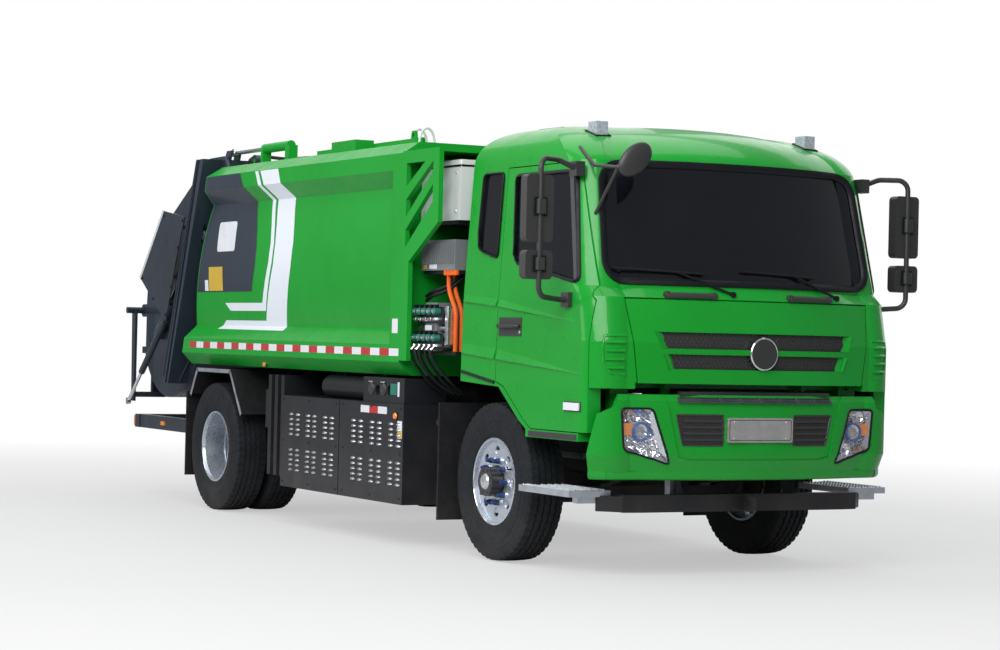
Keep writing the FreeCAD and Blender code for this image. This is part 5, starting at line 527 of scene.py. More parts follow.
# Near-black and almost opaque: a tinted pane whose dark colour also paints the shade of the cab's interior.
WINDOW = Glass("window_glass", (0.0035, 0.0045, 0.007), hazy=(0.006, 0.008, 0.012), clear_share=0.05)
LENS = Glass("clear_lens", (0.35, 0.37, 0.4), hazy=(0.3, 0.32, 0.35), clear_share=0.9)
RED = Reflector("red_sheet", (0.42, 0.012, 0.018), glint=(0.6, 0.03, 0.03))
WHITE = Reflector("white_sheet", (0.7, 0.72, 0.76), glint=(0.9, 0.92, 0.95))
AMBER = Reflector("amber_lens", (0.85, 0.2, 0.01), glint=(1.0, 0.42, 0.05), cell_scale=150.0)
MARKER = Reflector("marker_lens", (0.3, 0.33, 0.38), glint=(0.5, 0.54, 0.6), cell_scale=45.0)
SEAT = Fabric("seat_cloth", (0.02, 0.02, 0.023), thread=(0.035, 0.035, 0.04), weave_scale=160.0)


# Mesh tools


def outer_points(sheet: Sheet) -> list[Point]:
    """Return the points along a sheet's border in order, back to the first."""
    return (list(sheet[0]) + [row[-1] for row in sheet[1:]] + list(reversed(sheet[-1][:-1]))
            + [row[0] for row in reversed(sheet[:-1])])


class Draft:
    """Collects the surfaces of one piece before it becomes an object."""

    def __init__(self, finish: Finish) -> None:
        """Start an empty piece with its first finish."""
        self.mesh = bmesh.new()
        self.finishes: list[Finish] = []
        self.index = 0
        self.use(finish)

    def use(self, finish: Finish) -> "Draft":
        """Give the faces that follow this finish."""
        if finish not in self.finishes:
            self.finishes.append(finish)
        self.index = self.finishes.index(finish)
        return self

    def face(self, corners: Sequence[bmesh.types.BMVert]) -> None:
        """Add one face in the current finish."""
        made = self.mesh.faces.new(corners)
        made.material_index = self.index

    def rows(self, rows: Sheet, around: bool = False, loop: bool = False) -> None:
        """Skin rows of points with quads.

        Args:
            rows: Rows of as many points each.
            around: Whether each row closes on itself.
            loop: Whether the last row joins the first.
        """
        made = [[self.mesh.verts.new(point) for point in row] for row in rows]
        count = len(made[0])
        pairs = list(zip(made, made[1:])) + ([(made[-1], made[0])] if loop else [])
        for low, high in pairs:
            for step in range(count if around else count - 1):
                after = (step + 1) % count
                self.face((low[step], low[after], high[after], high[step]))
        if around and not loop:
            self.face(list(reversed(made[0])))
            self.face(made[-1])

    def prism(self, outline: Sequence[Point], push: Point) -> None:
        """Add the solid between a flat outline and its copy moved by a push."""
        base = [Vector(point) for point in outline]
        shift = Vector(push)
        self.rows([base, [point + shift for point in base]], around=True)

    def block(self, low: Point, high: Point, cut: float = 0.0) -> None:
        """Add a block between two corners, its four upright edges cut off by a size."""
        (x0, y0, z0), (x1, y1, z1) = low, high
        ring = [(x0, y0), (x1, y0), (x1, y1), (x0, y1)]
        if cut:
            ring = [(x0 + cut, y0), (x1 - cut, y0), (x1, y0 + cut), (x1, y1 - cut), (x1 - cut, y1), (x0 + cut, y1),
                    (x0, y1 - cut), (x0, y0 + cut)]
        self.prism([(x, y, z0) for x, y in ring], (0, 0, z1 - z0))

    def pipe(self, route: Sequence[Point], radius: float, sides: int = 12, loop: bool = False,
             flat: float = 1.0, taper: float = 1.0) -> None:
        """Add a tube along a route.

        Args:
            route: The points that the tube's middle follows.
            radius: The tube's half width.
            sides: How many faces go around it.
            loop: Whether it closes on itself.
            flat: The share of the radius that is left along the normal.
            taper: The share of the radius that is left at the far end.
        """
        points = [Vector(point) for point in route]
        last = len(points) - 1
        rows = []
        normal: Optional[Vector] = None
        for step, point in enumerate(points):
            before = points[step - 1] if step or loop else point
            after = points[(step + 1) % len(points)] if step < last or loop else point
            run = (after - before).normalized()
            if normal is None:
                normal = run.orthogonal().normalized()
            normal = (normal - run * normal.dot(run)).normalized()
            across = run.cross(normal)
            size = radius * (1.0 + (taper - 1.0) * step / last)
            rows.append([point + (normal * math.cos(turn) * flat + across * math.sin(turn)) * size
                         for turn in turns(sides)])
        self.rows(rows, around=True, loop=loop)

    def rod(self, start: Point, end: Point, radius: float, sides: int = 16, taper: float = 1.0) -> None:
        """Add a round bar between two points, its far end scaled by the taper."""
        self.pipe((start, end), radius, sides, taper=taper)

    def lathe(self, centre: Point, profile: Sequence[Flat], steps: int = 48, axis: Axis = Axis.Y,
              way: int = 1) -> None:
        """Turn a closed profile around an axis.

        Args:
            centre: The point of the axis that the profile counts from.
            profile: Its points as (radius, place along the axis).
            steps: How many sections go around.
            axis: The direction that it turns around.
            way: Which way along the axis the profile's places count.
        """
        rows = []
        for turn in turns(steps):
            row = []
            for radius, along in profile:
                arms = [math.cos(turn) * radius, math.sin(turn) * radius]
                arms.insert(axis.value, way * along)
                row.append(Vector(centre) + Vector(arms))
            rows.append(row)
        self.rows(rows, around=True, loop=True)

    def slab(self, front: Sheet, back: Sheet) -> None:
        """Add a curved sheet with a thickness from the points of its two faces."""
        for sheet in (front, back, [outer_points(front), outer_points(back)]):
            self.rows(sheet)

    def pad(self, place: Callable[[float, float, float], Vector], low: Flat, high: Flat, lift: float,
            across: int = 4, up: int = 3) -> None:
        """Add a raised pad that follows a surface.

        Args:
            place: Gives the surface's point for two coordinates and a lift.
            low: The pad's lowest coordinates.
            high: Its highest coordinates.
            lift: How far it stands off the surface.
            across: How many quads it has along the first coordinate.
            up: How many it has along the second.
        """
        self.slab(*([[place(x, z, height) for x in evenly(low[0], high[0], across)]
                     for z in evenly(low[1], high[1], up)] for height in (lift, -0.002)))

    def cushion(self, centre: Point, half: Point, lean: float, power: float = 0.38, levels: int = 14,
                around: int = 28) -> None:
        """Add a soft block with rounded edges.

        Args:
            centre: Its middle.
            half: Its half sizes.
            lean: How far it leans backward, in degrees.
            power: How round its edges are, from sharp at 0 to a ball at 1.
            levels: How many bands it has from foot to top.
            around: How many quads go around it.
        """
        def soft(value: float) -> float:
            """Return a sine or cosine pushed outward."""
            return math.copysign(abs(value) ** power, value)

        lent = Matrix.Rotation(math.radians(-lean), 3, "Y")
        rows = []
        for rise in evenly(-math.pi / 2, math.pi / 2, levels)[1:-1]:
            width = soft(math.cos(rise))
            rows.append([Vector(centre) + lent @ Vector((soft(math.cos(turn)) * half[0] * width,
                                                         soft(math.sin(turn)) * half[1] * width,
                                                         soft(math.sin(rise)) * half[2]))
                         for turn in turns(around)])
        self.rows(rows, around=True)

    def bolt(self, seat: Point, out: Point, radius: float = 0.009, height: float = 0.007) -> None:
        """Add a hexagon bolt head with its washer."""
        base, way = Vector(seat), Vector(out).normalized()
        self.rod(base - way * 0.002, base + way * 0.0015, radius * 1.35, 12)
        self.rod(base, base + way * height, radius, 6)

    def done(self, name: str, body: Body, slot: Slot, replaces: Sequence[str] = (), bevel: float = 0.0,
             smooth: bool = True) -> bpy.types.Object:
        """Make the object and let it ride on its body.

        Args:
            name: The piece's name.
            body: The body that it moves with.
            slot: The record's slot for its finish; not used.
            replaces: The CAD nodes that it stands for.
            bevel: The width of a bevel on its sharp edges.
            smooth: Whether faces that meet at a small angle shade smoothly.

        Returns:
            The object.
        """
        bmesh.ops.recalc_face_normals(self.mesh, faces=self.mesh.faces)
        data = bpy.data.meshes.new(name)
        self.mesh.to_mesh(data)
        self.mesh.free()
        for finish in self.finishes:
            data.materials.append(finish.material())
        if smooth:
            data.shade_smooth()
            data.set_sharp_from_angle(angle=SHARP_ANGLE)
        piece = bpy.data.objects.new(name, data)
        bpy.context.scene.collection.objects.link(piece)
        if bevel:
            edge = piece.modifiers.new("edge", "BEVEL")
            edge.width = bevel
            edge.segments = 2
            edge.limit_method = "ANGLE"
            edge.angle_limit = SHARP_ANGLE
        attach(piece, body.value)
        if replaces:
            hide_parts(*replaces)
        LOG.info("%s: %d faces on %s", name, len(data.polygons), body.value)
        return piece


class Skin:
    """The outer surface of some CAD nodes, for seating pieces on them."""

    usual_reach: float = 1.85
    ahead: float = 6.0
    aside: float = 3.0
    high: float = 5.0

    def __init__(self, *nodes: str) -> None:
        """Join the nodes' faces into one search tree."""
        corners: list[Vector] = []
        faces: list[tuple[int, ...]] = []
        for node in nodes:
            base = len(corners)
            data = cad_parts[node].data
            corners.extend(vertex.co.copy() for vertex in data.vertices)
            faces.extend(tuple(base + corner for corner in face.vertices) for face in data.polygons)
        self.tree = BVHTree.FromPolygons(corners, faces)

    def hit(self, start: Point, way: Point, lift: float = 0.0) -> Vector:
        """Return where a line meets the surface, lifted back along the line.

        Args:
            start: Where the line starts.
            way: The way it runs.
            lift: How far in front of the surface the point lies.

        Returns:
            The point, or the surface's nearest point where the line misses.
        """
        ray = Vector(way).normalized()
        found = self.tree.ray_cast(Vector(start), ray)[0]
        if found is None:
            found = self.tree.find_nearest(Vector(start) + ray * self.usual_reach)[0]
        return found - ray * lift

    def front(self, y: float, z: float, lift: float = 0.0) -> Vector:
        """Return the point that shows from ahead."""
        return self.hit((self.ahead, y, z), (-1, 0, 0), lift)

    def back(self, y: float, z: float, lift: float = 0.0, start: float = -6.0) -> Vector:
        """Return the point that shows from a place behind it."""
        return self.hit((start, y, z), (1, 0, 0), lift)

    def flank(self, side: int, x: float, z: float, lift: float = 0.0) -> Vector:
        """Return the point that shows from one side."""
        return self.hit((x, side * self.aside, z), (0, -side, 0), lift)

    def above(self, x: float, y: float, lift: float = 0.0) -> Vector:
        """Return the point that shows from above."""
        return self.hit((x, y, self.high), (0, 0, -1), lift)


def rounded(outline: Sequence[Flat], radius: float, steps: int = 5) -> list[Flat]:
    """Return an outline whose corners are rounded.

    Args:
        outline: The corners in order.
        radius: How far along each edge the rounding starts.
        steps: How many points each corner gets.

    Returns:
        The outline's points.
    """
    result: list[Flat] = []
    count = len(outline)
    for index in range(count):
        corner = Vector(outline[index])
        before = (Vector(outline[index - 1]) - corner).normalized() * radius + corner
        after = (Vector(outline[(index + 1) % count]) - corner).normalized() * radius + corner
        for share in evenly(0.0, 1.0, steps):
            point = before.lerp(corner, share).lerp(corner.lerp(after, share), share)
            result.append((point.x, point.y))
    return result


def spaced(outline: Sequence[Flat], pitch: float) -> list[Flat]:
    """Return a closed outline with points added so that none are further apart than the pitch."""
    result: list[Flat] = []
    for index, start in enumerate(outline):
        end = outline[(index + 1) % len(outline)]
        steps = max(1, math.ceil(math.dist(start, end) / pitch))
        result.extend(list(zip(evenly(start[0], end[0], steps), evenly(start[1], end[1], steps)))[:-1])
    return result


def smoothed(route: Sequence[Point], steps: int = 5) -> list[Vector]:
    """Return a smooth curve through the points.

    Args:
        route: The points.
        steps: How many pieces lie between two of them.

    Returns:
        The curve's points.
    """
    points = [Vector(point) for point in route]
    padded = [points[0] * 2 - points[1]] + points + [points[-1] * 2 - points[-2]]
    curve = []
    for before, start, end, after in zip(padded, padded[1:], padded[2:], padded[3:]):
        for t in evenly(0.0, 1.0, steps)[:-1]:
            curve.append(0.5 * ((2 * start) + (end - before) * t + (2 * before - 5 * start + 4 * end - after) * t * t
                                + (3 * start - before - 3 * end + after) * t ** 3))
    curve.append(points[-1])
    return curve


def box_corners(low: Flat, high: Flat) -> list[Flat]:
    """Return the four corners of an upright rectangle in order."""
    return [low, (high[0], low[1]), high, (low[0], high[1])]


@dataclass(frozen=True)
class Brick:
    """One block of a piece, by two corners that count from a place of the piece."""

    finish: Finish
    low: Point
    high: Point
    cut: float = 0.0

    def add(self, draft: Draft, shift: Point = (0, 0, 0)) -> None:
        """Add the block to a piece, moved by a shift."""
        low, high = (Vector(corner) + Vector(shift) for corner in (self.low, self.high))
        draft.use(self.finish).block(low, high, self.cut)


@dataclass(frozen=True)
class Bar:
    """One round bar of a piece, by two points that count from a place of the piece."""

    finish: Finish
    start: Point
    end: Point
    radius: float
    sides: int

    def add(self, draft: Draft, shift: Point = (0, 0, 0)) -> None:
        """Add the bar to a piece, moved by a shift."""
        start, end = (Vector(point) + Vector(shift) for point in (self.start, self.end))
        draft.use(self.finish).rod(start, end, self.radius, self.sides)


@dataclass(frozen=True)
class Boss:
    """One round part that stands on a surface, from one height over it to another."""

    finish: Finish
    low: float
    high: float
    radius: float
    sides: int = 24
    taper: float = 1.0

    def add(self, draft: Draft, seat: Vector, out: Point) -> None:
        """Add the part to a piece, on a seat that faces outward."""
        way = Vector(out)
        draft.use(self.finish).rod(seat + way * self.low, seat + way * self.high, self.radius, self.sides, self.taper)


# Sub-assemblies


@dataclass
class FrameDress:
    """The finishes of the CAD nodes that stay in sight."""

    groups: tuple[tuple[Finish, str], ...] = (
        (GREEN, "front_bumper cab_shell door_right door_left front_lid"),
        (BODY_GREEN, "refuse_body body_fairings roof_fittings"),
        (CHASSIS_BLACK, "frame_rails underrun_beam side_equipment equipment_rack"),
        (BOX_BLACK, "battery_boxes charging_box"),
        (SLATE, "tailgate_shell guard_plates bin_lifter bin_barrels rear_bumper"),
        (CAST, "front_axle rear_axle knuckle_right knuckle_left"),
        (SPRING, "leaf_springs"),
        (BOX_GREY, "drive_motor valve_stack"),
        (BOX_WHITE, "cooling_box"),
        (LENS, "headlamps"),
        (ALUMINIUM, "entry_steps"),
        (RUBBER, "mudguards"),
        (SEAL, "wipers"),
        (AMBER, "marker_lamps"),
        (MARKER, "roof_lamps"),
        (ORANGE, "power_cables"),
        (WINDOW, "cab_glass door_glass_right door_glass_left"),
        (TRIM_GREY, "dashboard"),
        (SEAT, "cab_seats"),
        (PLASTIC, "bumper_grilles front_mirror mirrors_right mirrors_left lid_mesh"),
        (FRONT_WHEEL, "wheel_front_right wheel_front_left"),
        (REAR_WHEEL, "wheel_rear_right wheel_rear_left"),
        (TYRE, "tyre_front_right tyre_front_left tyres_rear_right tyres_rear_left"),
        (WORN, "slide_plate packer_blade ejector_plate"),
        (CHROME, "bin_rods lift_rods"),
    )

    def build(self) -> None:
        """Give every CAD node its material."""
        finishes = {node: finish for finish, nodes in self.groups for node in nodes.split()}
        for name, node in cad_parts.items():
            node.data.materials.clear()
            node.data.materials.append(finishes.get(name, PLASTIC).material())
        LOG.info("dressed %d CAD nodes", len(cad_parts))


@dataclass
class Tyre:
    """One road tyre with zigzag grooves and notched shoulders."""

    radius: float = 0.518
    crown_drop: float = 0.006
    crown_half: float = 0.118
    crown_power: float = 2.4
    groove_depth: float = 0.012
    groove_half: float = 0.0045
    zigzag: float = 0.0045
    sway: Floats = (0.0, 1.0, 0.0, -1.0)
    notch_depth: float = 0.009
    notch_phase: int = 3
    pitches: int = 54
    grooves: Floats = (-0.066, -0.022, 0.022, 0.066)
    groove_shares: Flats = ((-1.5, 0.0), (-1.0, 1.0), (1.0, 1.0), (1.5, 0.0))
    crown_edge: Flat = (0.1165, 0.094)
    shoulder: tuple[Triple, ...] = ((0.1245, 0.496, 0.4), (0.1195, 0.5065, 1.0))
    side_profile: Flats = (
        (0.100, 0.287), (0.116, 0.289), (0.121, 0.302), (0.1225, 0.304), (0.1235, 0.312), (0.131, 0.345),
        (0.1365, 0.38), (0.1379, 0.40), (0.1379, 0.4035), (0.1362, 0.404), (0.1368, 0.43), (0.134, 0.452),
        (0.1325, 0.453), (0.1328, 0.468), (0.128, 0.484),
    )

    def crown(self, across: float) -> float:
        """Return the tread's radius at a place across it."""
        return self.radius - self.crown_drop * (abs(across) / self.crown_half) ** self.crown_power

    def row(self, step: int) -> list[Flat]:
        """Return one section of (across, radius) from the right bead to the left one."""
        phase = step % len(self.sway)
        notch = self.notch_depth if phase == self.notch_phase else 0.0
        half = [*self.side_profile, *((across, radius - notch * share) for across, radius, share in self.shoulder),
                *((across, self.crown(across) - notch) for across in self.crown_edge)]
        tread = [(groove + self.sway[phase] * self.zigzag + self.groove_half * share,
                  self.crown(groove) - self.groove_depth * deep)
                 for groove in self.grooves for share, deep in self.groove_shares]
        return [(-across, radius) for across, radius in half] + tread + half[::-1]

    def add(self, draft: Draft, x: float, y: float) -> None:
        """Add the tyre around an axle point."""
        rows = []
        for step, turn in enumerate(turns(self.pitches * len(self.sway))):
            arm = Vector((math.cos(turn), 0.0, math.sin(turn)))
            rows.append([Vector((x, y + across, AXLE_Z)) + arm * radius for across, radius in self.row(step)])
        draft.rows(rows, around=True, loop=True)


def wheel_nut(cap: Finish) -> tuple[Boss, ...]:
    """Return the washer, the nut and the tapered cap of one stud."""
    return (Boss(STEEL, 0.0, 0.012, 0.02375, 16), Boss(cap, 0.010, 0.034, 0.019, 6),
            Boss(cap, 0.034, 0.058, 0.01634, 12, 0.7))


@dataclass(frozen=True)
class Axle:
    """What sets one axle's wheels apart, with every distance counted outward from the truck's middle."""

    word: str
    tyre_word: str
    x: float
    tyres: Floats
    disc: float
    hub: float
    bolts: int
    bolt_circle: float
    nut: tuple[Boss, ...]


@dataclass
class Wheels:
    """The tyres on all axles, and the nuts, caps and valves of the rims."""

    axles: tuple[Axle, ...] = (
        Axle("front", "tyre", FRONT_AXLE_X, (0.972,), 1.06, 1.149, 8, 0.075, wheel_nut(BLUE_PLASTIC)),
        Axle("rear", "tyres", REAR_AXLE_X, (1.101, 0.778), 0.9515, 1.0655, 12, 0.095, wheel_nut(CAST)),
    )
    rim_half: float = 0.118
    stud_circle: float = 0.1425
    stud_count: int = 10
    stud_foot: float = 0.006
    valve: Point = (0.19, 0.004, 0.09)
    valve_tip: Point = (0.03, 0.05, 0.015)
    lip: Flats = ((0.2745, -0.012), (0.2755, -0.002), (0.279, 0.0025), (0.2835, 0.002), (0.285, -0.004),
                  (0.2845, -0.012))
    cover: Flats = ((0.004, 0.018), (0.045, 0.016), (0.055, 0.004), (0.055, -0.004), (0.004, -0.004))

    def build(self) -> None:
        """Build the pieces of the four wheel bodies."""
        for side in SIDES:
            word = side_word(side)
            for axle in self.axles:
                draft = Draft(TYRE)
                for y in axle.tyres:
                    Tyre().add(draft, axle.x, side * y)
                draft.done(f"{axle.word}_{axle.tyre_word}_{word}", side_body(f"wheel_{axle.word}", side), Slot.TYRE,
                           [f"{axle.tyre_word}_{axle.word}_{word}"])
            for axle in self.axles:
                self.rim_parts(side, axle)

    def rim_parts(self, side: int, axle: Axle) -> None:
        """Build one rim's nuts with their caps, the hub's bolts and cover, the bright lip and the valve."""
        def spot(turn: float, radius: float, y: float) -> Vector:
            """Return a point of the wheel by its angle, radius and place along the axle."""
            return Vector((axle.x + math.cos(turn) * radius, side * y, AXLE_Z + math.sin(turn) * radius))

        draft = Draft(CHROME)
        out = Vector((0, side, 0))
        draft.lathe(spot(0.0, 0.0, axle.tyres[0] + self.rim_half), self.lip, 96, way=side)
        for turn in turns(self.stud_count):
            for part in axle.nut:
                part.add(draft, spot(turn, self.stud_circle, axle.disc + self.stud_foot), out)
        for turn in turns(axle.bolts, 0.5):
            draft.use(CAST).bolt(spot(turn, axle.bolt_circle, axle.hub), out, 0.009, 0.008)
        draft.use(STEEL).lathe(spot(0.0, 0.0, axle.hub), self.cover, 32, way=side)
        mirror = Vector((1, side, 1))
        valve = Vector((axle.x, side * axle.disc, AXLE_Z)) + Vector(self.valve) * mirror
        draft.use(SEAL).pipe([valve, valve + out * 0.03, valve + Vector(self.valve_tip) * mirror], 0.006, 8)
        draft.done(f"{axle.word}_rim_parts_{side_word(side)}", side_body(f"wheel_{axle.word}", side), Slot.SILVER)


@dataclass
class Livery:
    """The coloured films on the refuse body's sides, each outline as (x, z)."""

    lift: float = 0.0015
    levels: Floats = (1.27, 1.392, 1.5, 1.56, 1.62, 1.69, 1.77, 1.85, 1.93, 2.01, 2.09, 2.17, 2.25, 2.33,
                      2.41, 2.487, 2.6, 2.712)
    slate: Flats = (
        (-1.258, 2.712), (-1.185, 2.6), (-1.118, 2.5), (-1.03, 2.27), (-1.006, 2.124), (-1.025, 1.98),
        (-1.101, 1.772), (-2.255, 1.772), (-2.012, 2.54), (-1.96, 2.712),
    )
    narrow: Flats = (
        (-0.95, 2.712), (-0.885, 2.6), (-0.82, 2.5), (-0.75, 2.29), (-0.728, 2.147), (-0.755, 2.0), (-0.903, 1.683),
        (-1.666, 1.683), (-1.57, 1.62), (-0.85, 1.62), (-0.69, 2.0), (-0.664, 2.147), (-0.687, 2.29),
        (-0.757, 2.5), (-0.82, 2.6), (-0.888, 2.712),
    )
    wide: Flats = (
        (-0.845, 2.712), (-0.775, 2.6), (-0.71, 2.5), (-0.65, 2.29), (-0.637, 2.145), (-0.665, 1.98),
        (-0.868, 1.543), (-1.69, 1.543), (-1.83, 1.472), (-0.497, 1.468), (-0.33, 1.95), (-0.295, 2.145),
        (-0.315, 2.29), (-0.377, 2.5), (-0.45, 2.6), (-0.5, 2.712),
    )
    yellow: Span = ((-1.985, 1.782), (-1.69, 1.977))
    label: Span = ((-2.075, 1.782), (-2.0, 1.871))
    badge: Span = ((-1.82, 2.1), (-1.45, 2.34))
    badge_round: float = 0.03
    front_label: Span = ((1.545, 1.47), (1.635, 1.57))
    strip: Span = ((-2.405, 1.312), (1.655, 1.364))
    strip_count: int = 27

    def film(self, draft: Draft, place: Callable[[float, float, float], Vector], outline: Sequence[Flat],
             lift: float) -> None:
        """Lay a film on the body's side, cut at the levels where the side bends.

        Args:
            draft: The piece that takes the film.
            place: Gives the side's point for a place along it, a height and a lift.
            outline: The film's outline as (x, z).
            lift: How far it stands off the paint.
        """
        sheet = bmesh.new()
        sheet.faces.new([sheet.verts.new((x, 0.0, z)) for x, z in outline])
        for level in self.levels:
            bmesh.ops.bisect_plane(sheet, geom=sheet.verts[:] + sheet.edges[:] + sheet.faces[:],
                                   plane_co=(0, 0, level), plane_no=(0, 0, 1))
        bmesh.ops.triangulate(sheet, faces=sheet.faces[:])
        made = {vertex: draft.mesh.verts.new(place(vertex.co.x, vertex.co.z, lift)) for vertex in sheet.verts}
        for face in sheet.faces:
            draft.face([made[vertex] for vertex in face.verts])
        sheet.free()

    def build(self) -> None:
        """Lay the films, the labels and the reflective strips on both sides."""
        skin = Skin("refuse_body", "body_fairings")
        for side in SIDES:
            word = side_word(side)
            place = partial(skin.flank, side)
            for name, outline, finish, slot in (("slate_field", self.slate, DECAL_SLATE, Slot.DARK),
                                                ("narrow_stripe", self.narrow, DECAL_WHITE, Slot.WHITE),
                                                ("wide_stripe", self.wide, DECAL_WHITE, Slot.WHITE)):
                draft = Draft(finish)
                self.film(draft, place, outline, self.lift)
                draft.done(f"{name}_{word}", Body.CHASSIS, slot)
            labels = Draft(YELLOW)
            self.film(labels, place, box_corners(*self.yellow), self.lift * 2)
            labels.use(WHITE_LABEL)
            self.film(labels, place, box_corners(*self.label), self.lift * 2)
            self.film(labels, place, rounded(box_corners(*self.badge), self.badge_round), self.lift * 2)
            self.film(labels, place, box_corners(*self.front_label), self.lift)
            labels.done(f"side_labels_{word}", Body.CHASSIS, Slot.WHITE)
            strip = Draft(WHITE)
            (x0, low), (x1, high) = self.strip
            places = evenly(x0, x1, self.strip_count)
            for index, (start, end) in enumerate(zip(places, places[1:])):
                strip.use(RED if index % 2 else WHITE)
                self.film(strip, place, box_corners((start, low), (end, high)), self.lift)
            strip.done(f"reflective_strip_{word}", Body.CHASSIS, Slot.WHITE)


@dataclass
class BatteryBoxes:
    """The louvres, screws, reflectors and labels of the boxes along both sides."""

    face_y: float = 1.25
    panel_x: Floats = (-0.137, 0.958)
    group_pitch: float = 0.303
    groups: int = 3
    column_pitch: float = 0.118
    columns: int = 2
    row_pitch: float = 0.0375
    block_z: Floats = (0.842, 0.575)
    rows: int = 5
    length: float = 0.078
    height: float = 0.02
    screw_x: Floats = (-0.29, 0.18, 0.66, 0.78, 1.25, 1.71)
    screw_z: Floats = (0.33, 0.64, 0.95)
    plates: tuple[tuple[Finish, Flat, Flat, float], ...] = (
        (WHITE, (1.075, 0.905), (1.214, 0.955), 0.002), (RED, (1.215, 0.905), (1.354, 0.955), 0.002),
        (WHITE, (1.355, 0.905), (1.494, 0.955), 0.002), (WHITE_LABEL, (1.665, 0.745), (1.735, 0.865), 0.0015),
        (YELLOW, (1.668, 0.748), (1.732, 0.80), 0.0022),
    )

    def louvre(self, draft: Draft, x: float, z: float, side: int) -> None:
        """Add one pressed hood, open at its foot."""
        rows = []
        face = self.face_y + 0.0005
        for share in evenly(0.0, 1.0, 4):
            reach = math.sin(math.pi * share) ** 0.6 if 0 < share < 1 else 0.0
            tall = self.height * max(reach, 0.3)
            rows.append([(x + (share - 0.5) * self.length, side * (face + out * reach), z + rise)
                         for out, rise in ((0.0, 0.5 * tall), (0.009, self.height * 0.2 * reach),
                                           (0.011, -0.45 * tall), (0.0, -0.5 * tall))])
        draft.rows(rows, around=True)

    def build(self) -> None:
        """Build the louvres and the small parts of both boxes."""
        places = [(panel + group * self.group_pitch + column * self.column_pitch, top - row * self.row_pitch)
                  for panel in self.panel_x for group in range(self.groups) for column in range(self.columns)
                  for top in self.block_z for row in range(self.rows)]
        for side in SIDES:
            draft = Draft(STEEL)
            for x, z in places:
                self.louvre(draft, x, z, side)
            draft.done(f"box_louvres_{side_word(side)}", Body.CHASSIS, Slot.BLACK)
            small = Draft(CHASSIS_BLACK)
            for x in self.screw_x:
                for z in self.screw_z:
                    small.bolt((x, side * self.face_y, z), (0, side, 0), 0.006, 0.005)
            for finish, low, high, depth in self.plates:
                small.use(finish).block((low[0], side * self.face_y, low[1]),
                                        (high[0], side * (self.face_y + depth), high[1]))
            small.done(f"box_fittings_{side_word(side)}", Body.CHASSIS, Slot.BLACK)


@dataclass
class CabTrim:
    """The seal, seams, grips and vents of the cab's front and roof."""

    seal_half: float = 0.024
    shield: Flats = ((0.995, 1.822), (0.95, 2.558), (-0.95, 2.558), (-0.995, 1.822))
    shield_round: float = 0.15
    grips: Flats = ((-0.655, -0.33), (0.215, 0.565))
    grip_z: float = 1.742
    grip_end: float = 0.012
    grip_foot: Boss = Boss(PLASTIC, -0.01, 0.022, 0.025, 14)
    seam_rise: Flats = ((0.907, 2.60), (0.885, 2.66))
    seam_roof: Flats = ((3.66, 0.862), (3.55, 0.842), (3.4, 0.83), (3.1, 0.82), (2.8, 0.815),
                        (2.55, 0.812))
    louvre_y: Floats = (0.94, 0.985, 1.02, 1.052)
    louvre_z: Floats = (1.45, 1.398, 1.346, 1.294)
    vent: Flats = ((0.925, 1.49), (1.0, 1.49), (1.06, 1.485), (1.07, 1.40), (1.062, 1.31), (1.02, 1.26),
                   (0.93, 1.25))

    def build(self) -> None:
        """Build the trim."""
        skin = Skin("cab_shell", "cab_glass", "front_lid", "door_right", "door_left")
        self.windscreen_seal()
        self.cowl_grips(skin)
        self.roof_seams(skin)
        self.corner_vents(skin)

    def windscreen_seal(self) -> None:
        """Build the thick rubber around the windscreen."""
        draft = Draft(SEAL)
        shell = Skin("cab_shell")
        route = [shell.front(y, z, 0.003) for y, z in spaced(rounded(self.shield, self.shield_round, 8), 0.05)]
        draft.pipe(route, self.seal_half, 10, loop=True, flat=0.45)
        draft.done("windscreen_seal", Body.CAB, Slot.RUBBER)

    def cowl_grips(self, skin: Skin) -> None:
        """Build the two long black grips under the windscreen."""
        draft = Draft(PLASTIC)
        for start, end in self.grips:
            draft.pipe([skin.front(y, self.grip_z, 0.012) for y in evenly(start, end, 9)], 0.021, 12, flat=0.8)
            for y in (start + self.grip_end, end - self.grip_end):
                self.grip_foot.add(draft, skin.front(y, self.grip_z), (1, 0, 0))
        draft.done("cowl_grips", Body.CAB, Slot.PLASTIC, bevel=0.003)

    def roof_seams(self, skin: Skin) -> None:
        """Build the two seams that run up from the pillars and back along the roof, in painted groove shade."""
        draft = Draft(SEAM_SHADE_GREEN)
        for side in SIDES:
            draft.pipe([skin.front(side * y, z) for y, z in self.seam_rise]
                       + [skin.above(x, side * y) for x, y in self.seam_roof], 0.003, 6)
        draft.done("roof_seams", Body.CAB, Slot.GREEN)

    def corner_vents(self, skin: Skin) -> None:
        """Build the louvred pockets on both corner panels."""
        draft = Draft(GREEN)
        for side in SIDES:
            for z in self.louvre_z:
                draft.pipe([skin.front(side * y, z, 0.002) for y in self.louvre_y], 0.013, 8, flat=0.5)
            draft.pipe([skin.front(side * y, z, 0.002) for y, z in self.vent], 0.01, 8, flat=0.7)
        draft.done("corner_louvres", Body.CAB, Slot.GREEN)


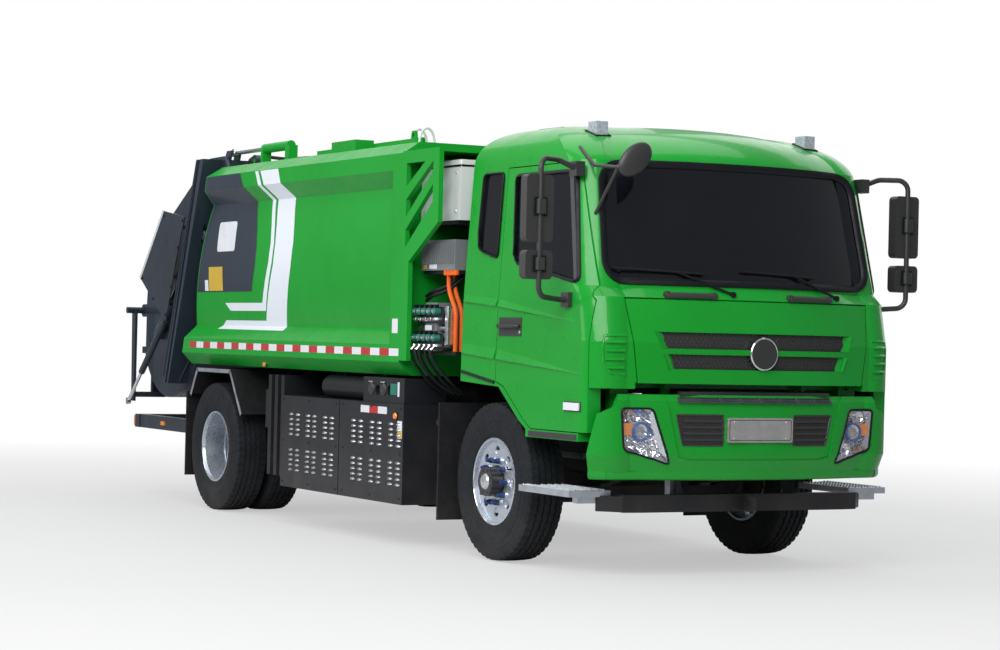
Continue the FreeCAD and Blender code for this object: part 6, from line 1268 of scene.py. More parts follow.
@dataclass
class LidGrille:
    """The expanded mesh behind the lid's two slots, with the slots' slanted ends and the disc's bright rim.

    Each band gives a slot's upper and lower height and its half widths at those heights.
    """

    bands: tuple[tuple[float, float, float, float], ...] = (
        (1.516, 1.415, 0.735, 0.70), (1.381, 1.290, 0.685, 0.65))
    cell: float = 0.03
    lean: float = 0.62
    least: float = 0.09
    bar: float = 0.0035
    side_gap: float = 0.03
    end_gap: float = 0.006
    lift: float = 0.001
    sunk: float = -0.006
    sunk_round: float = 0.102
    frame_depth: float = 0.014
    disc_z: float = 1.392
    disc: float = 0.0923
    rim: Flats = ((0.0, -0.016), (0.0, -0.002), (0.003, -0.0004), (0.007, -0.0012), (0.0105, -0.005),
                  (0.0105, -0.016))

    def build(self) -> None:
        """Build the mesh, the slots' ends and the rim."""
        skin = Skin("lid_mesh")
        outer = Skin("front_lid", "lid_mesh")
        mesh = Draft(PLASTIC)
        ends = Draft(GREEN)
        for top, bottom, top_half, low_half in self.bands:
            for way in SIDES:
                for index in range(-3, int(top_half * 2 / self.cell) + 4):
                    route = []
                    for share in evenly(0.0, 1.0, 3):
                        half = low_half + (top_half - low_half) * share - self.side_gap
                        y = index * self.cell - top_half + way * (top - bottom) * self.lean * share
                        y = max(-half, min(half, y))
                        z = bottom + self.end_gap + (top - bottom - 2 * self.end_gap) * share
                        under = math.hypot(y, z - self.disc_z) < self.sunk_round
                        route.append(skin.front(y, z, self.sunk if under else self.lift))
                    if (route[0] - route[-1]).length > self.least:
                        mesh.pipe(route, self.bar, 4)
            for side in SIDES:
                ends.slab(*([[outer.front(side * (half + 0.006 - inward), z, lift - sink)
                              for inward, lift in ((0.0, 0.010), (0.055, 0.002))]
                             for half, z in ((top_half, top - 0.001), (low_half, bottom + 0.001))]
                            for sink in (0.0, self.frame_depth)))
        mesh.done("lid_grille_mesh", Body.LID, Slot.PLASTIC)
        ends.done("lid_slot_frames", Body.LID, Slot.GREEN)
        rim = Draft(CHROME)
        rim.lathe(outer.front(0.0, self.disc_z), [(self.disc + off, along) for off, along in self.rim], 64, Axis.X)
        rim.done("grille_cover", Body.LID, Slot.CHROME)


@dataclass
class Headlamp:
    """Both lamp units: clear cover, facetted bowl, ringed projector and indicator."""

    outline: Flats = ((0.622, 0.703), (0.926, 0.791), (0.950, 1.046), (0.741, 1.046))
    margin: float = 0.02
    depth: float = 0.05
    ripple: float = 0.006
    cover_wall: float = 0.003
    columns: int = 22
    lines: int = 24
    ring: Flats = ((0.048, -0.02), (0.05, 0.006), (0.056, 0.008), (0.061, 0.002), (0.061, -0.02))
    dish: Flats = ((0.001, -0.012), (0.03, -0.015), (0.048, -0.004), (0.048, -0.02), (0.001, -0.022))
    bulb: Flats = ((0.001, 0.004), (0.02, 0.001), (0.032, -0.008), (0.034, -0.012), (0.001, -0.014))
    projector: Flat = (0.46, 0.53)
    indicator: Flat = (0.80, 0.53)
    indicator_lens: Brick = Brick(AMBER, (-0.025, -0.075, -0.038), (0.012, 0.06, 0.038), 0.012)
    bowls: tuple[tuple[Flat, float], ...] = (((0.55, 0.84), 0.05), ((0.3, 0.2), 0.042))
    bowl_profile: tuple[Triple, ...] = (
        (1.0, 0.0, 0.004), (1.06, 0.0, 0.0), (1.02, 0.0, -0.006), (0.7, 0.0, -0.022), (0.0, 0.012, -0.03),
        (0.0, 0.012, -0.034), (0.74, 0.0, -0.028), (0.98, 0.0, -0.01))

    def place(self, skin: Skin, side: int, spot: Flat, lift: float) -> Vector:
        """Return a point of the cover by its shares across and up."""
        corners = [Vector(corner) for corner in self.outline]
        across, up = spot
        flat = corners[0].lerp(corners[1], across).lerp(corners[3].lerp(corners[2], across), up)
        return skin.front(side * flat.x, flat.y, lift)

    def sheet(self, place: Callable[[Flat, float], Vector], columns: int, lines: int,
              lift: Callable[[int, int], float]) -> list[list[Vector]]:
        """Return rows of points over the whole cover.

        Args:
            place: Gives the cover's point for its shares and a lift.
            columns: How many gaps there are across.
            lines: How many gaps there are up.
            lift: Gives the lift for a column and a line.

        Returns:
            The rows from the foot up.
        """
        across, up = (evenly(self.margin, 1 - self.margin, gaps) for gaps in (columns, lines))
        return [[place((u, v), lift(column, line)) for column, u in enumerate(across)] for line, v in enumerate(up)]

    def facet(self, column: int, line: int) -> float:
        """Return how far the bowl lies from the cover at a corner of its facets."""
        rim = min(column, self.columns - column, line, self.lines - line)
        wave = self.ripple * math.sin(column * 2.3 + line * 1.1) * math.cos(line * 1.9 - column * 0.7)
        return -0.006 - self.depth * min(1.0, rim / 4) + (wave if rim > 2 else 0.0)

    def build(self) -> None:
        """Build the units on both sides; they stand for the CAD lamps."""
        skin = Skin("headlamps", "front_bumper")
        cover, bowl, inner, rim = Draft(LENS), Draft(LAMP_SILVER), Draft(CHROME), Draft(SEAL)
        for side in SIDES:
            place = partial(self.place, skin, side)
            front = self.sheet(place, 10, 10, lambda column, line: 0.0)
            cover.slab(front, [[point - Vector((self.cover_wall, 0, 0)) for point in row] for row in front])
            bowl.rows(self.sheet(place, self.columns, self.lines, self.facet))
            centre = place(self.projector, -0.018)
            for finish, profile, steps in ((BLUE_RING, self.ring, 40), (CHROME, self.dish, 32),
                                           (LENS, self.bulb, 32)):
                inner.use(finish).lathe(centre, profile, steps, Axis.X)
            self.indicator_lens.add(inner, place(self.indicator, -0.022))
            for spot, radius in self.bowls:
                profile = [(radius * share + more, along) for share, more, along in self.bowl_profile]
                inner.use(CHROME).lathe(place(spot, -0.02), profile, 32, Axis.X)
            outline = spaced(rounded(self.outline, 0.03, 4), 0.05)
            rim.pipe([skin.front(side * y, z, 0.002) for y, z in outline], 0.008, 8, loop=True, flat=0.6)
        cover.done("headlamp_covers", Body.CHASSIS, Slot.LAMP, ["headlamps"])
        bowl.done("headlamp_bowls", Body.CHASSIS, Slot.LAMP, smooth=False)
        inner.done("headlamp_optics", Body.CHASSIS, Slot.LAMP, bevel=0.002)
        rim.done("headlamp_rims", Body.CHASSIS, Slot.RUBBER)


@dataclass
class BumperTrim:
    """The bumper's vent mesh, blank plate, slotted tread and lip, its beam's returns and the baffle over it."""

    vent: Flats = ((0.266, 0.824), (0.536, 0.824), (0.58, 1.008), (0.266, 1.008))
    wires: Floats = tuple(evenly(0.182, 0.622, 20))
    wire_lean: float = 0.1
    wire_low: float = 0.832
    wire_high: float = 1.0
    wire_inner: float = 0.272
    wire_outer: Flat = (0.535, 0.575)
    plate_half: float = 0.245
    plate_low: float = 0.842
    plate_high: float = 0.995
    plate_face: float = 0.012
    plate_inset: float = 0.014
    plate_bolts: Flats = ((-0.195, 0.867), (-0.195, 0.970), (0.195, 0.867), (0.195, 0.970))
    pivot: Flat = (4.075, 0.95)
    tread_seat: float = 1.12
    tread_half: float = 0.575
    tread_low: float = 1.086
    tread_high: float = 1.158
    tread_end_high: float = 1.134
    arm_y: float = 0.46
    tread_faces: Flat = (-0.006, -0.022)
    rib_lift: float = -0.005
    slots_low: float = 0.012
    slot_pitch: float = 0.017
    slots: int = 4
    segments: int = 4
    segment_gap: float = 0.008
    lip_half: float = 1.08
    lip_end: float = 1.1
    lip_corner: float = 1.0
    lip_faces: Flat = (0.0, 0.02)
    lip_section: Flats = ((0.0, 0.0), (-0.03, 0.0), (-0.046, 0.006), (-0.052, 0.016))
    beam_y: float = 0.872
    beam_heights: Flat = (0.407, 0.503)
    beam_reach: float = 0.13
    beam_wall: float = 0.03
    baffle_x: float = 3.4
    baffle_ends: Flat = (-0.24, 0.78)
    baffle_foot: float = 1.10
    baffle_drop: float = 0.16

    def build(self) -> None:
        """Build the parts."""
        self.vents()
        self.plate()
        self.tread()
        self.lip()
        self.beam_ends()
        self.baffle()

    def vents(self) -> None:
        """Build the crossed wires and the frames of both vents."""
        draft = Draft(PLASTIC)
        skin = Skin("front_bumper", "bumper_grilles")
        inner = Skin("bumper_grilles")
        for side in SIDES:
            for way in SIDES:
                for middle in self.wires:
                    route = []
                    for share, z, limit in zip(evenly(-0.5, 0.5, 3), evenly(self.wire_low, self.wire_high, 3),
                                               evenly(*self.wire_outer, 3)):
                        y = min(limit, max(self.wire_inner, middle + way * self.wire_lean * share))
                        route.append(inner.front(side * y, z, 0.001))
                    draft.pipe(route, 0.003, 4)
            draft.pipe([skin.front(side * y, z, 0.002) for y, z in spaced(self.vent, 0.06)], 0.008, 8, loop=True,
                       flat=0.8)
        draft.done("bumper_vent_mesh", Body.CHASSIS, Slot.PLASTIC)

    def plate(self) -> None:
        """Build the blank plate with its inlaid border and its four screws."""
        draft = Draft(PLATE)
        face = Skin("front_bumper", "bumper_grilles").front(0.0, 0.9).x
        low, high, half = self.plate_low, self.plate_high, self.plate_half
        draft.prism([(face - 0.008, y, z) for y, z in rounded(box_corners((-half, low), (half, high)), 0.014)],
                    (0.02, 0, 0))
        inset = box_corners((-half + self.plate_inset, low + self.plate_inset),
                            (half - self.plate_inset, high - self.plate_inset))
        draft.use(CHASSIS_BLACK).pipe([(face + self.plate_face, y, z) for y, z in spaced(rounded(inset, 0.012), 0.2)],
                                      0.0022, 6, loop=True)
        for y, z in self.plate_bolts:
            draft.use(STEEL).bolt((face + self.plate_face, y, z), (1, 0, 0), 0.005, 0.003)
        draft.done("blank_plate", Body.CHASSIS, Slot.STEP, bevel=0.002)

    def tread(self) -> None:
        """Build the slotted grey tread on the bumper's upper edge; the tilting cab and its arms clear it."""
        draft = Draft(STEP_GREY)
        skin = Skin("front_bumper")
        seat = skin.front(0.0, self.tread_seat).x
        reach = math.dist(self.pivot, (seat, self.tread_seat)) + 0.001

        def place(y: float, z: float, lift: float) -> Vector:
            """Return a point of the tread's face, which follows a circle around the tilt's pivot."""
            if abs(y) > self.arm_y:
                z = min(z, self.tread_end_high)
            x = self.pivot[0] + math.sqrt(reach ** 2 - (z - self.pivot[1]) ** 2)
            return Vector((x + skin.front(y, self.tread_seat).x - seat + lift, y, z))

        half, low, high = self.tread_half, self.tread_low, self.tread_high
        draft.slab(*([[place(y, z, lift) for y in evenly(-half, half, 24)] for z in evenly(low, high, 5)]
                     for lift in self.tread_faces))
        joints = evenly(-half, half, self.segments)
        for left, right in zip(joints, joints[1:]):
            start, end = left + self.segment_gap, right - self.segment_gap
            for row in range(self.slots):
                # Every other row is black: painted shade standing in for the slots' openings between the grey ribs.
                draft.use(PLASTIC if row % 2 else STEP_GREY)
                z = low + self.slots_low + self.slot_pitch * row
                draft.pipe([place(y, z, self.rib_lift) for y in evenly(start, end, 6)], 0.004, 6)
            for y in evenly(start, end, 2):
                draft.use(STEP_GREY).pipe([place(y, z, self.rib_lift) for z in evenly(low, high, 4)], 0.005, 6)
        draft.done("bumper_tread", Body.CHASSIS, Slot.PLASTIC)

    def lip(self) -> None:
        """Build the painted lip under the bumper's lower edge, which runs around its corners."""
        draft = Draft(GREEN)
        skin = Skin("front_bumper")
        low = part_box("front_bumper")[0]
        level = low[2] + 0.006
        right, left = ([skin.flank(side, x, level) for x in evenly(low[0] + 0.012, low[0] + 0.102, 3)]
                       for side in SIDES)
        route = right + [skin.front(y, level) for y in evenly(-self.lip_half, self.lip_half, 24)] + left[::-1]
        sheets = []
        for inward in self.lip_faces:
            rows = []
            for drop, draw in self.lip_section:
                row = []
                for point in route:
                    back, aside = (1.0, 0.0) if abs(point.y) < self.lip_corner else (0.5, 1.0)
                    row.append(Vector((point.x - (inward + draw) * back,
                                       point.y * (1 - (inward + draw) / self.lip_end * aside),
                                       level - 0.002 + drop)))
                rows.append(row)
            sheets.append(rows)
        draft.slab(*sheets)
        draft.done("bumper_lip", Body.CHASSIS, Slot.GREEN)

    def beam_ends(self) -> None:
        """Build the underrun beam's two returns, bent backward."""
        draft = Draft(CHASSIS_BLACK)
        skin = Skin("underrun_beam")
        low, high = self.beam_heights
        for side in SIDES:
            corner = skin.front(side * self.beam_y, (low + high) / 2)
            rows = []
            for reach in evenly(0.0, self.beam_reach, 2):
                x, y = corner.x - reach, side * (self.beam_y + reach)
                behind, beside = x - self.beam_wall, y - side * self.beam_wall
                rows.append([(x, y, low), (x, y, high), (behind, beside, high), (behind, beside, low)])
            draft.rows(rows, around=True)
        draft.done("beam_returns", Body.CHASSIS, Slot.BLACK, bevel=0.003)

    def baffle(self) -> None:
        """Build the rubber sheet that closes the view through the gap over the bumper, as painted shade under the cab
        floor.
        """
        draft = Draft(RUBBER)
        shell = Skin("cab_shell")
        rows = []
        for y in evenly(*self.baffle_ends, 13):
            top = shell.hit((self.baffle_x, y, 0.9), (0, 0, 1)).z
            foot = max(self.baffle_foot, top - self.baffle_drop)
            rows.append([(self.baffle_x + off, y, z) for off, z in ((-0.003, foot), (0.0, top + 0.004),
                                                                    (0.006, top + 0.004), (0.003, foot))])
        draft.rows(rows, around=True)
        draft.done("painted_shade_baffle", Body.CAB, Slot.RUBBER)


@dataclass
class CabSides:
    """The window rubbers, grips, lamps, creases, steps and mirror parts of both cab sides."""

    window: Flats = ((3.043, 1.945), (3.865, 1.805), (3.72, 2.505), (2.985, 2.505))
    quarter: Flats = ((2.547, 2.036), (2.83, 1.972), (2.83, 2.53), (2.56, 2.53))
    door_creases: tuple[Span, ...] = (((2.895, 1.66), (3.95, 1.556)), ((2.895, 1.319), (3.95, 1.248)))
    cab_creases: tuple[Span, ...] = (((2.42, 1.692), (2.865, 1.663)), ((2.42, 1.349), (2.865, 1.321)))
    crease_heights: Flat = (0.05, 0.07)
    crease_end: float = 0.003
    ledge_depth: float = 0.016
    arch: Span = ((2.41, 1.226), (2.866, 1.166))
    lamp_foot: Flats = ((3.445, 0.75), (3.575, 0.75), (3.575, 0.85), (3.445, 0.85))
    grip: Flats = ((2.925, 0.006), (2.945, 0.034), (3.05, 0.04), (3.15, 0.034), (3.172, 0.006))
    grip_z: float = 1.53
    grip_plate: Span = ((2.905, 1.468), (3.20, 1.588))
    lock: Flat = (3.182, 1.493)
    lock_face: Boss = Boss(STEEL, 0.0, 0.004, 0.011, 16)
    lamp_base: Span = ((3.772, 1.016), (3.963, 1.077))
    lamp_lens: Span = ((3.780, 1.023), (3.955, 1.070))
    heads: Flats = ((2.075, 2.445), (1.845, 1.978))
    heads_rear: float = 2.2
    heads_y: Floats = tuple(evenly(1.15, 1.49, 68))
    glass_gap: float = 0.022
    clamps: Flats = ((2.215, 2.305), (1.875, 1.95))
    clamp_seat: float = 1.345
    clamp_y: float = 1.4
    clamp_parts: tuple[Brick, ...] = (Brick(SEAL, (-0.004, -0.05, -0.012), (0.006, 0.05, 0.012), 0.004),
                                      Brick(PLASTIC, (-0.002, -0.032, 0.0), (0.032, 0.032, 0.0), 0.01))
    tooth: Boss = Boss(ALUMINIUM, -0.002, 0.006, 0.009, 8, 0.7)
    teeth_x: Floats = tuple(evenly(3.335, 3.902, 18))
    teeth_y: Floats = (0.935, 0.985, 1.035, 1.085, 1.15, 1.18)
    long_ribs: Floats = tuple(evenly(0.9, 1.08, 5))
    long_rib: Floats = (3.39, 3.6, 3.87)
    cross_ribs: Floats = tuple(evenly(3.40, 3.868, 13))
    cross_rib: Floats = (0.895, 0.99, 1.085)
    riser: Span = ((3.33, 0.84), (3.925, 0.876))

    def build(self) -> None:
        """Build both sides."""
        for side in SIDES:
            word = side_word(side)
            door = side_body("door", side)
            skin = Skin("cab_shell", "cab_glass", f"door_{word}", f"door_glass_{word}")
            self.door_trim(skin, side, door)
            self.cab_trim(skin, side)
            self.mirror_parts(side, door)
            self.steps(side)

    def ledge(self, draft: Draft, place: Callable[..., Vector], ends: Span, heights: Flat) -> None:
        """Add a pressed ledge whose upper face leans outward.

        Args:
            draft: The piece that takes the ledge.
            place: Gives the surface's point for a place along it, a height and a lift.
            ends: The places of its lower edge's ends.
            heights: Its height at both ends.
        """
        (x0, z0), (x1, z1) = ends
        rows = []
        for x, z, height in zip(evenly(x0, x1, 12), evenly(z0, z1, 12), evenly(*heights, 12)):
            out = self.ledge_depth * min(1.0, height / 0.04)
            rows.append([place(x, z + height, -0.0015), place(x, z, out), place(x, z - 0.006 - out * 0.4, -0.0015)])
        draft.rows(rows, around=True)

    def door_trim(self, skin: Skin, side: int, body: Body) -> None:
        """Build one door's window rubber, grip, lamp and creases."""
        place = partial(skin.flank, side)
        word = side_word(side)
        rubber = Draft(SEAL)
        rubber.pipe([place(x, z, 0.001) for x, z in spaced(rounded(self.window, 0.05), 0.06)], 0.017, 8, loop=True,
                    flat=0.5)
        rubber.done(f"window_rubber_{word}", body, Slot.RUBBER)
        grip = Draft(PLASTIC)
        grip.pad(place, *self.grip_plate, 0.004, 5, 3)
        grip.pipe([place(x, self.grip_z, lift) for x, lift in self.grip], 0.016, 10, flat=0.75)
        self.lock_face.add(grip, place(*self.lock, 0.004), (0, side, 0))
        grip.done(f"door_grip_{word}", body, Slot.PLASTIC, bevel=0.0015)
        lamp = Draft(PLASTIC)
        lamp.pad(place, *self.lamp_base, 0.006, 4, 2)
        lamp.use(WHITE).pad(place, *self.lamp_lens, 0.015, 4, 2)
        lamp.done(f"door_lamp_{word}", body, Slot.PLASTIC, bevel=0.002)
        crease = Draft(GREEN)
        for ends, height in zip(self.door_creases, self.crease_heights):
            self.ledge(crease, place, ends, (height, self.crease_end))
        crease.done(f"door_creases_{word}", body, Slot.GREEN)

    def cab_trim(self, skin: Skin, side: int) -> None:
        """Build the rear window's rubber, the arch's lip, the roof lamp's foot and the creases."""
        place = partial(skin.flank, side)
        rubber = Draft(SEAL)
        rubber.pipe([place(x, z, 0.001) for x, z in spaced(rounded(self.quarter, 0.04), 0.06)], 0.015, 8, loop=True,
                    flat=0.5)
        (x0, z0), (x1, z1) = self.arch
        rubber.pipe([place(x, z, 0.001) for x, z in zip(evenly(x0, x1, 8), evenly(z0, z1, 8))], 0.011, 8)
        rubber.pipe([skin.above(x, side * y, 0.001) for x, y in self.lamp_foot], 0.009, 8, loop=True)
        rubber.done(f"cab_rubbers_{side_word(side)}", Body.CAB, Slot.RUBBER)
        crease = Draft(GREEN)
        for ends, height in zip(self.cab_creases, self.crease_heights):
            self.ledge(crease, place, ends, (height, height))
        crease.done(f"cab_creases_{side_word(side)}", Body.CAB, Slot.GREEN)

    def mirror_parts(self, side: int, body: Body) -> None:
        """Build the silvered glasses on the rear faces of one side's mirror heads, and the heads' clamps."""
        skin = Skin(f"mirrors_{side_word(side)}")
        draft = Draft(MIRROR)
        place = partial(skin.back, start=self.heads_rear)
        for low, high in self.heads:
            seen = [y for y in self.heads_y
                    if skin.tree.ray_cast(Vector((self.heads_rear, side * y, (low + high) / 2)), Vector((1, 0, 0)))[0]]
            draft.pad(place, (side * (min(seen) + self.glass_gap), low), (side * (max(seen) - self.glass_gap), high),
                      0.003, 3, 4)
        for low, high in self.clamps:
            face = skin.front(side * self.clamp_seat, (low + high) / 2).x
            foot, head = (Vector((face, side * self.clamp_y, z)) for z in (low, high))
            for part in self.clamp_parts:
                draft.use(part.finish).block(foot + Vector(part.low), head + Vector(part.high), part.cut)
        draft.done(f"mirror_parts_{side_word(side)}", body, Slot.PLASTIC, bevel=0.001)

    def steps(self, side: int) -> None:
        """Build the toothed tread of the lower step, and the ribs and the riser of the upper one."""
        word = side_word(side)
        tread = Draft(ALUMINIUM)
        lower = Skin("entry_steps")
        for x in self.teeth_x:
            for y in self.teeth_y:
                self.tooth.add(tread, lower.hit((x, side * y, 0.7), (0, 0, -1)), (0, 0, 1))
        tread.done(f"step_teeth_{word}", Body.CHASSIS, Slot.STEP)
        upper = Draft(ALUMINIUM)
        cab = Skin("cab_shell")

        def ground(x: float, y: float) -> Vector:
            """Return a point of the upper step's face."""
            return cab.hit((x, side * y, 1.1), (0, 0, -1), 0.001)

        for y in self.long_ribs:
            upper.pipe([ground(x, y) for x in self.long_rib], 0.006, 6)
        for x in self.cross_ribs:
            upper.pipe([ground(x, y) for y in self.cross_rib], 0.004, 6)
        upper.done(f"upper_tread_{word}", Body.CAB, Slot.STEP)
        riser = Draft(PLASTIC)
        riser.pad(partial(cab.flank, side), *self.riser, 0.004, 6, 1)
        riser.done(f"step_riser_{word}", Body.CAB, Slot.PLASTIC, bevel=0.0015)


@dataclass
class Seats:
    """The crew's two cushioned seats on their pedestals, with each place counted from the seat's middle."""

    middle: float = 0.64
    fill: float = 0.85
    cushions: tuple[tuple[Point, Point, float], ...] = (
        ((3.13, 0.0, 1.49), (0.235, 0.235, 0.065), 0.0),
        ((3.16, -0.195, 1.525), (0.20, 0.04, 0.04), 0.0), ((3.16, 0.195, 1.525), (0.20, 0.04, 0.04), 0.0),
        ((2.905, 0.0, 1.80), (0.06, 0.225, 0.30), 8.0),
        ((2.935, -0.185, 1.78), (0.055, 0.04, 0.24), 8.0), ((2.935, 0.185, 1.78), (0.055, 0.04, 0.24), 8.0),
        ((2.865, 0.0, 2.16), (0.045, 0.13, 0.085), 8.0),
    )
    stand: tuple[Brick | Bar, ...] = (
        Brick(PLASTIC, (2.93, -0.2, 1.257), (3.3, 0.2, 1.30), 0.02),
        Brick(PLASTIC, (3.0, -0.14, 1.30), (3.24, 0.14, 1.40), 0.03),
        Brick(PLASTIC, (2.92, -0.21, 1.40), (3.34, 0.21, 1.44), 0.03),
        Bar(STEEL, (2.875, -0.05, 2.04), (2.865, -0.05, 2.12), 0.007, 10),
        Bar(STEEL, (2.875, 0.05, 2.04), (2.865, 0.05, 2.12), 0.007, 10),
        Bar(PLASTIC, (3.1, -0.245, 1.44), (3.02, -0.245, 1.47), 0.012, 10),
    )

    def build(self) -> None:
        """Build the seats; they stand for the CAD seats."""
        for side in SIDES:
            shift = Vector((0, side * self.middle, 0))
            pads = Draft(SEAT)
            for centre, half, lean in self.cushions:
                pads.cushion(Vector(centre) + shift, half, lean)
            pads.done(f"seat_pads_{side_word(side)}", Body.CAB, Slot.FABRIC)
            stand = Draft(PLASTIC)
            for part in self.stand:
                part.add(stand, shift)
            replaced = ["cab_seats"] if side < 0 else []
            stand.done(f"seat_frame_{side_word(side)}", Body.CAB, Slot.PLASTIC, replaced, bevel=0.004)


@dataclass
class ServiceBay:
    """The valves, coils, hoses and covers between the cab and the body."""

    face_y: float = -1.14
    columns: Floats = (1.765, 1.84, 1.915, 1.99, 2.065)
    lines: Floats = (1.42, 1.60)
    manifold: Brick = Brick(CHASSIS_BLACK, (1.745, -0.012, -0.055), (2.115, 0.001, 0.055), 0.006)
    spool: tuple[Brick | Bar, ...] = (
        Bar(COIL_GREEN, (0, -0.01, 0.024), (0, -0.058, 0.024), 0.024, 18),
        Bar(STEEL, (0, -0.058, 0.024), (0, -0.07, 0.024), 0.012, 6),
        Bar(STEEL, (0, -0.01, -0.03), (0, -0.045, -0.03), 0.015, 6),
        Bar(CHROME, (0, -0.045, -0.03), (0, -0.06, -0.03), 0.009, 14),
        Brick(SEAL, (-0.011, -0.05, 0.046), (0.011, -0.02, 0.07), 0.003),
    )
    supply: tuple[Brick | Bar, ...] = (
        Bar(STEEL, (1.70, 0.03, 1.51), (2.15, 0.03, 1.51), 0.018, 16),
        Brick(STEEL, (2.13, -0.004, 1.40), (2.17, 0.08, 1.66), 0.006),
        Brick(WHITE_LABEL, (1.86, -0.0145, 1.495), (1.96, -0.011, 1.53)),
    )
    low_hose: tuple[Triple, ...] = ((0.0, -0.055, 1.39), (0.0, -0.075, 1.355), (0.5, -0.06, 1.30),
                                    (1.0, 0.0, 1.22), (1.0, 0.09, 1.13), (0.0, 0.2, 1.06))
    hose_drift: float = 0.03
    ferrule: Bar = Bar(STEEL, (0, -0.045, 1.392), (0, -0.072, 1.36), 0.014, 6)
    high_hoses: Floats = (1.70, 1.73)
    high_hose: tuple[Point, ...] = ((1.75, 0.05, 0.0), (1.9, 0.02, 0.03), (2.06, 0.05, 0.07), (2.12, 0.14, 0.16))
    high_end: Point = (2.13, -0.94, 1.90)
    fin_x: Floats = tuple(evenly(1.74, 2.19, 15))
    fin: Brick = Brick(BOX_GREY, (0, -1.134, 1.95), (0.006, -1.118, 2.09))
    labels: tuple[Brick, ...] = (Brick(YELLOW, (1.75, -1.1215, 1.915), (1.80, -1.119, 1.945)),
                                 Brick(WHITE_LABEL, (1.84, -1.1215, 1.915), (1.95, -1.119, 1.945)))
    gland_x: Floats = (2.06, 2.106, 2.152, 2.198)
    gland: Bar = Bar(ORANGE, (0, -1.10, 1.905), (0, -1.10, 1.87), 0.021, 12)
    cover: tuple[Brick, ...] = (Brick(BOX_WHITE, (1.688, -1.128, 2.612), (2.282, 0.158, 2.645), 0.012),
                                Brick(CHASSIS_BLACK, (1.692, -1.1235, 2.598), (2.278, 0.1535, 2.611), 0.008))
    cover_bolts: tuple[Point, ...] = ((1.76, -1.12, 2.30), (1.76, -1.12, 2.56), (2.21, -1.12, 2.30),
                                      (2.21, -1.12, 2.56))
    fans: Floats = (-0.80, -0.25)
    fan_z: float = 2.43
    fan_x: float = 2.272
    fan_ring: Flats = ((0.15, 0.0), (0.165, 0.013), (0.18, 0.012), (0.185, 0.0))
    guard_rings: Floats = (0.03, 0.06, 0.09, 0.12)
    guard_x: float = 2.282
    spoke_x: float = 2.281
    spoke_half: float = 0.155

    def build(self) -> None:
        """Build the parts of the bay."""
        self.valves()
        self.hoses()
        self.controller()
        self.cooler()

    def valves(self) -> None:
        """Build the valve sections with their green coils and steel spools."""
        draft = Draft(STEEL)
        for z in self.lines:
            self.manifold.add(draft, (0, self.face_y, z))
            for x in self.columns:
                for part in self.spool:
                    part.add(draft, (x, self.face_y, z))
        for part in self.supply:
            part.add(draft, (0, self.face_y, 0))
        draft.done("valve_sections", Body.CHASSIS, Slot.GREY, bevel=0.0015)

    def hoses(self) -> None:
        """Build the black hoses that leave the valves downward and upward."""
        draft = Draft(SEAL)
        face = self.face_y
        for index, x in enumerate(self.columns):
            drift = self.hose_drift * math.sin(index * 2.1)
            route = [(x + drift * share, face + out, z) for share, out, z in self.low_hose]
            draft.use(SEAL).pipe(smoothed(route), 0.011, 10)
            self.ferrule.add(draft, (x, face, 0))
        for level in self.high_hoses:
            route = [(x, face + out, level + rise) for x, out, rise in self.high_hose] + [self.high_end]
            draft.use(SEAL).pipe(smoothed(route), 0.013, 10)
        draft.done("bay_hoses", Body.CHASSIS, Slot.RUBBER)

    def controller(self) -> None:
        """Build the fins, labels and glands of the motor controller."""
        draft = Draft(BOX_GREY)
        for x in self.fin_x:
            self.fin.add(draft, (x, 0, 0))
        for label in self.labels:
            label.add(draft)
        for x in self.gland_x:
            self.gland.add(draft, (x, 0, 0))
        draft.done("controller_fins", Body.CHASSIS, Slot.GREY, bevel=0.001)

    def cooler(self) -> None:
        """Build the lid, seam, fan guards and bolts of the cooling box."""
        draft = Draft(BOX_WHITE)
        for part in self.cover:
            part.add(draft)
        for y in self.fans:
            draft.use(PLASTIC).lathe((self.fan_x, y, self.fan_z), self.fan_ring, 40, Axis.X)
            for ring in self.guard_rings:
                draft.pipe([(self.guard_x, y + ring * math.cos(turn), self.fan_z + ring * math.sin(turn))
                            for turn in turns(28)], 0.0025, 5, loop=True)
            for turn in turns(12)[:6]:
                arm = Vector((0, math.cos(turn), math.sin(turn))) * self.spoke_half
                centre = Vector((self.spoke_x, y, self.fan_z))
                draft.rod(centre + arm, centre - arm, 0.003, 5)
        for seat in self.cover_bolts:
            draft.use(STEEL).bolt(seat, (0, -1, 0), 0.009, 0.006)
        draft.done("cooler_cover", Body.CHASSIS, Slot.WHITE, bevel=0.002)


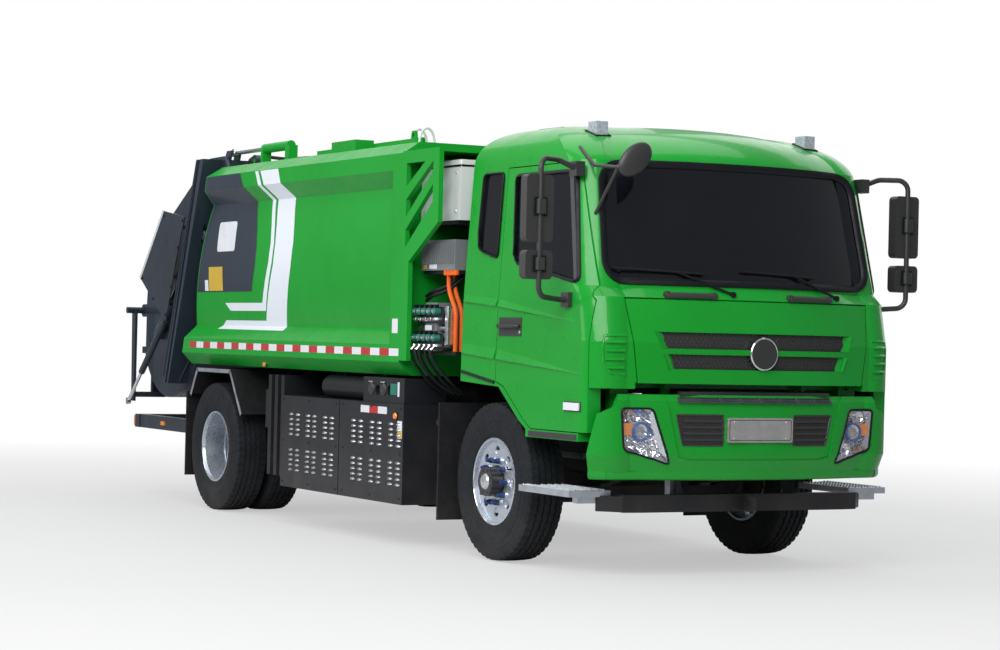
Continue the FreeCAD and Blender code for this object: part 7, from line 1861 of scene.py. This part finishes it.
@dataclass
class RoofGear:
    """The pipes, clips and hoops on the refuse body's roof."""

    pipe_y: Floats = (0.72, 0.752, 0.784)
    hose: tuple[Point, ...] = ((-0.86, 0.752, 2.82), (-1.0, 0.76, 2.85), (-1.2, 0.8, 2.85), (-1.4, 0.83, 2.86),
                               (-1.56, 0.9, 2.88))
    pipe_x: Floats = tuple(evenly(-0.84, 1.32, 9))
    clip_x: Floats = tuple(evenly(-0.7, 1.22, 4))
    clip: Brick = Brick(STEEL, (-0.02, -0.055, -0.002), (0.02, 0.055, 0.03))
    hoop_x: Floats = (1.40, 1.52)
    hoop_half: float = 0.06
    hoop_height: float = 0.11

    def build(self) -> None:
        """Build the roof's small parts."""
        skin = Skin("refuse_body", "body_fairings")
        pipes = Draft(CHASSIS_BLACK)
        for side in SIDES:
            for y in self.pipe_y:
                pipes.use(CHASSIS_BLACK).pipe([skin.above(x, side * y, 0.016) for x in self.pipe_x], 0.010, 8)
            for x in self.clip_x:
                self.clip.add(pipes, skin.above(x, side * self.pipe_y[1]))
            pipes.use(SEAL).pipe(smoothed([(x, side * y, z) for x, y, z in self.hose]), 0.014, 10)
        pipes.done("roof_pipes", Body.CHASSIS, Slot.DARK)
        hoops = Draft(BOX_WHITE)
        for side in SIDES:
            for x in self.hoop_x:
                foot = skin.above(x, side)
                bows = [(self.hoop_half * math.cos(turn), self.hoop_height * math.sin(turn))
                        for turn in evenly(0.0, math.pi, 12)]
                hoops.pipe([foot + Vector((0, side * across, rise)) for across, rise in bows], 0.009, 8)
        hoops.done("roof_hoops", Body.CHASSIS, Slot.WHITE)


@dataclass
class TailDress:
    """The bars, bolts, ribs, lamps and strips on the tailgate and the rear beam."""

    face_y: float = 1.2505
    edge: Flats = ((-2.968, 2.472), (-3.488, 1.912), (-3.468, 1.886), (-2.934, 2.466))
    bolts: Flats = ((-2.93, 2.43), (-2.49, 2.375), (-2.58, 2.15), (-2.72, 1.82), (-2.84, 1.58),
                    (-3.42, 1.90), (-3.14, 1.72))
    post_top: Flat = (-2.13, 2.84)
    post_foot: Flat = (-2.795, 1.03)
    post_half: float = 0.066
    post_steps: Floats = tuple(evenly(0.0, 1.92, 8))
    strip_start: float = -0.84
    strip_pitch: float = 0.14
    strip_count: int = 12
    strip_z: Flat = (0.622, 0.672)
    strip_gap: float = 0.28
    plate: Span = ((-0.26, 0.595), (0.26, 0.70))
    plate_bolts: Flats = ((-0.2, 0.65), (0.2, 0.65))
    lamps: tuple[tuple[Finish, float], ...] = ((RED, 2.02), (AMBER, 1.92), (WHITE, 1.82))
    lamp_y: float = 1.16
    lamp_base: Boss = Boss(PLASTIC, -0.004, 0.012, 0.044)

    def build(self) -> None:
        """Build the parts on both sides and at the back."""
        for side in SIDES:
            self.flank(side)
        self.beam()
        self.lamp_lenses()

    def flank(self, side: int) -> None:
        """Build one side's guard bar, bolts and post ribs."""
        place = partial(Skin("tailgate_shell", "guard_plates").flank, side)
        draft = Draft(BOX_WHITE)
        draft.prism([(x, side * self.face_y, z) for x, z in self.edge], (0, -side * 0.03, 0))
        for x, z in self.bolts:
            draft.use(CHASSIS_BLACK).bolt(place(x, z), (0, side, 0), 0.012, 0.009)
        top = Vector(self.post_top)
        run = (Vector(self.post_foot) - top).normalized()
        for shift in (-self.post_half, self.post_half):
            route = [top + Vector((run.y, -run.x)) * shift + run * step for step in self.post_steps]
            draft.use(SLATE).pipe([place(point.x, point.y, 0.001) for point in route], 0.009, 8)
        draft.done(f"guard_trim_{side_word(side)}", Body.TAILGATE, Slot.DARK, bevel=0.002)

    def beam(self) -> None:
        """Build the reflective strips and the blank plate of the rear beam."""
        place = Skin("rear_bumper").back
        draft = Draft(RED)
        for index in range(self.strip_count):
            start = self.strip_start + self.strip_pitch * index
            if abs(start + self.strip_pitch / 2) > self.strip_gap:
                low, high = zip((start, start + self.strip_pitch - 0.001), self.strip_z)
                draft.use((RED, WHITE)[index % 2]).pad(place, low, high, 0.002, 1, 1)
        draft.use(PLATE).pad(place, *self.plate, 0.006, 2, 1)
        for y, z in self.plate_bolts:
            draft.use(STEEL).bolt(place(y, z, 0.006), (-1, 0, 0), 0.006, 0.004)
        draft.done("rear_strips", Body.CHASSIS, Slot.DARK, bevel=0.001)

    def lamp_lenses(self) -> None:
        """Build the three round lamps on each post of the tailgate."""
        draft = Draft(PLASTIC)
        skin = Skin("tailgate_shell")
        for side in SIDES:
            for finish, z in self.lamps:
                for part in (self.lamp_base, Boss(finish, 0.01, 0.026, 0.037, taper=0.8)):
                    part.add(draft, skin.back(side * self.lamp_y, z), (-1, 0, 0))
        draft.done("tail_lamp_lenses", Body.TAILGATE, Slot.AMBER, bevel=0.0015)


@dataclass
class ChassisDress:
    """The bolts, chambers, edges and small lamps along the chassis."""

    rail_bolt_x: Floats = tuple(evenly(-2.5, 3.8, 21))
    rail_bolt_z: Floats = (0.80, 0.9)
    chamber: Flats = ((0.03, -1.60), (0.07, -1.585), (0.075, -1.53), (0.082, -1.525), (0.082, -1.515),
                      (0.075, -1.51), (0.07, -1.44), (0.03, -1.425))
    chamber_y: float = 0.42
    chamber_z: float = 0.60
    push_rod: Bar = Bar(STEEL, (-1.60, 0, 0.60), (-1.68, 0, 0.585), 0.009, 10)
    brake_hose: tuple[Point, ...] = ((-1.44, 0.42, 0.64), (-1.36, 0.42, 0.70), (-1.30, 0.36, 0.76),
                                     (-1.2, 0.33, 0.80))
    guard_y: float = 1.2465
    guard_width: float = 0.03
    guard_depth: float = 0.004
    guard_edge: Flats = ((-2.235, 0.93), (-2.095, 1.148), (-1.375, 1.148), (-1.128, 0.805))
    flank_lamps: Flats = ((1.639, 0.898), (-0.825, 1.205))
    flank_lamp: tuple[Boss, ...] = (Boss(SEAL, -0.002, 0.006, 0.03), Boss(AMBER, 0.004, 0.016, 0.024, taper=0.75))
    sockets: Floats = (1.20, 1.39)
    socket_z: float = 1.075
    hinge: Bar = Bar(STEEL, (-0.03, -0.008, 0.05), (0.03, -0.008, 0.05), 0.006, 10)
    labels: tuple[Brick, ...] = (Brick(COIL_GREEN, (1.50, -1.2315, 1.04), (1.60, -1.227, 1.12), 0.004),
                                 Brick(WHITE_LABEL, (1.615, -1.2315, 1.03), (1.64, -1.227, 1.13)))
    socket: Flats = ((0.001, -0.016), (0.034, -0.014), (0.04, -0.008), (0.045, -0.006), (0.047, 0.002),
                     (0.001, 0.003))

    def build(self) -> None:
        """Build the chassis' small parts."""
        self.bolts()
        self.chambers()
        self.guards()
        self.lamps()
        self.charging()

    def bolts(self) -> None:
        """Build the bolt heads along the rails."""
        draft = Draft(CHASSIS_BLACK)
        skin = Skin("frame_rails")
        for side in SIDES:
            for x in self.rail_bolt_x:
                for z in self.rail_bolt_z:
                    draft.bolt(skin.flank(side, x, z), (0, side, 0), 0.012, 0.01)
        draft.done("rail_bolts", Body.CHASSIS, Slot.BLACK)

    def chambers(self) -> None:
        """Build the brake chambers at the rear axle with their push rods and hoses."""
        draft = Draft(CHASSIS_BLACK)
        for side in SIDES:
            y = side * self.chamber_y
            draft.use(CHASSIS_BLACK).lathe((0, y, self.chamber_z), self.chamber, 28, Axis.X)
            self.push_rod.add(draft, (0, y, 0))
            draft.use(SEAL).pipe(smoothed([(x, side * across, z) for x, across, z in self.brake_hose]), 0.009, 8)
        draft.done("brake_chambers", Body.CHASSIS, Slot.BLACK, bevel=0.001)

    def guards(self) -> None:
        """Build the pale edge strips of the rear mudguards."""
        draft = Draft(ALUMINIUM)
        for side in SIDES:
            for start, end in zip(self.guard_edge, self.guard_edge[1:]):
                ends = [Vector((x, side * self.guard_y, z)) for x, z in (start, end)]
                run = (ends[1] - ends[0]).normalized()
                low = Vector((run.z, 0, -run.x)) * self.guard_width
                draft.prism([*ends, ends[1] + low, ends[0] + low], (0, -side * self.guard_depth, 0))
        draft.done("guard_edges", Body.CHASSIS, Slot.STEP)

    def lamps(self) -> None:
        """Build the small round amber lamps on the flanks."""
        draft = Draft(AMBER)
        skin = Skin("battery_boxes", "refuse_body", "side_equipment")
        for side in SIDES:
            for x, z in self.flank_lamps:
                for part in self.flank_lamp:
                    part.add(draft, skin.flank(side, x, z), (0, side, 0))
        draft.done("flank_lamps", Body.CHASSIS, Slot.AMBER, bevel=0.001)

    def charging(self) -> None:
        """Build the socket covers, the hinges and the labels of the charging box."""
        draft = Draft(PLASTIC)
        skin = Skin("charging_box")
        for x in self.sockets:
            seat = skin.flank(-1, x, self.socket_z)
            draft.use(PLASTIC).lathe(seat, self.socket, 32)
            self.hinge.add(draft, seat)
        for label in self.labels:
            label.add(draft)
        draft.done("charging_covers", Body.CHASSIS, Slot.PLASTIC, bevel=0.0012)


@dataclass(frozen=True)
class SoftLamp:
    """One square area lamp."""

    name: str
    place: Point
    aim: Point
    size: float
    power: float

    def hang(self) -> None:
        """Add the lamp to the scene."""
        data = bpy.data.lights.new(self.name, "AREA")
        data.size = self.size
        data.energy = self.power
        lamp = bpy.data.objects.new(self.name, data)
        lamp.location = self.place
        lamp.rotation_euler = (Vector(self.aim) - Vector(self.place)).to_track_quat("-Z", "Y").to_euler()
        bpy.context.scene.collection.objects.link(lamp)


@dataclass
class Studio:
    """The pale floor, the soft lamps and the camera of the photograph."""

    camera_place: Point = (16.665, -8.677, 1.467)
    yaw: float = 151.295
    pitch: float = 0.260
    roll: float = 1.350
    lens: float = 87.32
    film_width: float = 36.0
    floor_half: float = 60.0
    floor_level: float = -0.001
    floor_tones: tuple[Colour, Colour] = ((0.5, 0.5, 0.51), (0.54, 0.54, 0.55))
    fade: tuple[float, float, float, float] = (5.0, 13.0, 0.5, 1.0)
    sky: Colour = (0.92, 0.95, 1.0)
    sky_strength: float = 0.28
    soft_lamps: tuple[SoftLamp, ...] = (
        SoftLamp("key_lamp", (9.0, -7.0, 7.5), (0.5, 0.0, 1.2), 8.0, 1120.0),
        SoftLamp("side_lamp", (-3.0, -10.0, 6.0), (0.0, 0.0, 1.2), 9.0, 560.0),
        SoftLamp("top_lamp", (0.0, 0.0, 9.0), (0.0, 0.0, 0.0), 9.0, 360.0),
        SoftLamp("far_lamp", (-2.5, 10.0, 6.0), (0.0, 0.0, 1.2), 10.0, 380.0),
        SoftLamp("back_lamp", (-11.0, 3.0, 6.0), (0.0, 0.0, 1.2), 10.0, 280.0),
    )

    def build(self) -> None:
        """Build the stage."""
        self.floor()
        self.light()
        self.camera()

    def floor(self) -> None:
        """Lay a large pale floor that turns white far from the truck, as the backdrop is."""
        mesh = bpy.data.meshes.new("studio_floor")
        half = self.floor_half
        corners = [(x, y, self.floor_level) for x, y in box_corners((-half, -half), (half, half))]
        mesh.from_pydata(corners, [], [(0, 1, 2, 3)])
        board = NodeBoard("floor_grey")
        tone = board.mix(board.noise(0.7, 4.0), *self.floor_tones)
        board.put(Base_Color=tone, Roughness=board.patchy(3.0, 3.0, (0.7, 0.85)))
        share = board.ramp(board.vector("LENGTH").outputs["Value"], *self.fade)
        white_for_camera(board.material.node_tree, "ShaderNodeEmission", share)
        mesh.materials.append(board.material)
        floor = bpy.data.objects.new("studio_floor", mesh)
        bpy.context.scene.collection.objects.link(floor)

    def light(self) -> None:
        """Set the world's light and hang the soft lamps."""
        world = bpy.data.worlds.new("studio_world")
        world.use_nodes = True
        bpy.context.scene.world = world
        sky = world.node_tree.nodes["Background"]
        sky.inputs["Color"].default_value = (*self.sky, 1.0)
        sky.inputs["Strength"].default_value = self.sky_strength
        white_for_camera(world.node_tree, "ShaderNodeBackground")
        for lamp in self.soft_lamps:
            lamp.hang()

    def camera(self) -> None:
        """Set the camera as the photograph was taken."""
        yaw, pitch, roll = (math.radians(angle) for angle in (self.yaw, self.pitch, self.roll))
        ahead = Vector((math.cos(yaw) * math.cos(pitch), math.sin(yaw) * math.cos(pitch), math.sin(pitch)))
        level = Vector((math.sin(yaw), -math.cos(yaw), 0.0))
        rise = level.cross(ahead)
        right = level * math.cos(roll) + rise * math.sin(roll)
        up = rise * math.cos(roll) - level * math.sin(roll)
        data = bpy.data.cameras.new("photo_camera")
        data.sensor_width = self.film_width
        data.lens = self.lens
        camera = bpy.data.objects.new("photo_camera", data)
        turn = Matrix((right, up, -ahead)).transposed().to_4x4()
        camera.matrix_world = Matrix.Translation(Vector(self.camera_place)) @ turn
        scene = bpy.context.scene
        scene.collection.objects.link(camera)
        scene.camera = camera
        scene.view_settings.view_transform = "Standard"


def main() -> None:
    """Build the sub-assemblies in order and report each one."""
    logging.basicConfig(level=logging.INFO, format="%(message)s")
    for part in (Studio(), FrameDress(), Wheels(), Livery(), BatteryBoxes(), CabTrim(), CabSides(), Seats(),
                 LidGrille(), Headlamp(), BumperTrim(), ServiceBay(), RoofGear(), TailDress(), ChassisDress()):
        part.build()
        LOG.info("built %s", type(part).__name__)


if __name__ == "__main__":
    main()
